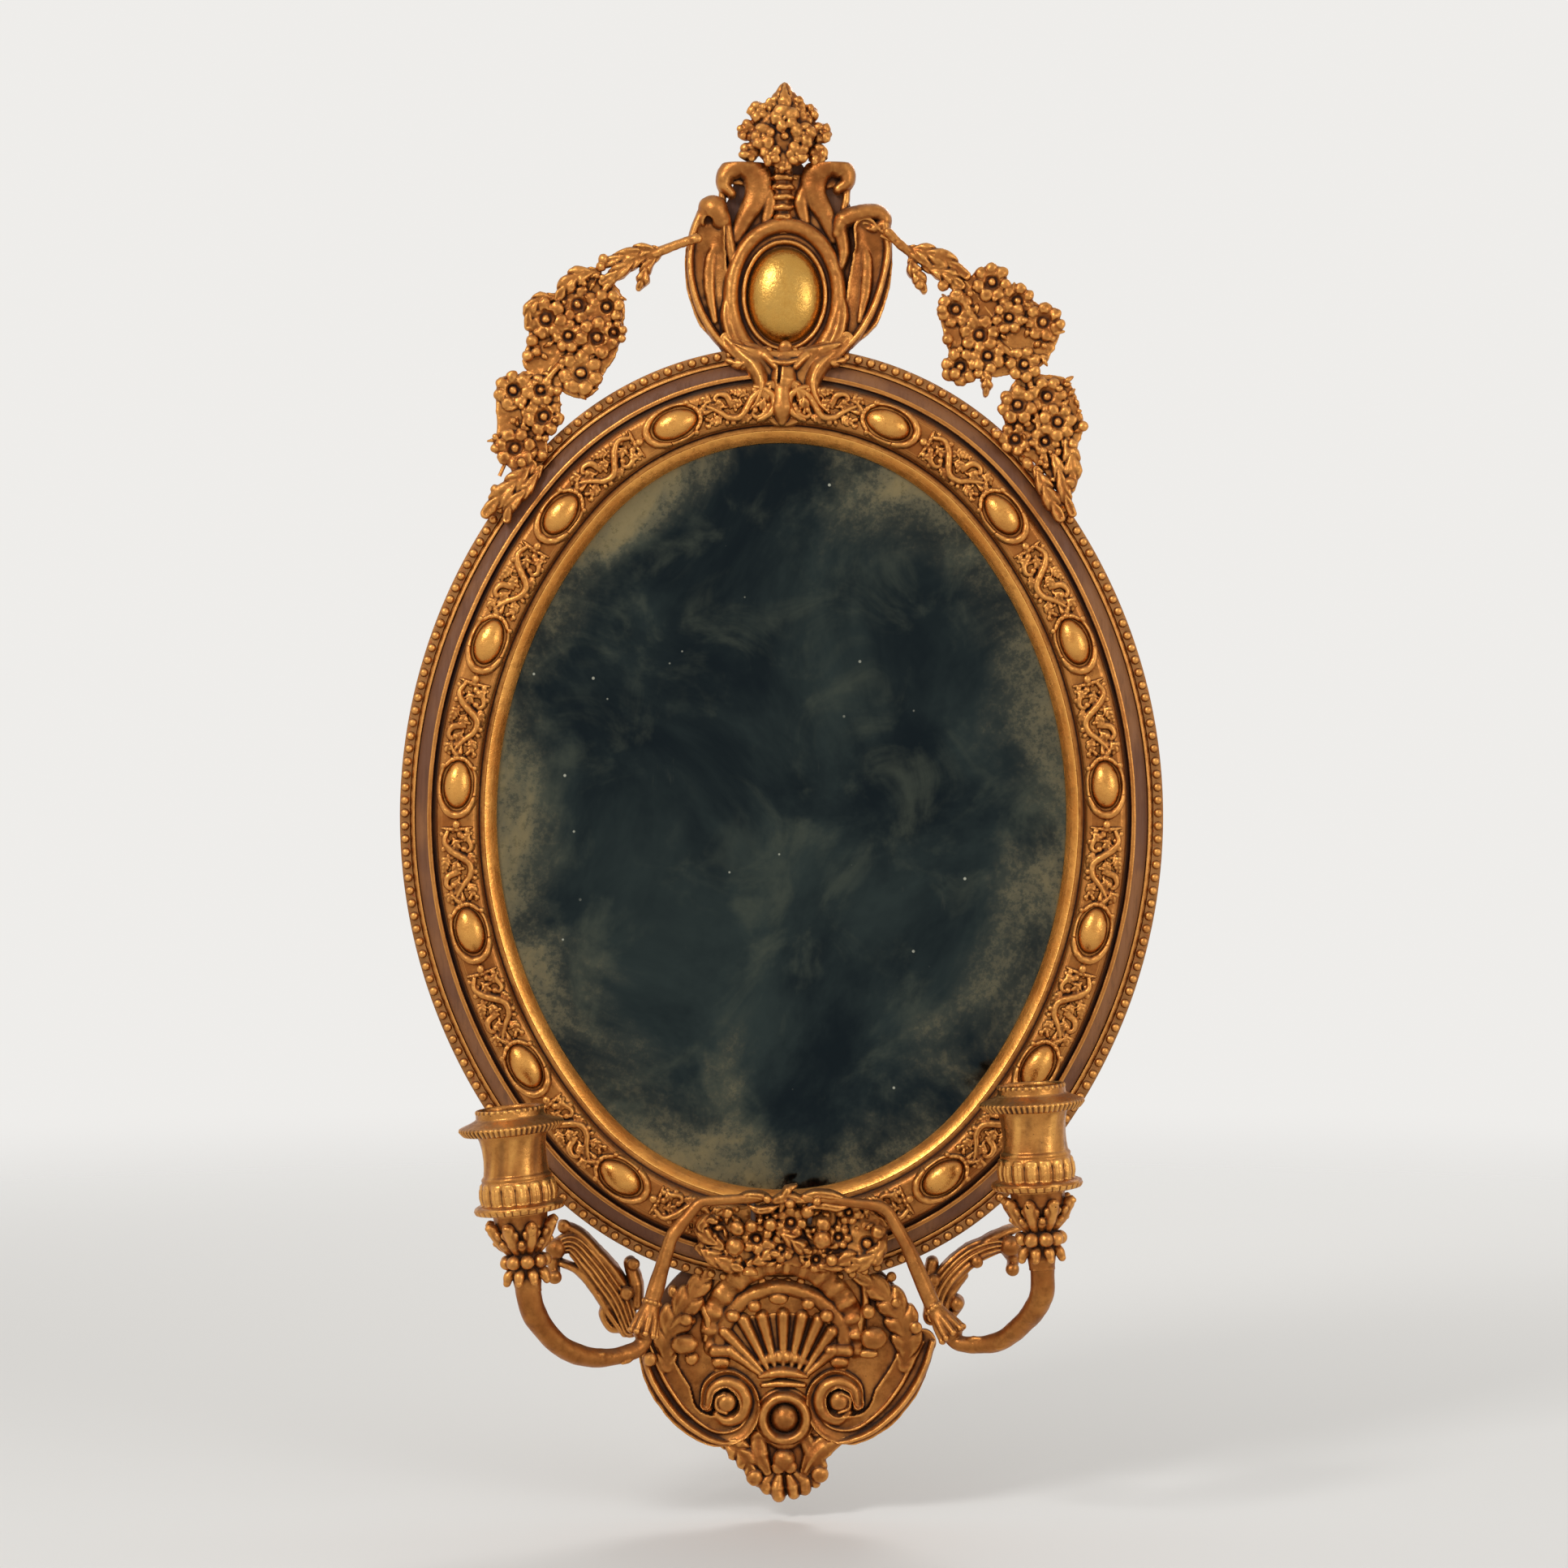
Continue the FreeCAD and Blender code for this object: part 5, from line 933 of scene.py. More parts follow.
    # the arch: a round moulding, a hollow and a fillet by the cabochon
    for wide, high, half, top, foot in ((34.6, 45.0, 5.2, 27.0, 18), (29.2, 38.2, 2.5, 21.4, 17),
                                        (26.4, 34.6, 2.1, 23.4, 17)):
        turn = np.linspace(0, 2 * math.pi, 33)
        ring = [(2 + wide * math.sin(t), 32.5 + high * math.cos(t)) for t in turn]
        clay.stroke(ring, [half], [top], foot, crown=0.8)
    # leaves that clasp the arch below
    for side in (-1, 1):
        clay.stroke([(2 + side * 20, -12), (2 + side * 32, 2), (2 + side * 37, 20), (2 + side * 35, 38)],
                    [3.0, 5.2, 4.6, 1.8], [27, 28.5, 28, 25], 18, crown=0.7, rib=-0.9)
    clay.rough(0.17, 3.5, 21)
    return clay.finish("crest_carving", GILT, clip_base=FLAT, at=(0, CREST_Z),
                       replaced=["crest_wing_left", "crest_wing_right", "crest_scrolls",
                                 "crest_cabochon_ring"])


def floret(clay, place, radius, height, draw):
    """A small flower of round petals close about a sunk heart."""
    x, z = place
    clay.ball((x, height - 2.4, z), (radius * 0.95, 3.2, radius * 0.95), blend=0.5)
    petals = 5
    start = draw.uniform(0, 6.28)
    for number in range(petals):
        angle = start + 2 * math.pi * number / petals + draw.uniform(-0.12, 0.12)
        half = radius * 0.50 * draw.uniform(0.78, 1.14)
        clay.ball((x + 0.58 * radius * math.cos(angle), height + draw.uniform(-0.7, 0.6),
                   z + 0.58 * radius * math.sin(angle)),
                  (half * draw.uniform(0.85, 1.15), half * 0.8, half * draw.uniform(0.85, 1.15)), blend=0.6)
    clay.ball((x, height + 0.9, z), radius * 0.2, blend=0.2)


def crest_top():
    """A stem of stacked rings, a round head of small flowers and a pointed bud."""
    clay = Clay((-28, 12, 74), (32, 42.5, 172), cell=0.6)
    clay.rod([(1, 18.5, 74), (1, 18.5, 112)], [4.6, 6.4])
    for height, half in ((82.5, 6.4), (89, 6.9), (95.5, 7.4), (102, 7.8), (108, 8.2)):
        clay.ball((0.8, 20.8, height), (half, 5.6, 2.9), blend=0.4)
    clay.ball((2, 21, 136), (22, 11, 21), blend=1)
    clay.ball((2, 21, 154), (9, 7.5, 8), blend=1)
    draw = np.random.default_rng(31)
    for place, radius, height in zip([(-14.9, 150.1), (16.9, 148.1), (-22.1, 137.2), (-11.5, 132.9),
                                      (13.8, 134.5), (25.3, 136.4), (-20.5, 123.9), (23.4, 122.3),
                                      (-6.8, 121.6), (1.3, 116.4), (10.0, 121.6), (1.9, 144.2),
                                      (-4.6, 153.5), (9.4, 153.8)],
                                     [6.9, 6.9, 6.5, 8.4, 8.4, 6.9, 6.5, 6.5, 7.2, 5.9, 7.5, 8.7, 5.9, 5.9],
                                     (27, 27, 25.5, 32, 32, 25.5, 26, 26, 32, 30, 32, 33, 28, 28)):
        floret(clay, place, radius, height, draw)
    clay.ball((2, 38, 133), (4.6, 4.5, 4.6), blend=0.6, taken=True)
    clay.ball((2, 33.2, 133), 2.6, blend=0.3)
    # bud: overlapping pointed petals
    for x, lean, low, high, swell, height in ((-3.6, -0.6, 153, 165.5, 4.0, 26),
                                              (7.6, 0.6, 153, 165.5, 4.0, 26),
                                              (2, 0, 153, 168.0, 6.2, 26.5), (2, 0, 151, 163, 4.6, 30.5)):
        clay.rod([(x, height, low), (x - lean * 1.5, height, 0.6 * low + 0.4 * high),
                  (2 + lean * 0.5, height - 0.6, 0.3 * low + 0.7 * high), (2 - lean, height - 1.2, high)],
                 [swell * 0.85, swell, swell * 0.72, 0.9], blend=0.3)
    for lean in (-1, 1):
        clay.rod([(2 + 4.4 * lean, 31.5, 153), (2 + 2.6 * lean, 31.4, 162), (2 + 0.5 * lean, 27.0, 169)],
                 [0.7, 0.8, 0.4], blend=0.3, taken=True)
    clay.rough(0.28, 2.2, 33)
    return clay.finish("crest_flower_head", GILT, clip_base=FLAT, at=(0, CREST_Z),
                       replaced=["crest_stem", "crest_flower", "crest_bud"])


def crest_foot():
    """Strands that gather below the arch and end in a leaf and a drop on the band."""
    clay = Clay((-38, 18, -54), (46, 43.5, 8), cell=0.6)
    back = 26
    clay.slab([(-31.0, 0.7), (-17.7, -11.7), (-11.5, -27.3), (-11.5, -44.5), (-3.7, -52.3), (7.2, -52.3),
               (18.1, -44.5), (18.1, -27.3), (24.4, -11.7), (38.4, 0.7), (8.8, -3.9), (-9.9, -3.9)], 33.5,
              24, edge=3)
    clay.stroke([(-35.2, 3.8), (-26.3, -5.5), (-17.4, -14.1), (-12.7, -25.0), (-15.4, -36.7),
                 (-22.4, -44.5)], [4.7, 5.9, 6.2, 5.6, 4.1, 2.2], [28, 33, 37, 39, 38, 36], back, crown=0.8,
                flutes=2, flute=0.7)
    clay.stroke([(41.8, 4.2), (33.0, -5.5), (24.4, -14.1), (20.0, -25.0), (23.1, -36.7), (30.3, -44.5)],
                [4.7, 5.9, 6.2, 5.6, 4.1, 2.2], [28, 33, 37, 39, 38, 36], back, crown=0.8, flutes=2,
                flute=0.7)
    clay.stroke([(-24.7, -0.8), (-11.5, -6.8), (-3.7, -14.9)], [4.1, 4.7, 3.1], [28, 35, 38], back, crown=0.8)
    clay.stroke([(29.8, -0.8), (16.6, -6.8), (8.8, -14.9)], [4.1, 4.7, 3.1], [28, 35, 38], back, crown=0.8)
    clay.stroke([(2.6, -1.6), (1.9, -11.7), (1.3, -23.0), (0.7, -30.5)], [4.4, 7.5, 9.0, 6.5],
                [30, 37, 40.5, 39.5], back, crown=0.7)
    clay.stroke([(-0.6, -5.5), (-1.2, -18.0), (-2.1, -28.9)], [0.8, 1.1, 0.8], [40, 42, 41], 36, crown=0.3,
                taken=True)
    clay.stroke([(-9.1, -10.2), (1.9, -13.0), (13.5, -9.9)], [2.2, 2.8, 2.2], [35, 41.5, 35], back, crown=0.7)
    clay.rod([(0.4, 34.6, -28.5), (0.4, 35.4, -41), (0.4, 34.6, -50)], [5.0, 6.6, 2.6])
    clay.stroke([(-6.8, -27.3), (-11.8, -38.3), (-9.9, -48.4)], [4.4, 5.0, 1.9], [38, 38, 35], back,
                crown=0.6, lobes=3, lobe=0.25, rib=-0.6)
    clay.stroke([(8.8, -27.3), (15.0, -37.5), (13.8, -48.4)], [4.4, 5.3, 1.9], [38, 38.5, 35], back,
                crown=0.6, lobes=3, lobe=0.25, rib=-0.6)
    clay.stroke([(-17.7, -10.2), (-26.8, -12.7), (-34.6, -10.2)], [4.4, 4.1, 1.9], [34, 33.5, 31], back,
                crown=0.6, lobes=3, lobe=0.3)
    clay.stroke([(24.4, -10.2), (32.5, -11.7), (40.0, -9.9)], [4.4, 4.1, 1.9], [34, 33.5, 31], back,
                crown=0.6, lobes=3, lobe=0.3)
    clay.rough(0.14, 3.0, 37)
    return clay.finish("crest_foot_leaf", GILT, at=(0, CREST_Z), replaced=["crest_foot"])


def domed(name, material, x0, z0, back, wide, high, rise, full=2.0, uneven=0.0, seed=1, replaced=()):
    """A smooth oval cabochon with a flat back."""
    rings, turns = 40, 96
    draw = np.random.default_rng(seed)
    waves = draw.uniform(0, 6.3, (5, 2))
    points = []
    for ring in range(rings + 1):
        lift = math.pi / 2 * ring / rings
        for turn in range(turns):
            angle = 2 * math.pi * turn / turns
            flat = math.cos(lift) ** (2 / full)
            dent = uneven * sum(math.sin(a + flat * 3 * math.cos(angle + b)) for a, b in waves) / 5
            points.append((x0 + wide * flat * math.cos(angle),
                           back + rise * math.sin(lift) + dent * math.sin(lift),
                           z0 + high * flat * math.sin(angle)))
    up = np.repeat(np.sin(np.linspace(0, math.pi / 2, rings + 1)), turns)
    return shown(name, points, ring_faces(rings, turns), material, replaced=replaced,
                 layers={"crease": 0.62 - 0.17 * up ** 0.4, "hollow": 0.85 - 0.45 * up ** 0.35})


crest_body()
crest_top()
crest_foot()
domed("crest_cabochon_dome", BURNISHED, 2, CREST_Z + 32.5, 15.6, 24.6, 32.2, 15.4, full=2.2, uneven=0.3,
      seed=6, replaced=["crest_cabochon"])


# ---------------------------------------------------------------- apron


def apron_scrolls():
    """The field, the two dished C-scrolls with their volutes, and the leaves beside them."""
    clay = Clay((-101, 12, -110), (101, 31, 20), cell=0.66)
    clay.slab([(-85.5, -37.2), (-81.1, -52.1), (-73.3, -67.8), (-59.8, -84.2), (-43.4, -96.3),
               (-33.4, -101.3), (-20.6, -108.4), (2.2, -111.2), (25.0, -108.4), (36.4, -101.3),
               (50.7, -94.9), (64.9, -82.7), (77.7, -65.7), (86.3, -50.0), (92.0, -35.7), (79.2, -14.4),
               (62.1, 2.7), (42.1, 12.7), (22.2, 19.8), (-0.6, 22.7), (-20.6, 19.8), (-39.1, 12.7),
               (-57.6, -1.5), (-73.3, -18.6)], 19.3, FLAT, edge=1.6)
    for line in ([(-85.0, -37.2), (-79.0, -52.1), (-71.9, -65.7), (-59.8, -81.3), (-43.4, -92.7),
                  (-28.4, -91.3), (-20.6, -79.9), (-23.4, -66.4), (-34.5, -58.5), (-45.5, -63.5),
                  (-48.8, -74.9)],
                 [(91.1, -35.7), (82.7, -52.1), (75.6, -64.9), (63.5, -79.9), (47.1, -91.3), (31.4, -90.2),
                  (23.0, -79.6), (23.9, -66.4), (34.3, -58.5), (46.4, -63.5), (49.5, -74.5)]):
        clay.stroke(line, [8.3, 11.4, 12.0, 11.4, 9.4, 7.7, 6.6, 6.3, 5.7, 4.8, 3.4],
                    [20, 20.5, 21, 21.5, 22, 22.5, 23, 23.5, 24.5, 25.5, 25.5], 16, crown=-0.85, edge=1.6)
        clay.stroke(line, [1.4, 2.0, 2.0, 1.9, 1.7, 1.4, 1.3, 1.3, 1.1, 1.0, 0.9],
                    [21.5, 22.5, 23, 23.5, 24, 24, 24, 24.5, 25.5, 26, 26], 18, crown=0.8, edge=1.2)
    clay.stroke([(-89.5, -37.2), (-86.1, -52.1), (-79.0, -66.8), (-66.2, -83.5), (-51.2, -94.9),
                 (-39.1, -99.8), (-32.0, -99.8)], [2.3, 2.6, 2.7, 2.7, 2.6, 2.3, 1.4],
                [25, 27, 28, 28.5, 28, 27, 25], 17, crown=0.7)
    clay.stroke([(97.0, -35.7), (92.0, -51.4), (84.1, -66.4), (72.7, -80.6), (57.8, -92.7), (43.5, -98.7),
                 (34.3, -99.8)], [2.3, 2.6, 2.7, 2.7, 2.6, 2.3, 1.4], [25, 27, 28, 28.5, 28, 27, 25], 17,
                crown=0.7)
    for middle, line in (((-35.5, -73.5),
                          [(-47.4, -77.0), (-45.5, -67.1), (-37.7, -61.1), (-27.4, -63.5), (-22.7, -72.8),
                           (-26.3, -82.7), (-35.5, -85.9), (-41.7, -81.6)]),
                         ((37.3, -72.8),
                          [(48.7, -76.3), (47.2, -66.4), (39.3, -60.7), (29.0, -63.1), (24.4, -72.5),
                           (27.9, -82.0), (36.7, -85.3), (43.0, -80.6)])):
        clay.stroke(line, [3.7, 4.6, 5.1, 5.1, 5.1, 4.8, 4.3, 3.1], [27, 28, 28.5, 28.5, 28, 27, 26, 25],
                    18, crown=0.85)
        clay.knob(middle, 25.6, (6.2, 4.6, 6.2))
    clay.stroke([(-35.5, -80.6), (-41.2, -77.8), (-41.7, -71.3), (-37.0, -68.2)], [1.4, 1.7, 1.9, 1.7],
                [28, 28.5, 29, 29.5], 20, crown=0.7)
    clay.stroke([(36.7, -80.2), (43.2, -77.3), (43.5, -70.8), (38.5, -67.6)], [1.4, 1.7, 1.9, 1.7],
                [28, 28.5, 29, 29.5], 20, crown=0.7)
    # acanthus leaves curling in from the arms
    clay.stroke([(-74.0, -50.0), (-73.0, -34.3), (-67.9, -20.8), (-59.8, -7.9), (-51.2, 3.4),
                 (-44.5, 11.0)], [5.7, 10.0, 11.4, 10.0, 7.4, 3.1], [23, 26, 28, 28, 26, 23], 18, crown=0.5,
                lobes=5, lobe=0.25, rib=-1.4)
    clay.stroke([(-71.2, -25.8), (-64.0, -20.1), (-57.6, -21.5)], [2.8, 4.8, 2.8], [27, 30, 28], 19,
                crown=0.8)
    clay.stroke([(-50.5, 5.6), (-52.6, -8.7), (-47.4, -21.5), (-49.1, -34.3)], [2.0, 2.8, 3.1, 2.0],
                [23, 24, 24, 22], 17, crown=0.7)
    clay.knob((-61.2, -20.3), 27.4, (4.4, 3.4, 4.2))
    clay.knob((-62.2, -36.4), 25.6, (8.6, 5.2, 6.6))
    clay.knob((-57.6, -46.0), 23.4, (4.6, 3.6, 4.6))
    clay.knob((-84.4, -46.0), 25.8, (4.2, 3.6, 4.8))
    clay.knob((-69.7, -3.0), 22.5, (3.4, 3.4, 4.6))
    clay.stroke([(79.4, -50.0), (80.6, -34.3), (77.2, -20.8), (69.9, -8.7), (59.9, 0.6), (48.5, 7.0)],
                [5.7, 10.0, 11.4, 10.3, 8.0, 3.7], [23, 26, 28, 28, 26, 23], 18, crown=0.5, lobes=5,
                lobe=0.25, rib=-1.4)
    clay.stroke([(52.8, 2.7), (54.2, -11.5), (50.7, -22.9), (53.5, -35.7)], [2.0, 2.8, 3.1, 2.0],
                [23, 24, 24, 22], 17, crown=0.7)
    clay.knob((55.8, -15.5), 26.4, (4.4, 3.6, 4.6))
    clay.knob((59.5, -32.6), 25.4, (8.6, 5.2, 7.4))
    clay.knob((56.1, -42.6), 24.4, (6.2, 3.4, 3.2))
    clay.knob((73.7, -9.4), 26.0, (3.6, 3.2, 3.8))
    clay.knob((86.0, -25.5), 26.0, (4.4, 3.4, 4.2))
    clay.knob((70.6, 6.3), 21.5, (3.4, 3.2, 3.4))
    clay.rough(0.18, 3.5, 41)
    return clay.finish("apron_scrollwork", GILT, clip_base=FLAT, at=(0, APRON_Z),
                       replaced=["apron_scroll_left", "apron_scroll_right", "apron_side_leaves"])


def apron_centre():
    """Bound arch, beaded inner arch, the shell on its collar and the ring boss."""
    clay = Clay((-52, 12, -106), (56, 41, 26), cell=0.6)
    clay.stroke([(-43.9, -45.7), (-45.7, -28.6), (-41.1, -11.5), (-29.1, 3.9), (-13.5, 14.1), (3.6, 16.7),
                 (20.7, 11.0), (34.7, -1.3), (44.4, -15.8), (48.9, -31.5), (47.8, -47.1)],
                [4.8, 6.8, 7.7, 7.7, 7.7, 7.7, 7.7, 7.7, 7.7, 6.8, 4.8],
                [22, 24, 25.5, 29, 35, 37.5, 35.5, 29.5, 25.5, 24, 22],
                [17, 17, 17, 19, 24, 26, 24, 19, 17, 17, 17], crown=0.6, ripple=15, ripple_depth=2.4)
    clay.stroke([(-39.1, -53.5), (-39.4, -40.7), (-37.7, -27.9), (-30.3, -14.4), (-17.7, -4.4),
                 (-1.8, -0.1), (15.8, -3.8), (29.3, -12.9), (38.4, -25.0), (40.4, -38.9), (39.0, -52.8)],
                [3.7, 5.1, 5.4, 5.7, 5.7, 5.7, 5.7, 5.7, 5.4, 5.1, 3.7],
                [21, 22.5, 23.5, 25.5, 28.5, 29.5, 28.5, 25.5, 23.5, 22.5, 21], 17.5, crown=0.8)
    for (x, z), wide in zip([(-31.1, -18.3), (-17.4, -11.8), (-1.8, -7.0), (17.3, -10.4), (29.0, -18.3)],
                            (4.6, 4.6, 6.6, 4.6, 4.6)):
        clay.ball((x, 24.6, z), (wide, 4.4, 4.3), blend=0.3)
    for (x, z), wide in zip([(-39.1, -41.4), (37.1, -41.1)], (5.8, 8.0)):
        clay.stroke([(x - wide * 0.7, z), (x + wide * 0.7, z)], [4.2], [25.8], 18, crown=0.6)
        clay.ball((x, 20.5, z - 7.4), (6.2, 4.2, 4.6), blend=0.4)
        clay.ball((x, 19.5, z - 12.5), (4.4, 3.2, 3.2), blend=0.4)
    # shell: a fan of round ribs over a shallow dish
    clay.slab([(-14.9, -57.1), (-33.4, -42.9), (-36.5, -28.6), (-24.9, -20.1), (-12.0, -17.9), (1.1, -16.5),
               (13.6, -17.9), (23.9, -20.1), (32.8, -27.9), (34.3, -41.4), (17.2, -57.1)], 20.4, FLAT,
              edge=1.4)
    tips = [(-33.4, -41.1), (-36.8, -28.9), (-24.6, -21.2), (-12.6, -18.9), (1.1, -17.8), (13.3, -18.9),
            (23.9, -21.2), (32.4, -28.6), (33.8, -40.9)]
    foot = [(-14.3, -55.7), (-12.6, -54.0), (-8.9, -52.5), (-4.1, -51.7), (1.1, -51.4), (6.2, -51.7),
            (11.1, -52.5), (15.3, -54.0), (17.3, -55.7)]
    for (x, z), (fx, fz) in zip(tips, foot):
        middle = (0.45 * x + 0.55 * fx, 0.45 * z + 0.55 * fz)
        clay.stroke([(fx, fz), middle, (x, z)], [2.2, 3.3, 4.6], [24.0, 24.0, 26.2], 18.5, crown=0.9,
                    blend=0.25)
    clay.stroke([(-19.2, -52.1), (-9.2, -46.8), (1.1, -45.1), (11.3, -46.8), (21.5, -52.1)],
                [2.0, 4.0, 5.1, 4.0, 2.0], [22, 24.5, 25.5, 24.5, 22], 18, crown=0.7, ripple=8,
                ripple_depth=0.9)
    clay.stroke([(-14.0, -57.7), (-6.9, -55.4), (1.1, -54.5), (9.1, -55.4), (16.2, -57.7)],
                [2.0, 3.7, 4.3, 3.7, 2.0], [25, 28.5, 29, 28.5, 25], 18, crown=0.8)
    clay.stroke([(-12.3, -63.5), (1.1, -61.9), (14.5, -63.5)], [2.0, 3.1, 2.0], [23, 26.5, 23], 18, crown=0.7)
    # boss: a ring round a ball
    turn = np.linspace(0, 2 * math.pi, 33)
    for radius, half, top in ((14.0, 4.4, 28.4), (18.4, 1.8, 22.6)):
        ring = [(2 + radius * math.sin(t), -84.4 + radius * math.cos(t)) for t in turn]
        clay.stroke(ring, [half], [top], 17, crown=0.85)
    clay.ball((2, 19.5, -84.4), (9.4, 8.6, 9.4), blend=0.2)
    clay.rough(0.15, 3.2, 43)
    return clay.finish("apron_shellwork", GILT, clip_base=FLAT, at=(0, APRON_Z),
                       replaced=["apron_arch", "apron_shell", "apron_boss"])


def apron_drop():
    """Leaves, berries and a fan of petals that close the apron below."""
    clay = Clay((-44, 12, -141), (44, 30, -94), cell=0.6)
    clay.slab([(-39.1, -96.3), (-32.0, -107.0), (-22.7, -121.2), (-12.0, -128.3), (-0.6, -133.8),
               (10.8, -130.5), (21.5, -123.4), (26.4, -111.2), (36.4, -98.4), (19.3, -94.1),
               (-14.9, -94.1)], 19.6, FLAT, edge=1.6)
    clay.stroke([(-39.8, -98.7), (-29.1, -103.8), (-21.7, -112.7), (-18.9, -121.5)], [3.1, 8.0, 7.1, 3.7],
                [23, 26, 26, 24], 17, crown=0.5, lobes=3, lobe=0.22, rib=-1.2)
    clay.stroke([(-14.9, -97.7), (-14.2, -108.4), (-9.2, -118.4)], [5.7, 6.6, 3.7], [22.5, 25, 24], 17,
                crown=0.6, rib=-1.0)
    clay.stroke([(40.7, -96.7), (27.9, -102.4), (20.0, -110.5), (15.3, -118.6)], [3.1, 7.4, 6.6, 3.7],
                [23, 26, 26, 24], 17, crown=0.6, flutes=2, flute=1.0)
    clay.stroke([(15.3, -97.7), (20.7, -107.0), (25.0, -115.5)], [4.8, 6.6, 4.6], [22.5, 25, 24], 17,
                crown=0.6, rib=-1.0)
    clay.stroke([(-8.5, -96.3), (1.9, -101.0), (12.5, -96.3)], [4.0, 5.1, 4.0], [24, 26.5, 24], 17, crown=0.7)
    for (x, z), size, lift in zip([(-17.3, -122.4), (24.6, -120.4), (1.6, -111.0), (-2.1, -115.8),
                                   (5.8, -115.5)], (5.4, 5.6, 7.2, 4.2, 4.2), (22, 22, 22.5, 23.5, 23.5)):
        clay.ball((x, lift, z), (size, size * 0.8, size), blend=0.3)
    for line, half, top in (([(-5.6, -120.5), (-10.0, -126.2), (-9.2, -130.0)], 36, 23.5),
                            ([(9.1, -120.5), (14.5, -125.5), (15.0, -130.6)], 36, 24),
                            ([(-1.8, -121.9), (-2.9, -129.2), (-1.8, -134.5)], 38, 25.5),
                            ([(4.8, -121.9), (7.1, -128.3), (7.9, -133.2)], 34, 25),
                            ([(-11.3, -119.1), (-15.4, -122.6), (-14.6, -126.6)], 26, 22.5),
                            ([(15.8, -120.5), (20.7, -123.4), (21.9, -126.9)], 28, 22.5)):
        clay.stroke(line, [half * 0.08, half * 0.145, half * 0.12], [top - 2, top, top + 0.5], 17,
                    crown=0.8, blend=0.25)
    clay.rough(0.15, 3.0, 47)
    return clay.finish("apron_drop_leaves", GILT, clip_base=FLAT, at=(0, APRON_Z), replaced=["apron_pendant"])


apron_scrolls()
apron_centre()
apron_drop()


# ---------------------------------------------------------------- candle arms

# centre line of each arm as (x, height, z from the apron's top), and the radius of each bend
ARM_LINE = {
    "left": [(-13, 49, 60.5), (-52, 50, 58), (-70, 52, 36), (-79, 54, 6), (-90, 61, -33), (-114, 77, -37),
             (-136, 93, -28), (-151, 105, -9), (-156, 110, 6)],
    "right": [(15, 49, 60.5), (66, 50, 55), (80, 52, 30), (96, 56, -8), (112, 62, -30), (136, 76, -27),
              (153, 94, -10), (161, 106, 6), (161.5, 110, 20)],
}
ARM_BENDS = {"left": [8, 16, 40, 11, 20, 20, 16], "right": [12, 25, 30, 10, 18, 18, 14]}
HUSK_PLACE = {"left": 0.6, "right": 0.5}
# the foot of each cup, 14 mm past the end of its arm's line, and the way the cup leans
CUP_FOOT = {"left": (-157.463, 110, -282.577), "right": (160.645, 110, -268.526)}
CUP_AXIS = {"left": (-0.104528, 0, 0.994522), "right": (-0.0610485, 0, 0.998135)}


def rounded(points, radii, steps=7):
    """A line through points with an arc at each corner."""
    points = [np.array(point, dtype=float) for point in points]
    line = [points[0]]
    for before, corner, after, radius in zip(points, points[1:], points[2:], radii):
        back, on = before - corner, after - corner
        back_length, on_length = np.linalg.norm(back), np.linalg.norm(on)
        back, on = back / back_length, on / on_length
        half = 0.5 * math.acos(max(-1, min(1, float(back @ on))))
        cut = min(radius / max(math.tan(half), 1e-3), 0.48 * back_length, 0.48 * on_length)
        start, end = corner + back * cut, corner + on * cut
        for share in np.linspace(0, 1, steps):
            line.append((1 - share) ** 2 * start + 2 * share * (1 - share) * corner + share ** 2 * end)
    line.append(points[-1])
    return np.array(line)


def at_share(line, share):
    """The place at this share of the line's length."""
    lengths = np.concatenate([[0], np.cumsum(np.linalg.norm(line[1:] - line[:-1], axis=1))])
    lengths = lengths / lengths[-1]
    return np.array([np.interp(share, lengths, line[:, axis]) for axis in range(3)])


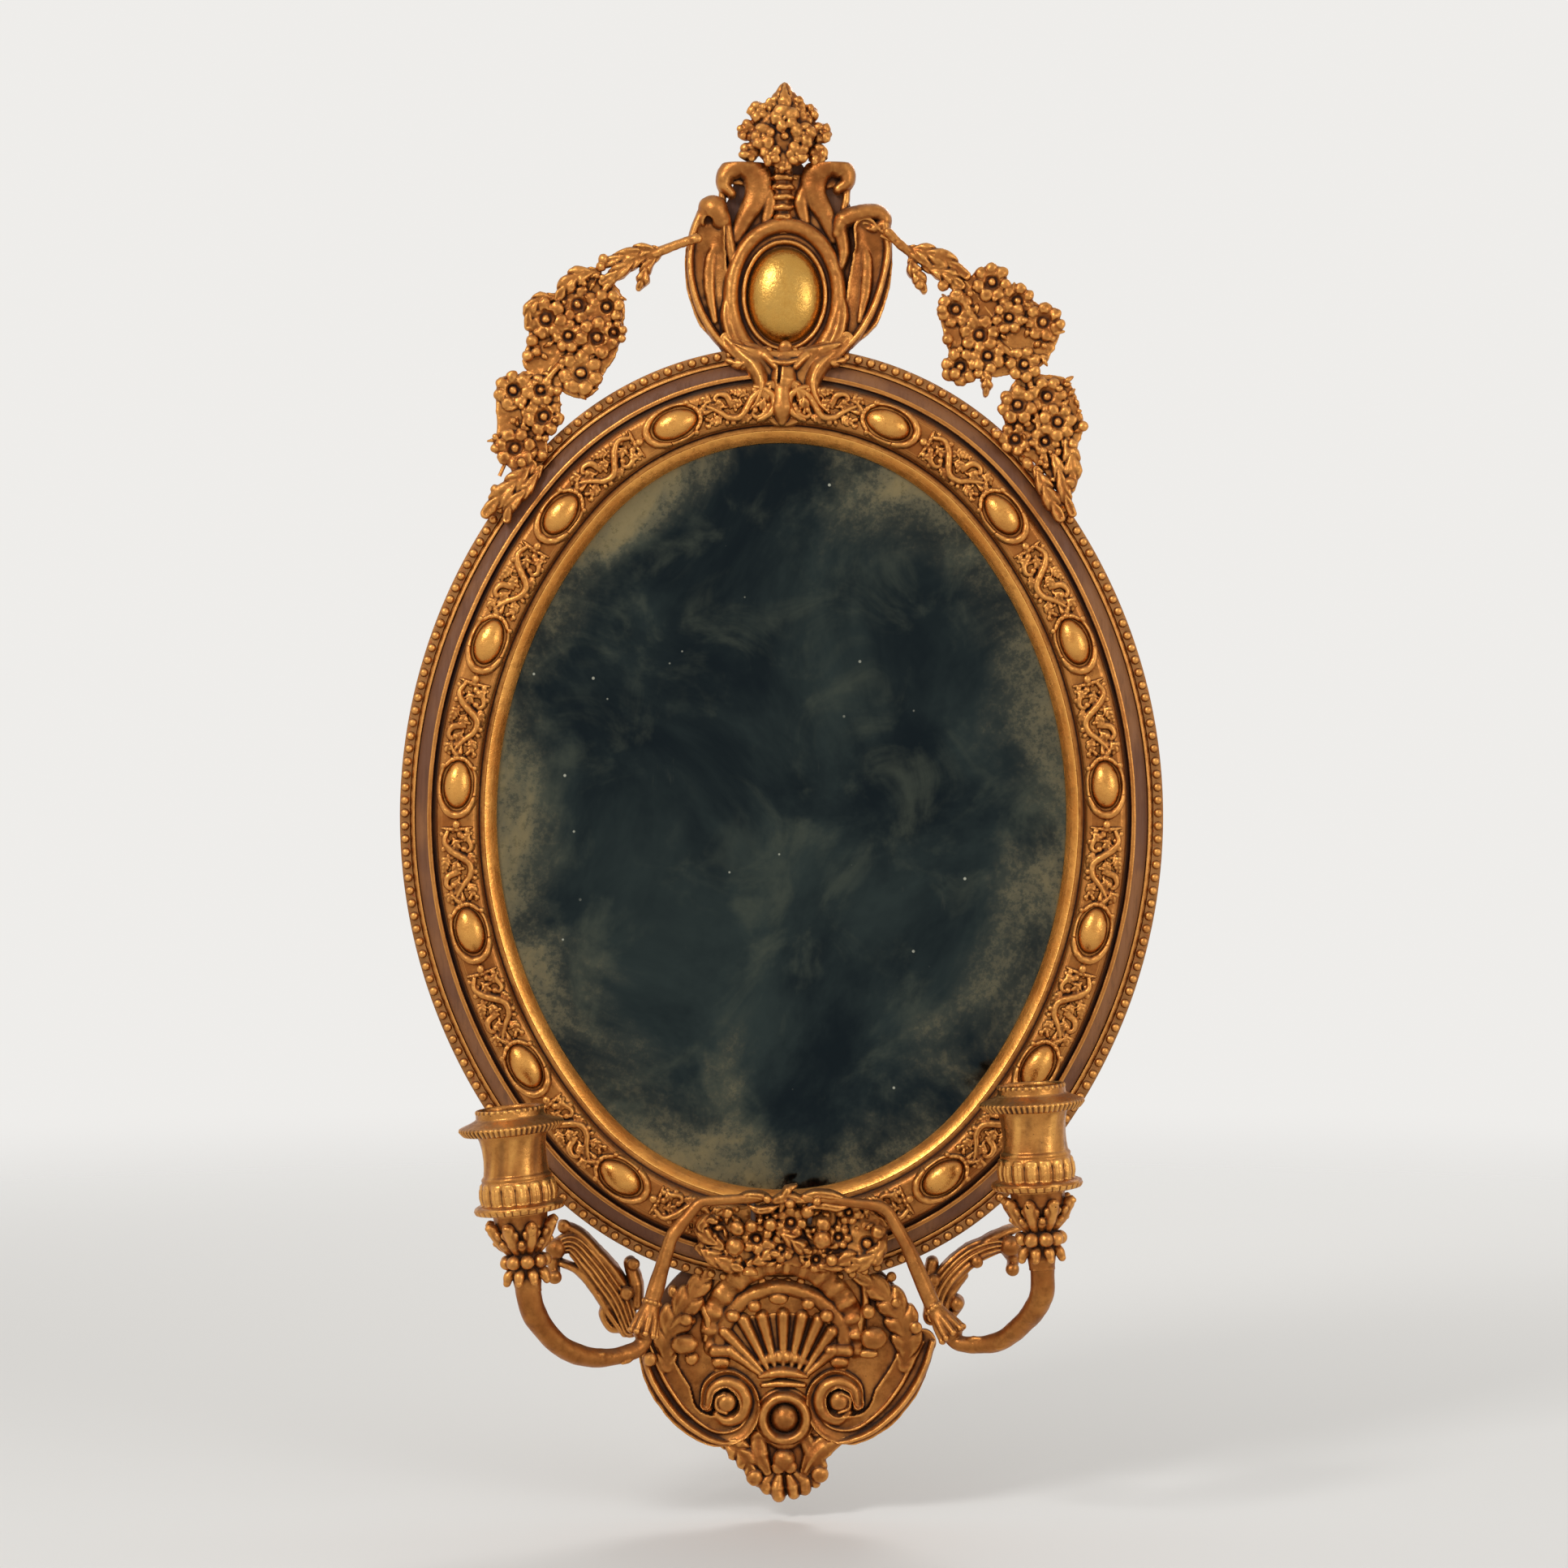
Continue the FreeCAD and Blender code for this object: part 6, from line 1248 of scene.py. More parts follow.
def arm(side):
    """The moulded covering of one arm with its bell husk, and the little leaves on the branch."""
    line = [np.array((x, height, z + APRON_Z)) for x, height, z in ARM_LINE[side]]
    bends = ARM_BENDS[side]
    foot = np.array(CUP_FOOT[side])
    along = (line[4] - line[3]) / np.linalg.norm(line[4] - line[3])
    middle = line[3] + (line[4] - line[3]) * HUSK_PLACE[side]
    rod_line = rounded(line[:4] + [middle], bends[:3])
    branch = through([middle] + line[4:] + [foot])[0]
    every = np.concatenate([rod_line, branch])
    clay = Clay(every.min(axis=0) - 10, every.max(axis=0) + (10, 10, 1), cell=0.72)
    stops = np.linspace(0, 1, 40)
    wobble = 1 + 0.03 * np.sin(stops * 17 + (0 if side == "left" else 2)) + 0.015 * np.sin(stops * 41)
    rod_radius = np.interp(stops, [0, 0.3, 0.45, 0.8, 1], [2.9, 3.1, 3.9, 5.0, 5.4]) * wobble
    branch_radius = np.interp(stops, [0, 0.15, 0.6, 1], [4.6, 5.0, 6.6, 7.9]) * wobble
    for piece, radii in ((rod_line, rod_radius), (branch, branch_radius)):
        places = [at_share(piece, share) for share in stops]
        for a, b, ra, rb in zip(places, places[1:], radii, radii[1:]):
            clay.rod([a, b], [ra, rb])
    # the husk: a bell of leaves round the rod, open towards the branch
    side_axis = np.cross(along, (0, 1, 0))
    side_axis = side_axis / np.linalg.norm(side_axis)
    front_axis = np.cross(side_axis, along)
    clay.rod([middle - along * 12, middle - along * 3, middle + along * 5], [5.4, 7.0, 7.4])
    for number in range(9):
        turn = 2 * math.pi * number / 9
        out = side_axis * math.cos(turn) + front_axis * math.sin(turn)
        clay.rod([middle - along * 12 + out * 3.4, middle - along * 2 + out * 6.0,
                  middle + along * 6 + out * 8.2], [1.4, 2.3, 1.6], blend=0.3)
        clay.ball(middle + along * 7 + out * 8.4, 2.1, blend=0.3)
    for number in range(11):
        turn = 2 * math.pi * number / 11
        out = side_axis * math.cos(turn) + front_axis * math.sin(turn)
        clay.ball(middle - along * 13 + out * 5.2, 1.7, blend=0.3)
    # leaves where the branch leaves it
    for share, reach, turn in ((0.16, 6.5, 0.6), (0.30, 6.0, 2.2), (0.44, 7.0, -0.5)):
        place, ahead = at_share(branch, share), at_share(branch, share + 0.06)
        way = (ahead - place) / np.linalg.norm(ahead - place)
        out = np.cross(way, (0, 1, 0)) * math.cos(turn) + np.array((0, 1, 0)) * math.sin(turn)
        clay.rod([place + out * 3.5, place + way * 5 + out * 5.4, place + way * 10 + out * reach],
                 [1.5, 2.2, 0.9], blend=0.4)
    clay.rough(0.12, 4.0, 51 if side == "left" else 53)
    clay.finish(f"branch_{side}", GILT, replaced=[f"arm_{side}", f"arm_husk_{side}"])


# ---------------------------------------------------------------- candle cups


def on_cup(side, points):
    """Turn places given from the cup's own foot and axis into places on the mirror."""
    axis = np.array(CUP_AXIS[side])
    across = np.array((axis[2], 0, -axis[0]))
    return (np.array(CUP_FOOT[side]) + points[:, :1] * across + points[:, 1:2] * np.array((0, 1, 0))
            + points[:, 2:] * axis)


def turned(name, side, profile, waves, around, replaced, body="frame"):
    """A piece turned round the cup's axis from (radius, z) points, its radius waved by waves(angle, r, z)."""
    fine = 0.6
    profile = np.array(profile, dtype=float)
    stations = [profile[0]]
    for a, b in zip(profile, profile[1:]):
        count = max(1, int(math.ceil(np.hypot(*(b - a)) / fine)))
        stations.extend(a + (b - a) * share for share in np.linspace(0, 1, count + 1)[1:])
    stations = np.array(stations)
    rounded_off = stations.copy()
    rounded_off[1:-1] = 0.25 * stations[:-2] + 0.5 * stations[1:-1] + 0.25 * stations[2:]
    radii, heights = rounded_off[:, 0][:, None], rounded_off[:, 1][:, None]
    angle = np.linspace(0, 2 * math.pi, around, endpoint=False)[None, :]
    extra = waves(angle, radii, heights)
    radius = np.maximum(radii + extra, 0)
    places = np.stack([radius * np.cos(angle), radius * np.sin(angle),
                       np.broadcast_to(heights, radius.shape)], -1)
    points = on_cup(side, places.reshape(-1, 3))
    rows = np.arange(len(stations) - 1)[:, None] * around
    here, after = np.arange(around)[None, :], (np.arange(around)[None, :] + 1) % around
    quads = np.stack([rows + here, rows + after, rows + around + after, rows + around + here],
                     -1).reshape(-1, 4)
    inward = np.clip(0.5 - 0.34 * extra, 0, 1).ravel()
    layers = {"crease": inward, "hollow": 0.5 * inward + 0.25}
    return shown(name, points, quads[:, ::-1], CUP_GILT, body=body, replaced=replaced, layers=layers)


def window(value, start, end, soft):
    """1 between start and end and 0 outside, eased over this width."""
    return 1 / (1 + np.exp(-(value - start) / soft * 4)) * 1 / (1 + np.exp((value - end) / soft * 4))


def cup(side):
    """The nozzle, the loose drip pan with its socket, and the leaves and berries below them."""
    seed = 1.3 if side == "left" else 2.9

    def cup_waves(angle, r, z):
        outside = (r > 15) * 1.0
        beads = window(z, 39.4, 42.3, 0.5) * (1.15 * np.sqrt(np.abs(np.sin(17 * angle))) - 0.5)
        lip = window(z, 42.6, 44.6, 0.6) * 0.22 * np.sin(9 * angle + seed)
        arch = 58.5 - 3.2 * (1 - np.abs(np.sin(8 * angle))) ** 2
        lobes = window(z, 45.6, arch, 0.7) * (1.9 * np.sqrt(np.abs(np.sin(8 * angle))) - 1.0)
        veins = window(z, 46.0, arch - 3, 0.7) * 0.35 * np.cos(48 * angle)
        soft = window(z, 61, 86, 3) * 0.16 * (np.sin(5 * angle + seed) + np.sin(11 * angle + z * 0.12))
        return outside * (beads + lip + lobes + veins + soft)

    turned(f"cup_{side}", side,
           [(0, 39.2), (25.5, 39.2), (27.0, 40.0), (27.6, 41.6), (28.2, 42.6), (27.8, 43.9), (25.6, 45.0),
            (23.2, 45.4), (22.6, 46.2), (23.3, 50), (23.0, 54), (22.4, 58), (21.6, 59.6), (22.0, 60.6),
            (21.6, 61.8), (20.3, 63.2), (19.7, 68), (19.5, 73), (19.9, 80), (20.8, 85), (21.8, 87.9),
            (13.2, 87.9), (13.2, 53.4), (0, 53.4)], cup_waves, around=272,
           replaced=[f"candle_nozzle_{side}"])

    def pan_waves(angle, r, z):
        crimps = window(r, 28.6, 34, 0.7) * window(z, 88.0, 92.2, 0.5) * 0.55 * np.cos(56 * angle)
        rim = window(r, 30.5, 34, 0.7) * window(z, 91.8, 94.2, 0.4) * 0.25 * np.cos(56 * angle)
        beads = window(r, 19.2, 22.5, 0.4) * window(z, 101.6, 105, 0.5) * 0.35 * np.cos(30 * angle + seed)
        soft = 0.18 * window(r, 21, 34, 1) * np.sin(4 * angle + seed)
        return crimps + rim + beads + soft

    turned(f"pan_{side}_gilt", side,
           [(0, 54.2), (12.5, 54.2), (12.5, 87.0), (13.4, 88.2), (28.6, 88.3), (29.6, 88.8), (31.4, 91.0),
            (32.2, 92.2), (32.2, 93.4), (30.8, 94.3), (26, 96.0), (22.3, 97.6), (21.2, 98.6), (21.0, 101.6),
            (21.1, 103.0), (20.4, 104.0), (19.2, 103.9), (18.4, 102.6), (18.2, 94.4), (16.8, 93.0),
            (12.0, 92.2), (11.1, 91.2), (11.05, 56.0), (0, 55.6)], pan_waves, around=336,
           body=f"pan_{side}", replaced=[f"drip_pan_{side}"])

    # calyx, berries and the leaves that clasp the branch, modelled about the cup's own axis
    clay = Clay((-25, -25, -9), (25, 25, 39.6), cell=0.62)
    cut, x, h, z = clay.window(clay.low, [axis[-1] for axis in clay.axes], 0)
    core = np.interp(z, [-9, -4, 2, 12, 16, 24, 30, 36, 39.6],
                     [8.1, 8.8, 9.6, 10.5, 10.8, 13.8, 16.5, 16.8, 17.5])
    clay.put(cut, np.maximum(np.sqrt(x ** 2 + h ** 2) - core, z - 39.4))
    draw = np.random.default_rng(7 if side == "left" else 11)

    def round_axis(turn, radius, height):
        return (radius * math.cos(turn), radius * math.sin(turn), height)

    for number in range(8):
        turn = 2 * math.pi * (number + draw.uniform(-0.06, 0.06)) / 8 + 0.35
        clay.rod([round_axis(turn, 9.0, 14), round_axis(turn, 14.5, 22), round_axis(turn, 18.6, 29.5),
                  round_axis(turn, 21.3, 33)], [2.2, 3.8, 4.0, 1.8], blend=0.4)
        clay.ball(round_axis(turn, 21.8, 31.6), (2.4, 2.4, 2.0), blend=0.4)
        for lean in (-0.20, 0.20):
            clay.rod([round_axis(turn + lean * 0.6, 12.5, 19), round_axis(turn + lean, 17.6, 26.5),
                      round_axis(turn + lean * 1.2, 18.9, 27.0)], [1.6, 2.2, 1.3], blend=0.3)
        clay.rod([round_axis(turn, 12.2, 17), round_axis(turn, 17.8, 23.5), round_axis(turn, 22.6, 31.5)],
                 [0.7, 0.8, 0.6], blend=0.2, taken=True)
        between = turn + math.pi / 8
        clay.rod([round_axis(between, 9.5, 15), round_axis(between, 14.0, 19.5),
                  round_axis(between, 16.6, 21.6)], [1.8, 2.8, 1.8], blend=0.4)
        clay.ball(round_axis(between, 17.0, 21.0), 2.0, blend=0.4)
    for number in range(9):
        turn = 2 * math.pi * (number + draw.uniform(-0.08, 0.08)) / 9
        size = 4.3 + draw.uniform(-0.35, 0.4)
        clay.ball(round_axis(turn, 12.2, 8.6 + draw.uniform(-0.4, 0.4)), size, blend=0.25)
    for number in range(8):
        turn = 2 * math.pi * (number + 0.5 + draw.uniform(-0.08, 0.08)) / 8
        clay.rod([round_axis(turn, 8.0, 3.6), round_axis(turn, 11.6, 0.2), round_axis(turn, 12.9, -3.2)],
                 [2.6, 3.2, 2.2], blend=0.3)
        clay.ball(round_axis(turn, 13.2, -3.8), 2.3, blend=0.3)
    clay.rough(0.16, 3.0, 61 if side == "left" else 67)
    clay.finish(f"cup_leaves_{side}", GILT, bend=lambda points: on_cup(side, points),
                replaced=[f"bead_collar_{side}", f"cup_calyx_{side}"])


for cup_side in ("left", "right"):
    arm(cup_side)
    cup(cup_side)


# ---------------------------------------------------------------- garlands, basket and lower scrolls


def rosette(clay, place, radius, back, rise, draw):
    """A flower: a ring of broad round petals about a sunk heart with a knob in it."""
    x, z = place
    lean = draw.uniform(-0.12, 0.12, 2)
    clay.ball((x, back + 0.16 * rise, z), (0.84 * radius, 0.46 * rise, 0.84 * radius), blend=0.4)

    def petal(angle, reach, wide, lift, thick, blend):
        dx, dz = reach * radius * math.cos(angle), reach * radius * math.sin(angle)
        clay.ball((x + dx, back + lift * rise + lean[0] * dx + lean[1] * dz, z + dz),
                  (wide * radius, thick * rise, wide * radius), blend=blend)

    petals = 7
    turn = draw.uniform(0, 6.28)
    for number in range(petals):
        petal(turn + 2 * math.pi * (number + draw.uniform(-0.08, 0.08)) / petals, 0.66,
              0.335 * draw.uniform(0.92, 1.06), 0.42, 0.34, 0.25)
    clay.ball((x, back + 0.92 * rise, z), (0.46 * radius, 0.62 * rise, 0.46 * radius), blend=0.5, taken=True)
    clay.ball((x, back + 0.52 * rise, z), (0.19 * radius, 0.26 * rise, 0.19 * radius), blend=0.2)


def heap(clay, outline, back, top, draw, count):
    """Leaves and small buds packed together inside an outline, for larger flowers to lie on."""
    clay.slab(outline, top - 3.2, back, edge=2.6)
    outline = np.array(outline)
    low, high = outline.min(axis=0), outline.max(axis=0)
    placed = 0
    while placed < count:
        x, z = draw.uniform(low, high)
        if not within(outline, np.array([[x]]), np.array([[z]]))[0, 0]:
            continue
        placed += 1
        if placed % 3:
            turn, length, half = draw.uniform(0, 6.28), draw.uniform(5, 9), draw.uniform(1.3, 2.1)
            way = np.array((math.cos(turn), math.sin(turn))) * length / 2
            lift = top - draw.uniform(0, 1.6)
            clay.rod([(x - way[0], lift - 2.6, z - way[1]), (x, lift - half * 0.6, z),
                      (x + way[0], lift - 2.2, z + way[1])], [0.7, half, 0.6], blend=0.4)
        else:
            half = draw.uniform(1.5, 2.5)
            clay.ball((x, top - 0.4, z), (half, half * 0.9, half), blend=0.4)


def garland(side, low, high, flowers, leaves, stem, buds, heaps, seed):
    """A wound stem with leaves at both ends and flowers and buds heaped between them."""
    clay = Clay(low, high, cell=0.62)
    draw = np.random.default_rng(seed)
    back = 27.5
    clay.rod([(x, 31.0, z) for x, z in stem], np.linspace(2.9, 1.7, len(stem)))
    for line, half in leaves:
        clay.stroke(line, half, [32.5, 35.5, 36, 33.5], 27, crown=0.35, lobes=3, lobe=0.2, rib=-1.1)
    for outline in heaps:
        heap(clay, outline, 27.2, 33.0, draw, 40)
    for (x, z), radius in flowers:
        rosette(clay, (x, z), radius, back + draw.uniform(-0.8, 1.6), 8.2, draw)
    for (x, z), radius in buds:
        clay.ball((x, 32.5, z), (radius, radius * 0.9, radius), blend=0.3)
    clay.rough(0.26, 2.3, seed)
    clay.finish(f"garland_{side}", GILT,
                replaced=[f"garland_flowers_{side}", f"garland_leaves_{side}"])


garland("left", (-196, 26, 188), (-52, 41, 382),
        zip([(-171.9, 273.0), (-152.2, 256.0), (-170.5, 235.6), (-128.4, 283.8), (-118.2, 306.3),
             (-150.8, 318.5), (-130.4, 328.0), (-112.0, 326.0), (-136.5, 307.6), (-154.2, 273.0),
             (-107.3, 309.7)], [13.1, 13.1, 13.9, 15.0, 13.9, 14.1, 13.6, 12.0, 11.4, 10.6, 8.7]),
        [([(-78.0, 362.7), (-88.9, 362.7), (-99.8, 358.6), (-114.8, 353.9)], [2.2, 4.6, 5.4, 3.0]),
         ([(-78.0, 360.0), (-86.2, 351.8), (-88.9, 343.7), (-91.6, 338.2)], [1.6, 3.8, 4.6, 1.9]),
         ([(-80.8, 361.4), (-93.0, 355.9), (-103.9, 349.1), (-114.8, 342.3)], [1.6, 4.1, 5.2, 2.7]),
         ([(-117.5, 349.1), (-129.7, 346.4), (-137.9, 339.6), (-143.3, 331.4)], [2.4, 6.5, 6.0, 2.7]),
         ([(-146.0, 332.8), (-154.2, 331.4), (-161.0, 324.6), (-162.4, 313.8)], [2.4, 4.6, 4.6, 2.4]),
         ([(-159.6, 225.4), (-169.2, 215.8), (-180.0, 205.0), (-189.6, 194.1)], [3.3, 6.3, 6.8, 3.5]),
         ([(-154.2, 224.0), (-162.4, 210.4), (-173.2, 199.5), (-176.0, 190.3)], [1.9, 4.1, 4.6, 2.7])],
        [(-53.6, 370.2), (-65.1, 366.8), (-76.7, 362.0), (-91.6, 355.9), (-105.2, 346.4), (-116.1, 332.8),
         (-122.9, 316.5), (-132.4, 300.2), (-148.8, 281.1), (-162.4, 259.4), (-167.8, 234.9),
         (-171.9, 222.6)],
        zip([(-114.1, 356.6), (-115.4, 351.8), (-159.6, 304.2), (-162.4, 294.7), (-156.9, 297.4),
             (-143.3, 272.3), (-136.5, 275.7), (-183.4, 235.6), (-183.4, 209.7), (-166.4, 226.7),
             (-152.8, 231.5)], [3.5, 3.3, 4.1, 3.8, 3.3, 3.3, 3.3, 3.0, 3.0, 3.5, 3.5]),
        [[(-142.0, 335.5), (-154.2, 334.2), (-163.7, 321.9), (-162.4, 308.3), (-166.4, 290.6),
          (-156.9, 281.1), (-142.0, 273.0), (-135.2, 268.9), (-121.6, 268.9), (-113.4, 283.8),
          (-105.2, 297.4), (-99.8, 326.0), (-108.0, 343.7), (-117.5, 349.1), (-129.7, 349.1)],
         [(-169.2, 283.8), (-180.7, 281.1), (-183.4, 267.5), (-182.8, 247.1), (-186.2, 234.9),
          (-176.0, 229.4), (-162.4, 225.4), (-150.1, 229.4), (-148.8, 243.0), (-142.0, 259.4),
          (-142.0, 270.2), (-147.4, 281.1), (-154.2, 287.9)]], 71)
garland("right", (52, 26, 186), (200, 41, 386),
        zip([(134.8, 342.3), (151.1, 330.1), (111.6, 324.6), (126.6, 308.3), (145.6, 319.2), (167.4, 316.5),
             (114.4, 287.9), (132.0, 294.7), (155.2, 289.3), (151.1, 263.4), (170.1, 268.9), (176.9, 252.6),
             (149.7, 241.7), (168.8, 240.3)],
            [13.1, 12.0, 12.5, 13.1, 11.4, 13.1, 12.8, 11.7, 12.0, 13.1, 13.3, 12.8, 11.4, 10.3]),
        [([(81.7, 364.1), (91.2, 361.4), (104.8, 355.9), (118.4, 346.4)], [1.9, 6.3, 6.8, 3.0]),
         ([(83.1, 358.6), (84.4, 350.5), (88.5, 343.7), (91.2, 336.9)], [1.9, 4.6, 4.9, 2.2]),
         ([(91.2, 351.8), (100.8, 349.1), (108.9, 345.0), (115.7, 339.6)], [1.9, 5.2, 5.4, 2.4]),
         ([(126.6, 286.6), (130.7, 281.1), (131.4, 275.7), (130.7, 270.2)], [2.2, 3.8, 3.8, 1.6]),
         ([(181.0, 243.0), (185.1, 232.2), (186.4, 221.3), (185.1, 210.4)], [2.7, 5.7, 6.3, 3.3]),
         ([(163.3, 222.6), (167.4, 213.1), (172.8, 202.2), (178.3, 191.4)], [2.7, 5.4, 6.0, 3.5]),
         ([(172.8, 234.9), (176.9, 224.0), (181.0, 207.7), (186.4, 194.1)], [2.2, 4.1, 4.6, 2.7])],
        [(68.1, 374.3), (76.3, 366.1), (84.4, 359.3), (99.4, 349.1), (111.6, 338.2), (121.2, 321.9),
         (132.0, 308.3), (148.4, 294.7), (157.9, 281.1), (162.0, 262.1), (166.0, 243.0), (170.1, 224.0)],
        zip([(85.1, 349.1), (88.5, 340.3), (103.5, 339.6), (102.8, 324.6), (106.2, 305.6), (111.0, 283.2),
             (125.9, 283.2), (144.3, 266.2), (137.5, 244.4), (157.2, 226.0), (184.4, 213.8), (186.4, 238.3),
             (193.2, 249.8), (178.3, 315.1)],
            [3.5, 3.3, 3.8, 3.5, 3.8, 3.8, 3.3, 3.8, 3.0, 3.8, 4.1, 3.5, 3.3, 3.5]),
        [[(123.9, 349.1), (138.8, 349.1), (151.1, 336.9), (167.4, 327.4), (179.6, 315.1), (172.8, 294.7),
          (163.3, 286.6), (145.6, 282.5), (132.0, 281.1), (110.3, 279.8), (106.9, 294.7), (103.5, 308.3),
          (100.8, 327.4), (104.8, 332.8)],
         [(153.8, 287.9), (168.8, 283.8), (183.7, 279.8), (191.9, 260.7), (193.9, 247.1), (190.5, 237.6),
          (187.8, 222.6), (186.4, 207.7), (176.9, 207.7), (166.0, 222.6), (151.1, 234.9), (144.3, 247.1),
          (142.2, 264.8)]], 73)


def basket():
    """Buds, flowers and leaves heaped where the arms come out of the frame."""
    clay = Clay((-54, 31.5, 12), (66, 57, 68), cell=0.62)
    draw = np.random.default_rng(79)
    heap(clay, [(-53.3, 41.2), (-40.5, 49.8), (-20.6, 54.0), (-0.6, 58.3), (22.2, 56.9), (42.1, 55.4),
                (59.2, 49.8), (69.2, 38.4), (65.6, 21.3), (46.4, 12.0), (30.7, 14.1), (13.6, 14.1),
                (-6.3, 16.3), (-26.3, 12.0), (-43.4, 18.4), (-53.3, 29.8)], 32, 41, draw, 90)
    for place, radius, lift in (((-16.0, 33.4), 11.5, 40), ((5.8, 44.1), 11.0, 42),
                                ((54.6, 29.8), 15.5, 37), ((42.8, 50.5), 8.6, 41), ((-0.6, 27.0), 9.5, 40),
                                ((22.2, 19.8), 9.0, 37.5), ((-9.2, 47.6), 7.6, 43),
                                ((-32.7, 18.4), 8.2, 37), ((36.4, 34.1), 8.6, 38.5),
                                ((-46.2, 31.2), 7.6, 38)):
        rosette(clay, place, radius, lift - 3.5, 8.6, draw)
    for place, half, lift in (((-34.0, 50.3), 3.8, 45), ((-28.0, 40.5), 4.8, 45),
                              ((-29.7, 29.0), 5.8, 45.5), ((-19.2, 41.9), 4.2, 47),
                              ((-7.0, 43.2), 4.2, 48.5), ((25.9, 33.2), 6.0, 45.5), ((26.4, 42.9), 4.8, 45),
                              ((-19.9, 11.0), 5.0, 40), ((61.3, 38.1), 4.4, 44), ((16.5, 51.2), 4.2, 47),
                              ((32.1, 19.8), 4.0, 42)):
        clay.ball((place[0], lift, place[1]), (half, half * 0.9, half), blend=0.3)
    for line, half, top in (([(-39.1, 28.4), (-47.4, 34.1), (-51.2, 41.2), (-46.9, 45.2), (-41.7, 44.3)],
                             [3.7, 5.4, 5.1, 4.3, 2.0], 45),
                            ([(-2.1, 37.6), (5.8, 33.4), (13.6, 27.7), (18.2, 25.5)], [2.0, 5.1, 5.1, 2.0],
                             48.5), ([(-20.6, 17.0), (-13.5, 19.8), (-7.8, 23.8), (-2.1, 23.8)],
                                     [2.3, 4.6, 4.6, 2.0], 45),
                            ([(23.6, 14.1), (33.6, 17.0), (43.5, 20.5), (50.7, 17.0)], [2.3, 5.7, 6.0, 2.3],
                             43), ([(-53.3, 27.0), (-43.4, 21.3), (-33.4, 17.0), (-26.3, 14.1)],
                                   [2.6, 5.7, 5.7, 2.6], 42.5),
                            ([(67.8, 34.1), (60.6, 24.1), (50.7, 17.0), (42.1, 14.1)], [2.3, 4.8, 5.4, 2.6],
                             43)):
        clay.stroke(line, half, [top - 3, top, top + 0.6, top - 1], 34, crown=0.5, lobes=3, lobe=0.2,
                    rib=-1.0)
    # leaves along the bar, over the ends of the two arms
    for line, half in (([(-29.1, 59.7), (-20.6, 61.9), (-12.0, 61.1), (-4.9, 58.3)], [1.1, 2.8, 3.1, 1.1]),
                       ([(-9.2, 55.4), (-0.6, 59.7), (7.9, 60.0), (16.5, 57.6)], [1.1, 3.7, 3.7, 1.1]),
                       ([(-0.6, 51.9), (1.5, 59.7), (4.4, 65.4), (9.3, 68.0)], [1.4, 3.1, 3.1, 1.1]),
                       ([(-20.6, 55.4), (-14.9, 52.6), (-7.8, 53.3), (-2.1, 55.4)], [1.1, 2.8, 2.8, 1.1]),
                       ([(10.8, 59.7), (20.7, 62.6), (32.1, 61.9), (42.1, 59.0)], [1.1, 3.1, 3.1, 1.1]),
                       ([(16.5, 54.0), (26.4, 55.4), (35.0, 54.0), (43.5, 55.4)], [1.1, 2.8, 2.8, 1.1])):
        clay.stroke(line, half, [50, 53.5, 54, 51], 41, crown=0.4, rib=-0.8)
    for place, half in (((-9.2, 60.0), 2.6), ((5.4, 56.9), 3.2), ((22.4, 58.6), 2.6)):
        clay.ball((place[0], 53.2, place[1]), half, blend=0.3)
    clay.rough(0.24, 2.4, 83)
    clay.finish("basket_flowers", GILT, at=(0, APRON_Z), replaced=["apron_flowers"])


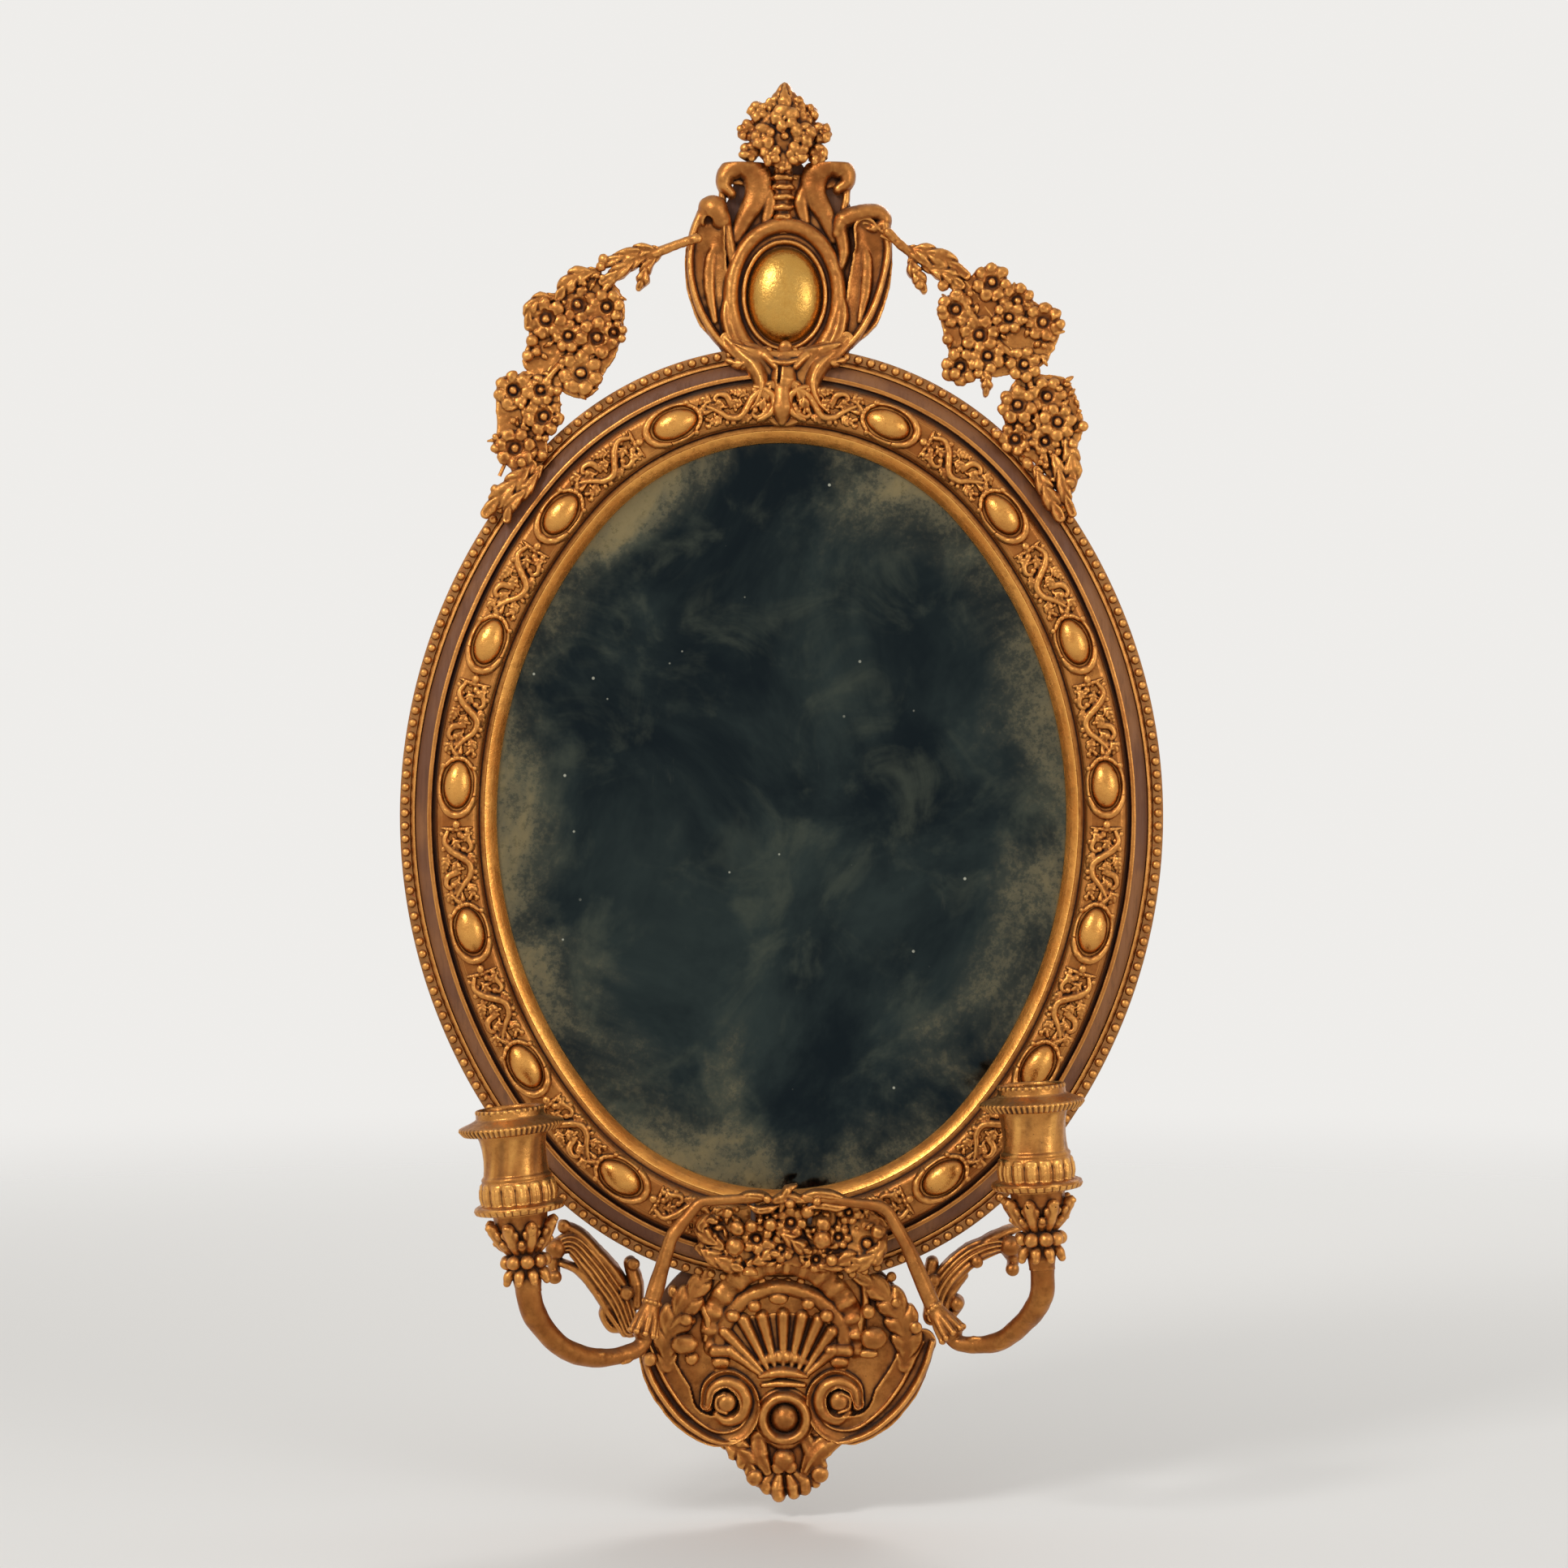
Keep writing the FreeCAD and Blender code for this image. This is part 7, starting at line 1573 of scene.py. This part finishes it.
def lower_scrolls():
    """The two leaf scrolls that run from behind the cups down to the apron."""
    clay = Clay((-158, 8.2, -48), (-76, 29, 44), cell=0.7)
    clay.stroke([(-145.1, 24.8), (-134.2, 27.4), (-122.7, 16.0), (-113.4, 4.0), (-104.5, -9.5),
                 (-97.8, -27.2)], [5.2, 7.8, 8.8, 8.8, 8.3, 6.2], [22, 25, 26, 26.5, 26, 24], 8.4,
                crown=0.35, flutes=5, flute=1.8)
    clay.stroke([(-142.0, 14.4), (-130.5, 9.2), (-119.6, -3.8), (-109.7, -19.4), (-101.4, -31.3)],
                [2.6, 3.1, 3.1, 3.1, 2.1], [20, 22, 23, 23, 22], 8.4, crown=0.5)
    clay.stroke([(-142.0, 39.4), (-130.5, 34.2), (-118.6, 22.2), (-107.1, 9.2), (-97.8, -5.3)],
                [2.6, 3.1, 3.6, 3.6, 2.6], [20, 22, 24, 24, 22], 8.4, crown=0.5)
    clay.stroke([(-100.4, -27.2), (-109.7, -27.2), (-114.9, -17.8), (-110.8, -12.6), (-105.6, -16.8)],
                [3.1, 3.1, 3.1, 3.1, 2.1], [20, 21, 22, 22, 23], 8.4, crown=0.5)
    clay.stroke([(-97.8, 14.4), (-94.1, 1.4), (-93.1, -11.6)], [4.2, 5.2, 4.2], [20, 23, 22], 8.4, crown=0.5)
    clay.stroke([(-142.0, 24.8), (-147.2, 15.5), (-146.1, 5.6)], [4.2, 4.2, 3.6], [20, 20, 19], 8.4,
                crown=0.7)
    for (x, z), half, lift in zip([(-146.1, 5.6), (-145.1, 24.3), (-139.9, 38.3), (-99.3, -3.8),
                                   (-95.2, 14.4)], (4.6, 6.6, 4.6, 4.5, 4.2), (18, 20, 18, 24, 22)):
        clay.ball((x, lift, z), (half, half * 0.9, half), blend=0.4)
    clay.rough(0.17, 3.2, 89)
    clay.finish("lower_scroll_left", GILT, clip_base=8.3, at=(0, APRON_Z))
    clay = Clay((76, 8.2, -48), (160, 29, 44), cell=0.7)
    clay.stroke([(147.2, 26.4), (136.2, 25.9), (123.2, 20.7), (111.8, 11.3), (102.4, -1.2), (97.2, -19.4)],
                [4.7, 6.2, 7.3, 7.8, 7.8, 6.2], [22, 25, 26, 26.5, 26, 24], 8.4, crown=0.35, flutes=4,
                flute=1.7)
    clay.stroke([(155.5, 37.8), (144.0, 34.2), (132.6, 29.0), (121.2, 20.7)], [2.6, 3.6, 3.6, 2.6],
                [18, 22, 24, 24], 8.4, crown=0.5)
    clay.stroke([(118.0, 6.6), (111.8, -1.2), (106.6, -11.6), (105.0, -27.2)], [2.6, 3.1, 3.1, 2.6],
                [21, 22, 23, 22], 8.4, crown=0.5)
    clay.stroke([(102.4, -27.2), (110.8, -17.8), (114.9, -10.5), (109.7, -6.4)], [3.1, 3.1, 3.1, 2.1],
                [20, 21, 22, 22], 8.4, crown=0.5)
    clay.stroke([(97.2, 14.4), (94.6, -1.2), (97.2, -16.8)], [4.2, 5.2, 4.2], [20, 23, 22], 8.4, crown=0.5)
    clay.stroke([(144.0, 24.8), (149.2, 17.5), (148.7, 10.8)], [4.7, 4.2, 3.6], [20, 20, 19], 8.4, crown=0.7)
    for (x, z), half, lift in zip([(147.2, 25.9), (148.7, 10.8), (112.8, -11.1), (97.8, 4.0),
                                   (125.3, 16.5)], (7.0, 4.4, 4.6, 4.5, 4.2), (20, 18, 21, 23, 24)):
        clay.ball((x, lift, z), (half, half * 0.9, half), blend=0.4)
    clay.rough(0.17, 3.2, 97)
    clay.finish("lower_scroll_right", GILT, clip_base=8.3, at=(0, APRON_Z), replaced=["lower_scrolls"])


basket()
lower_scrolls()

# ---------------------------------------------------------------- floor, light and camera

FLOOR_RADIUS, FLOOR_Z, FLOOR_CORNERS = 3.2, -0.452, 64  # m
ground = bpy.data.meshes.new("floor")
turns = [2 * math.pi * n / FLOOR_CORNERS for n in range(FLOOR_CORNERS)]
ground.from_pydata([(FLOOR_RADIUS * math.cos(t), FLOOR_RADIUS * math.sin(t), FLOOR_Z) for t in turns], [],
                   [list(range(FLOOR_CORNERS))])
floor = bpy.data.objects.new("floor", ground)
bpy.context.scene.collection.objects.link(floor)
pale = Look("pale_floor")
away = pale.node("VectorMath", operation="LENGTH")
pale.join(pale.stretched((1, 1, 0)), away.inputs[0])
clear = pale.node("BsdfTransparent")
blend_out = pale.node("MixShader")
pale.join(pale.between(away.outputs["Value"], 0.7, 3.0), blend_out.inputs[0])
pale.join(pale.shader.outputs[0], blend_out.inputs[1])
pale.join(clear.outputs[0], blend_out.inputs[2])
pale.join(blend_out.outputs[0], pale.tree.nodes["Material Output"].inputs["Surface"])
ground.materials.append(pale.finish(Base_Color=(0.80, 0.79, 0.77), Roughness=0.9))

world = bpy.data.worlds.new("studio")
bpy.context.scene.world = world
world.use_nodes = True
room = world.node_tree
rays = room.nodes.new("ShaderNodeLightPath")
seen = room.nodes.new("ShaderNodeMath")
seen.operation = "MAXIMUM"
room.links.new(rays.outputs["Is Camera Ray"], seen.inputs[0])
also = room.nodes.new("ShaderNodeMath")
also.operation = "MAXIMUM"
room.links.new(rays.outputs["Is Glossy Ray"], also.inputs[0])
room.links.new(rays.outputs["Is Transmission Ray"], also.inputs[1])
room.links.new(also.outputs[0], seen.inputs[1])
strength = room.nodes.new("ShaderNodeMapRange")
room.links.new(seen.outputs[0], strength.inputs["Value"])
strength.inputs["To Min"].default_value = 0.55
strength.inputs["To Max"].default_value = 0.86
backdrop = room.nodes["Background"]
backdrop.inputs["Color"].default_value = (1.0, 0.985, 0.96, 1)
room.links.new(strength.outputs[0], backdrop.inputs["Strength"])


def lamp(name, place, aim, width, height, power):
    light = bpy.data.lights.new(name, "AREA")
    light.shape = "RECTANGLE"
    light.size, light.size_y, light.energy = width, height, power
    item = bpy.data.objects.new(name, light)
    item.location = place
    item.rotation_euler = (Vector(aim) - Vector(place)).to_track_quat("-Z", "Y").to_euler()
    bpy.context.scene.collection.objects.link(item)


lamp("key", (-1.3, -1.9, 1.5), (0, 0, 0), 0.7, 0.7, 26)
lamp("fill", (1.7, -1.7, 0.5), (0, 0, 0), 0.9, 0.9, 9)
lamp("back", (0.6, 1.8, 1.4), (0, 0, 0), 1.0, 0.6, 14)

DISTANCE = 2.33  # m, from the camera to the wall plane
LENS_VIEW = 2 * math.atan(0.5023 / 2.30)  # 0.5023 m to each side at 2.30 m
lens = bpy.data.cameras.new("camera")
lens.sensor_fit = "HORIZONTAL"
lens.angle = LENS_VIEW
camera = bpy.data.objects.new("camera", lens)
camera.location = (0.0016, -DISTANCE, 0.0208)
camera.rotation_euler = (math.pi / 2, 0, 0)
bpy.context.scene.collection.objects.link(camera)
bpy.context.scene.camera = camera
bpy.context.scene.view_settings.view_transform = "Standard"
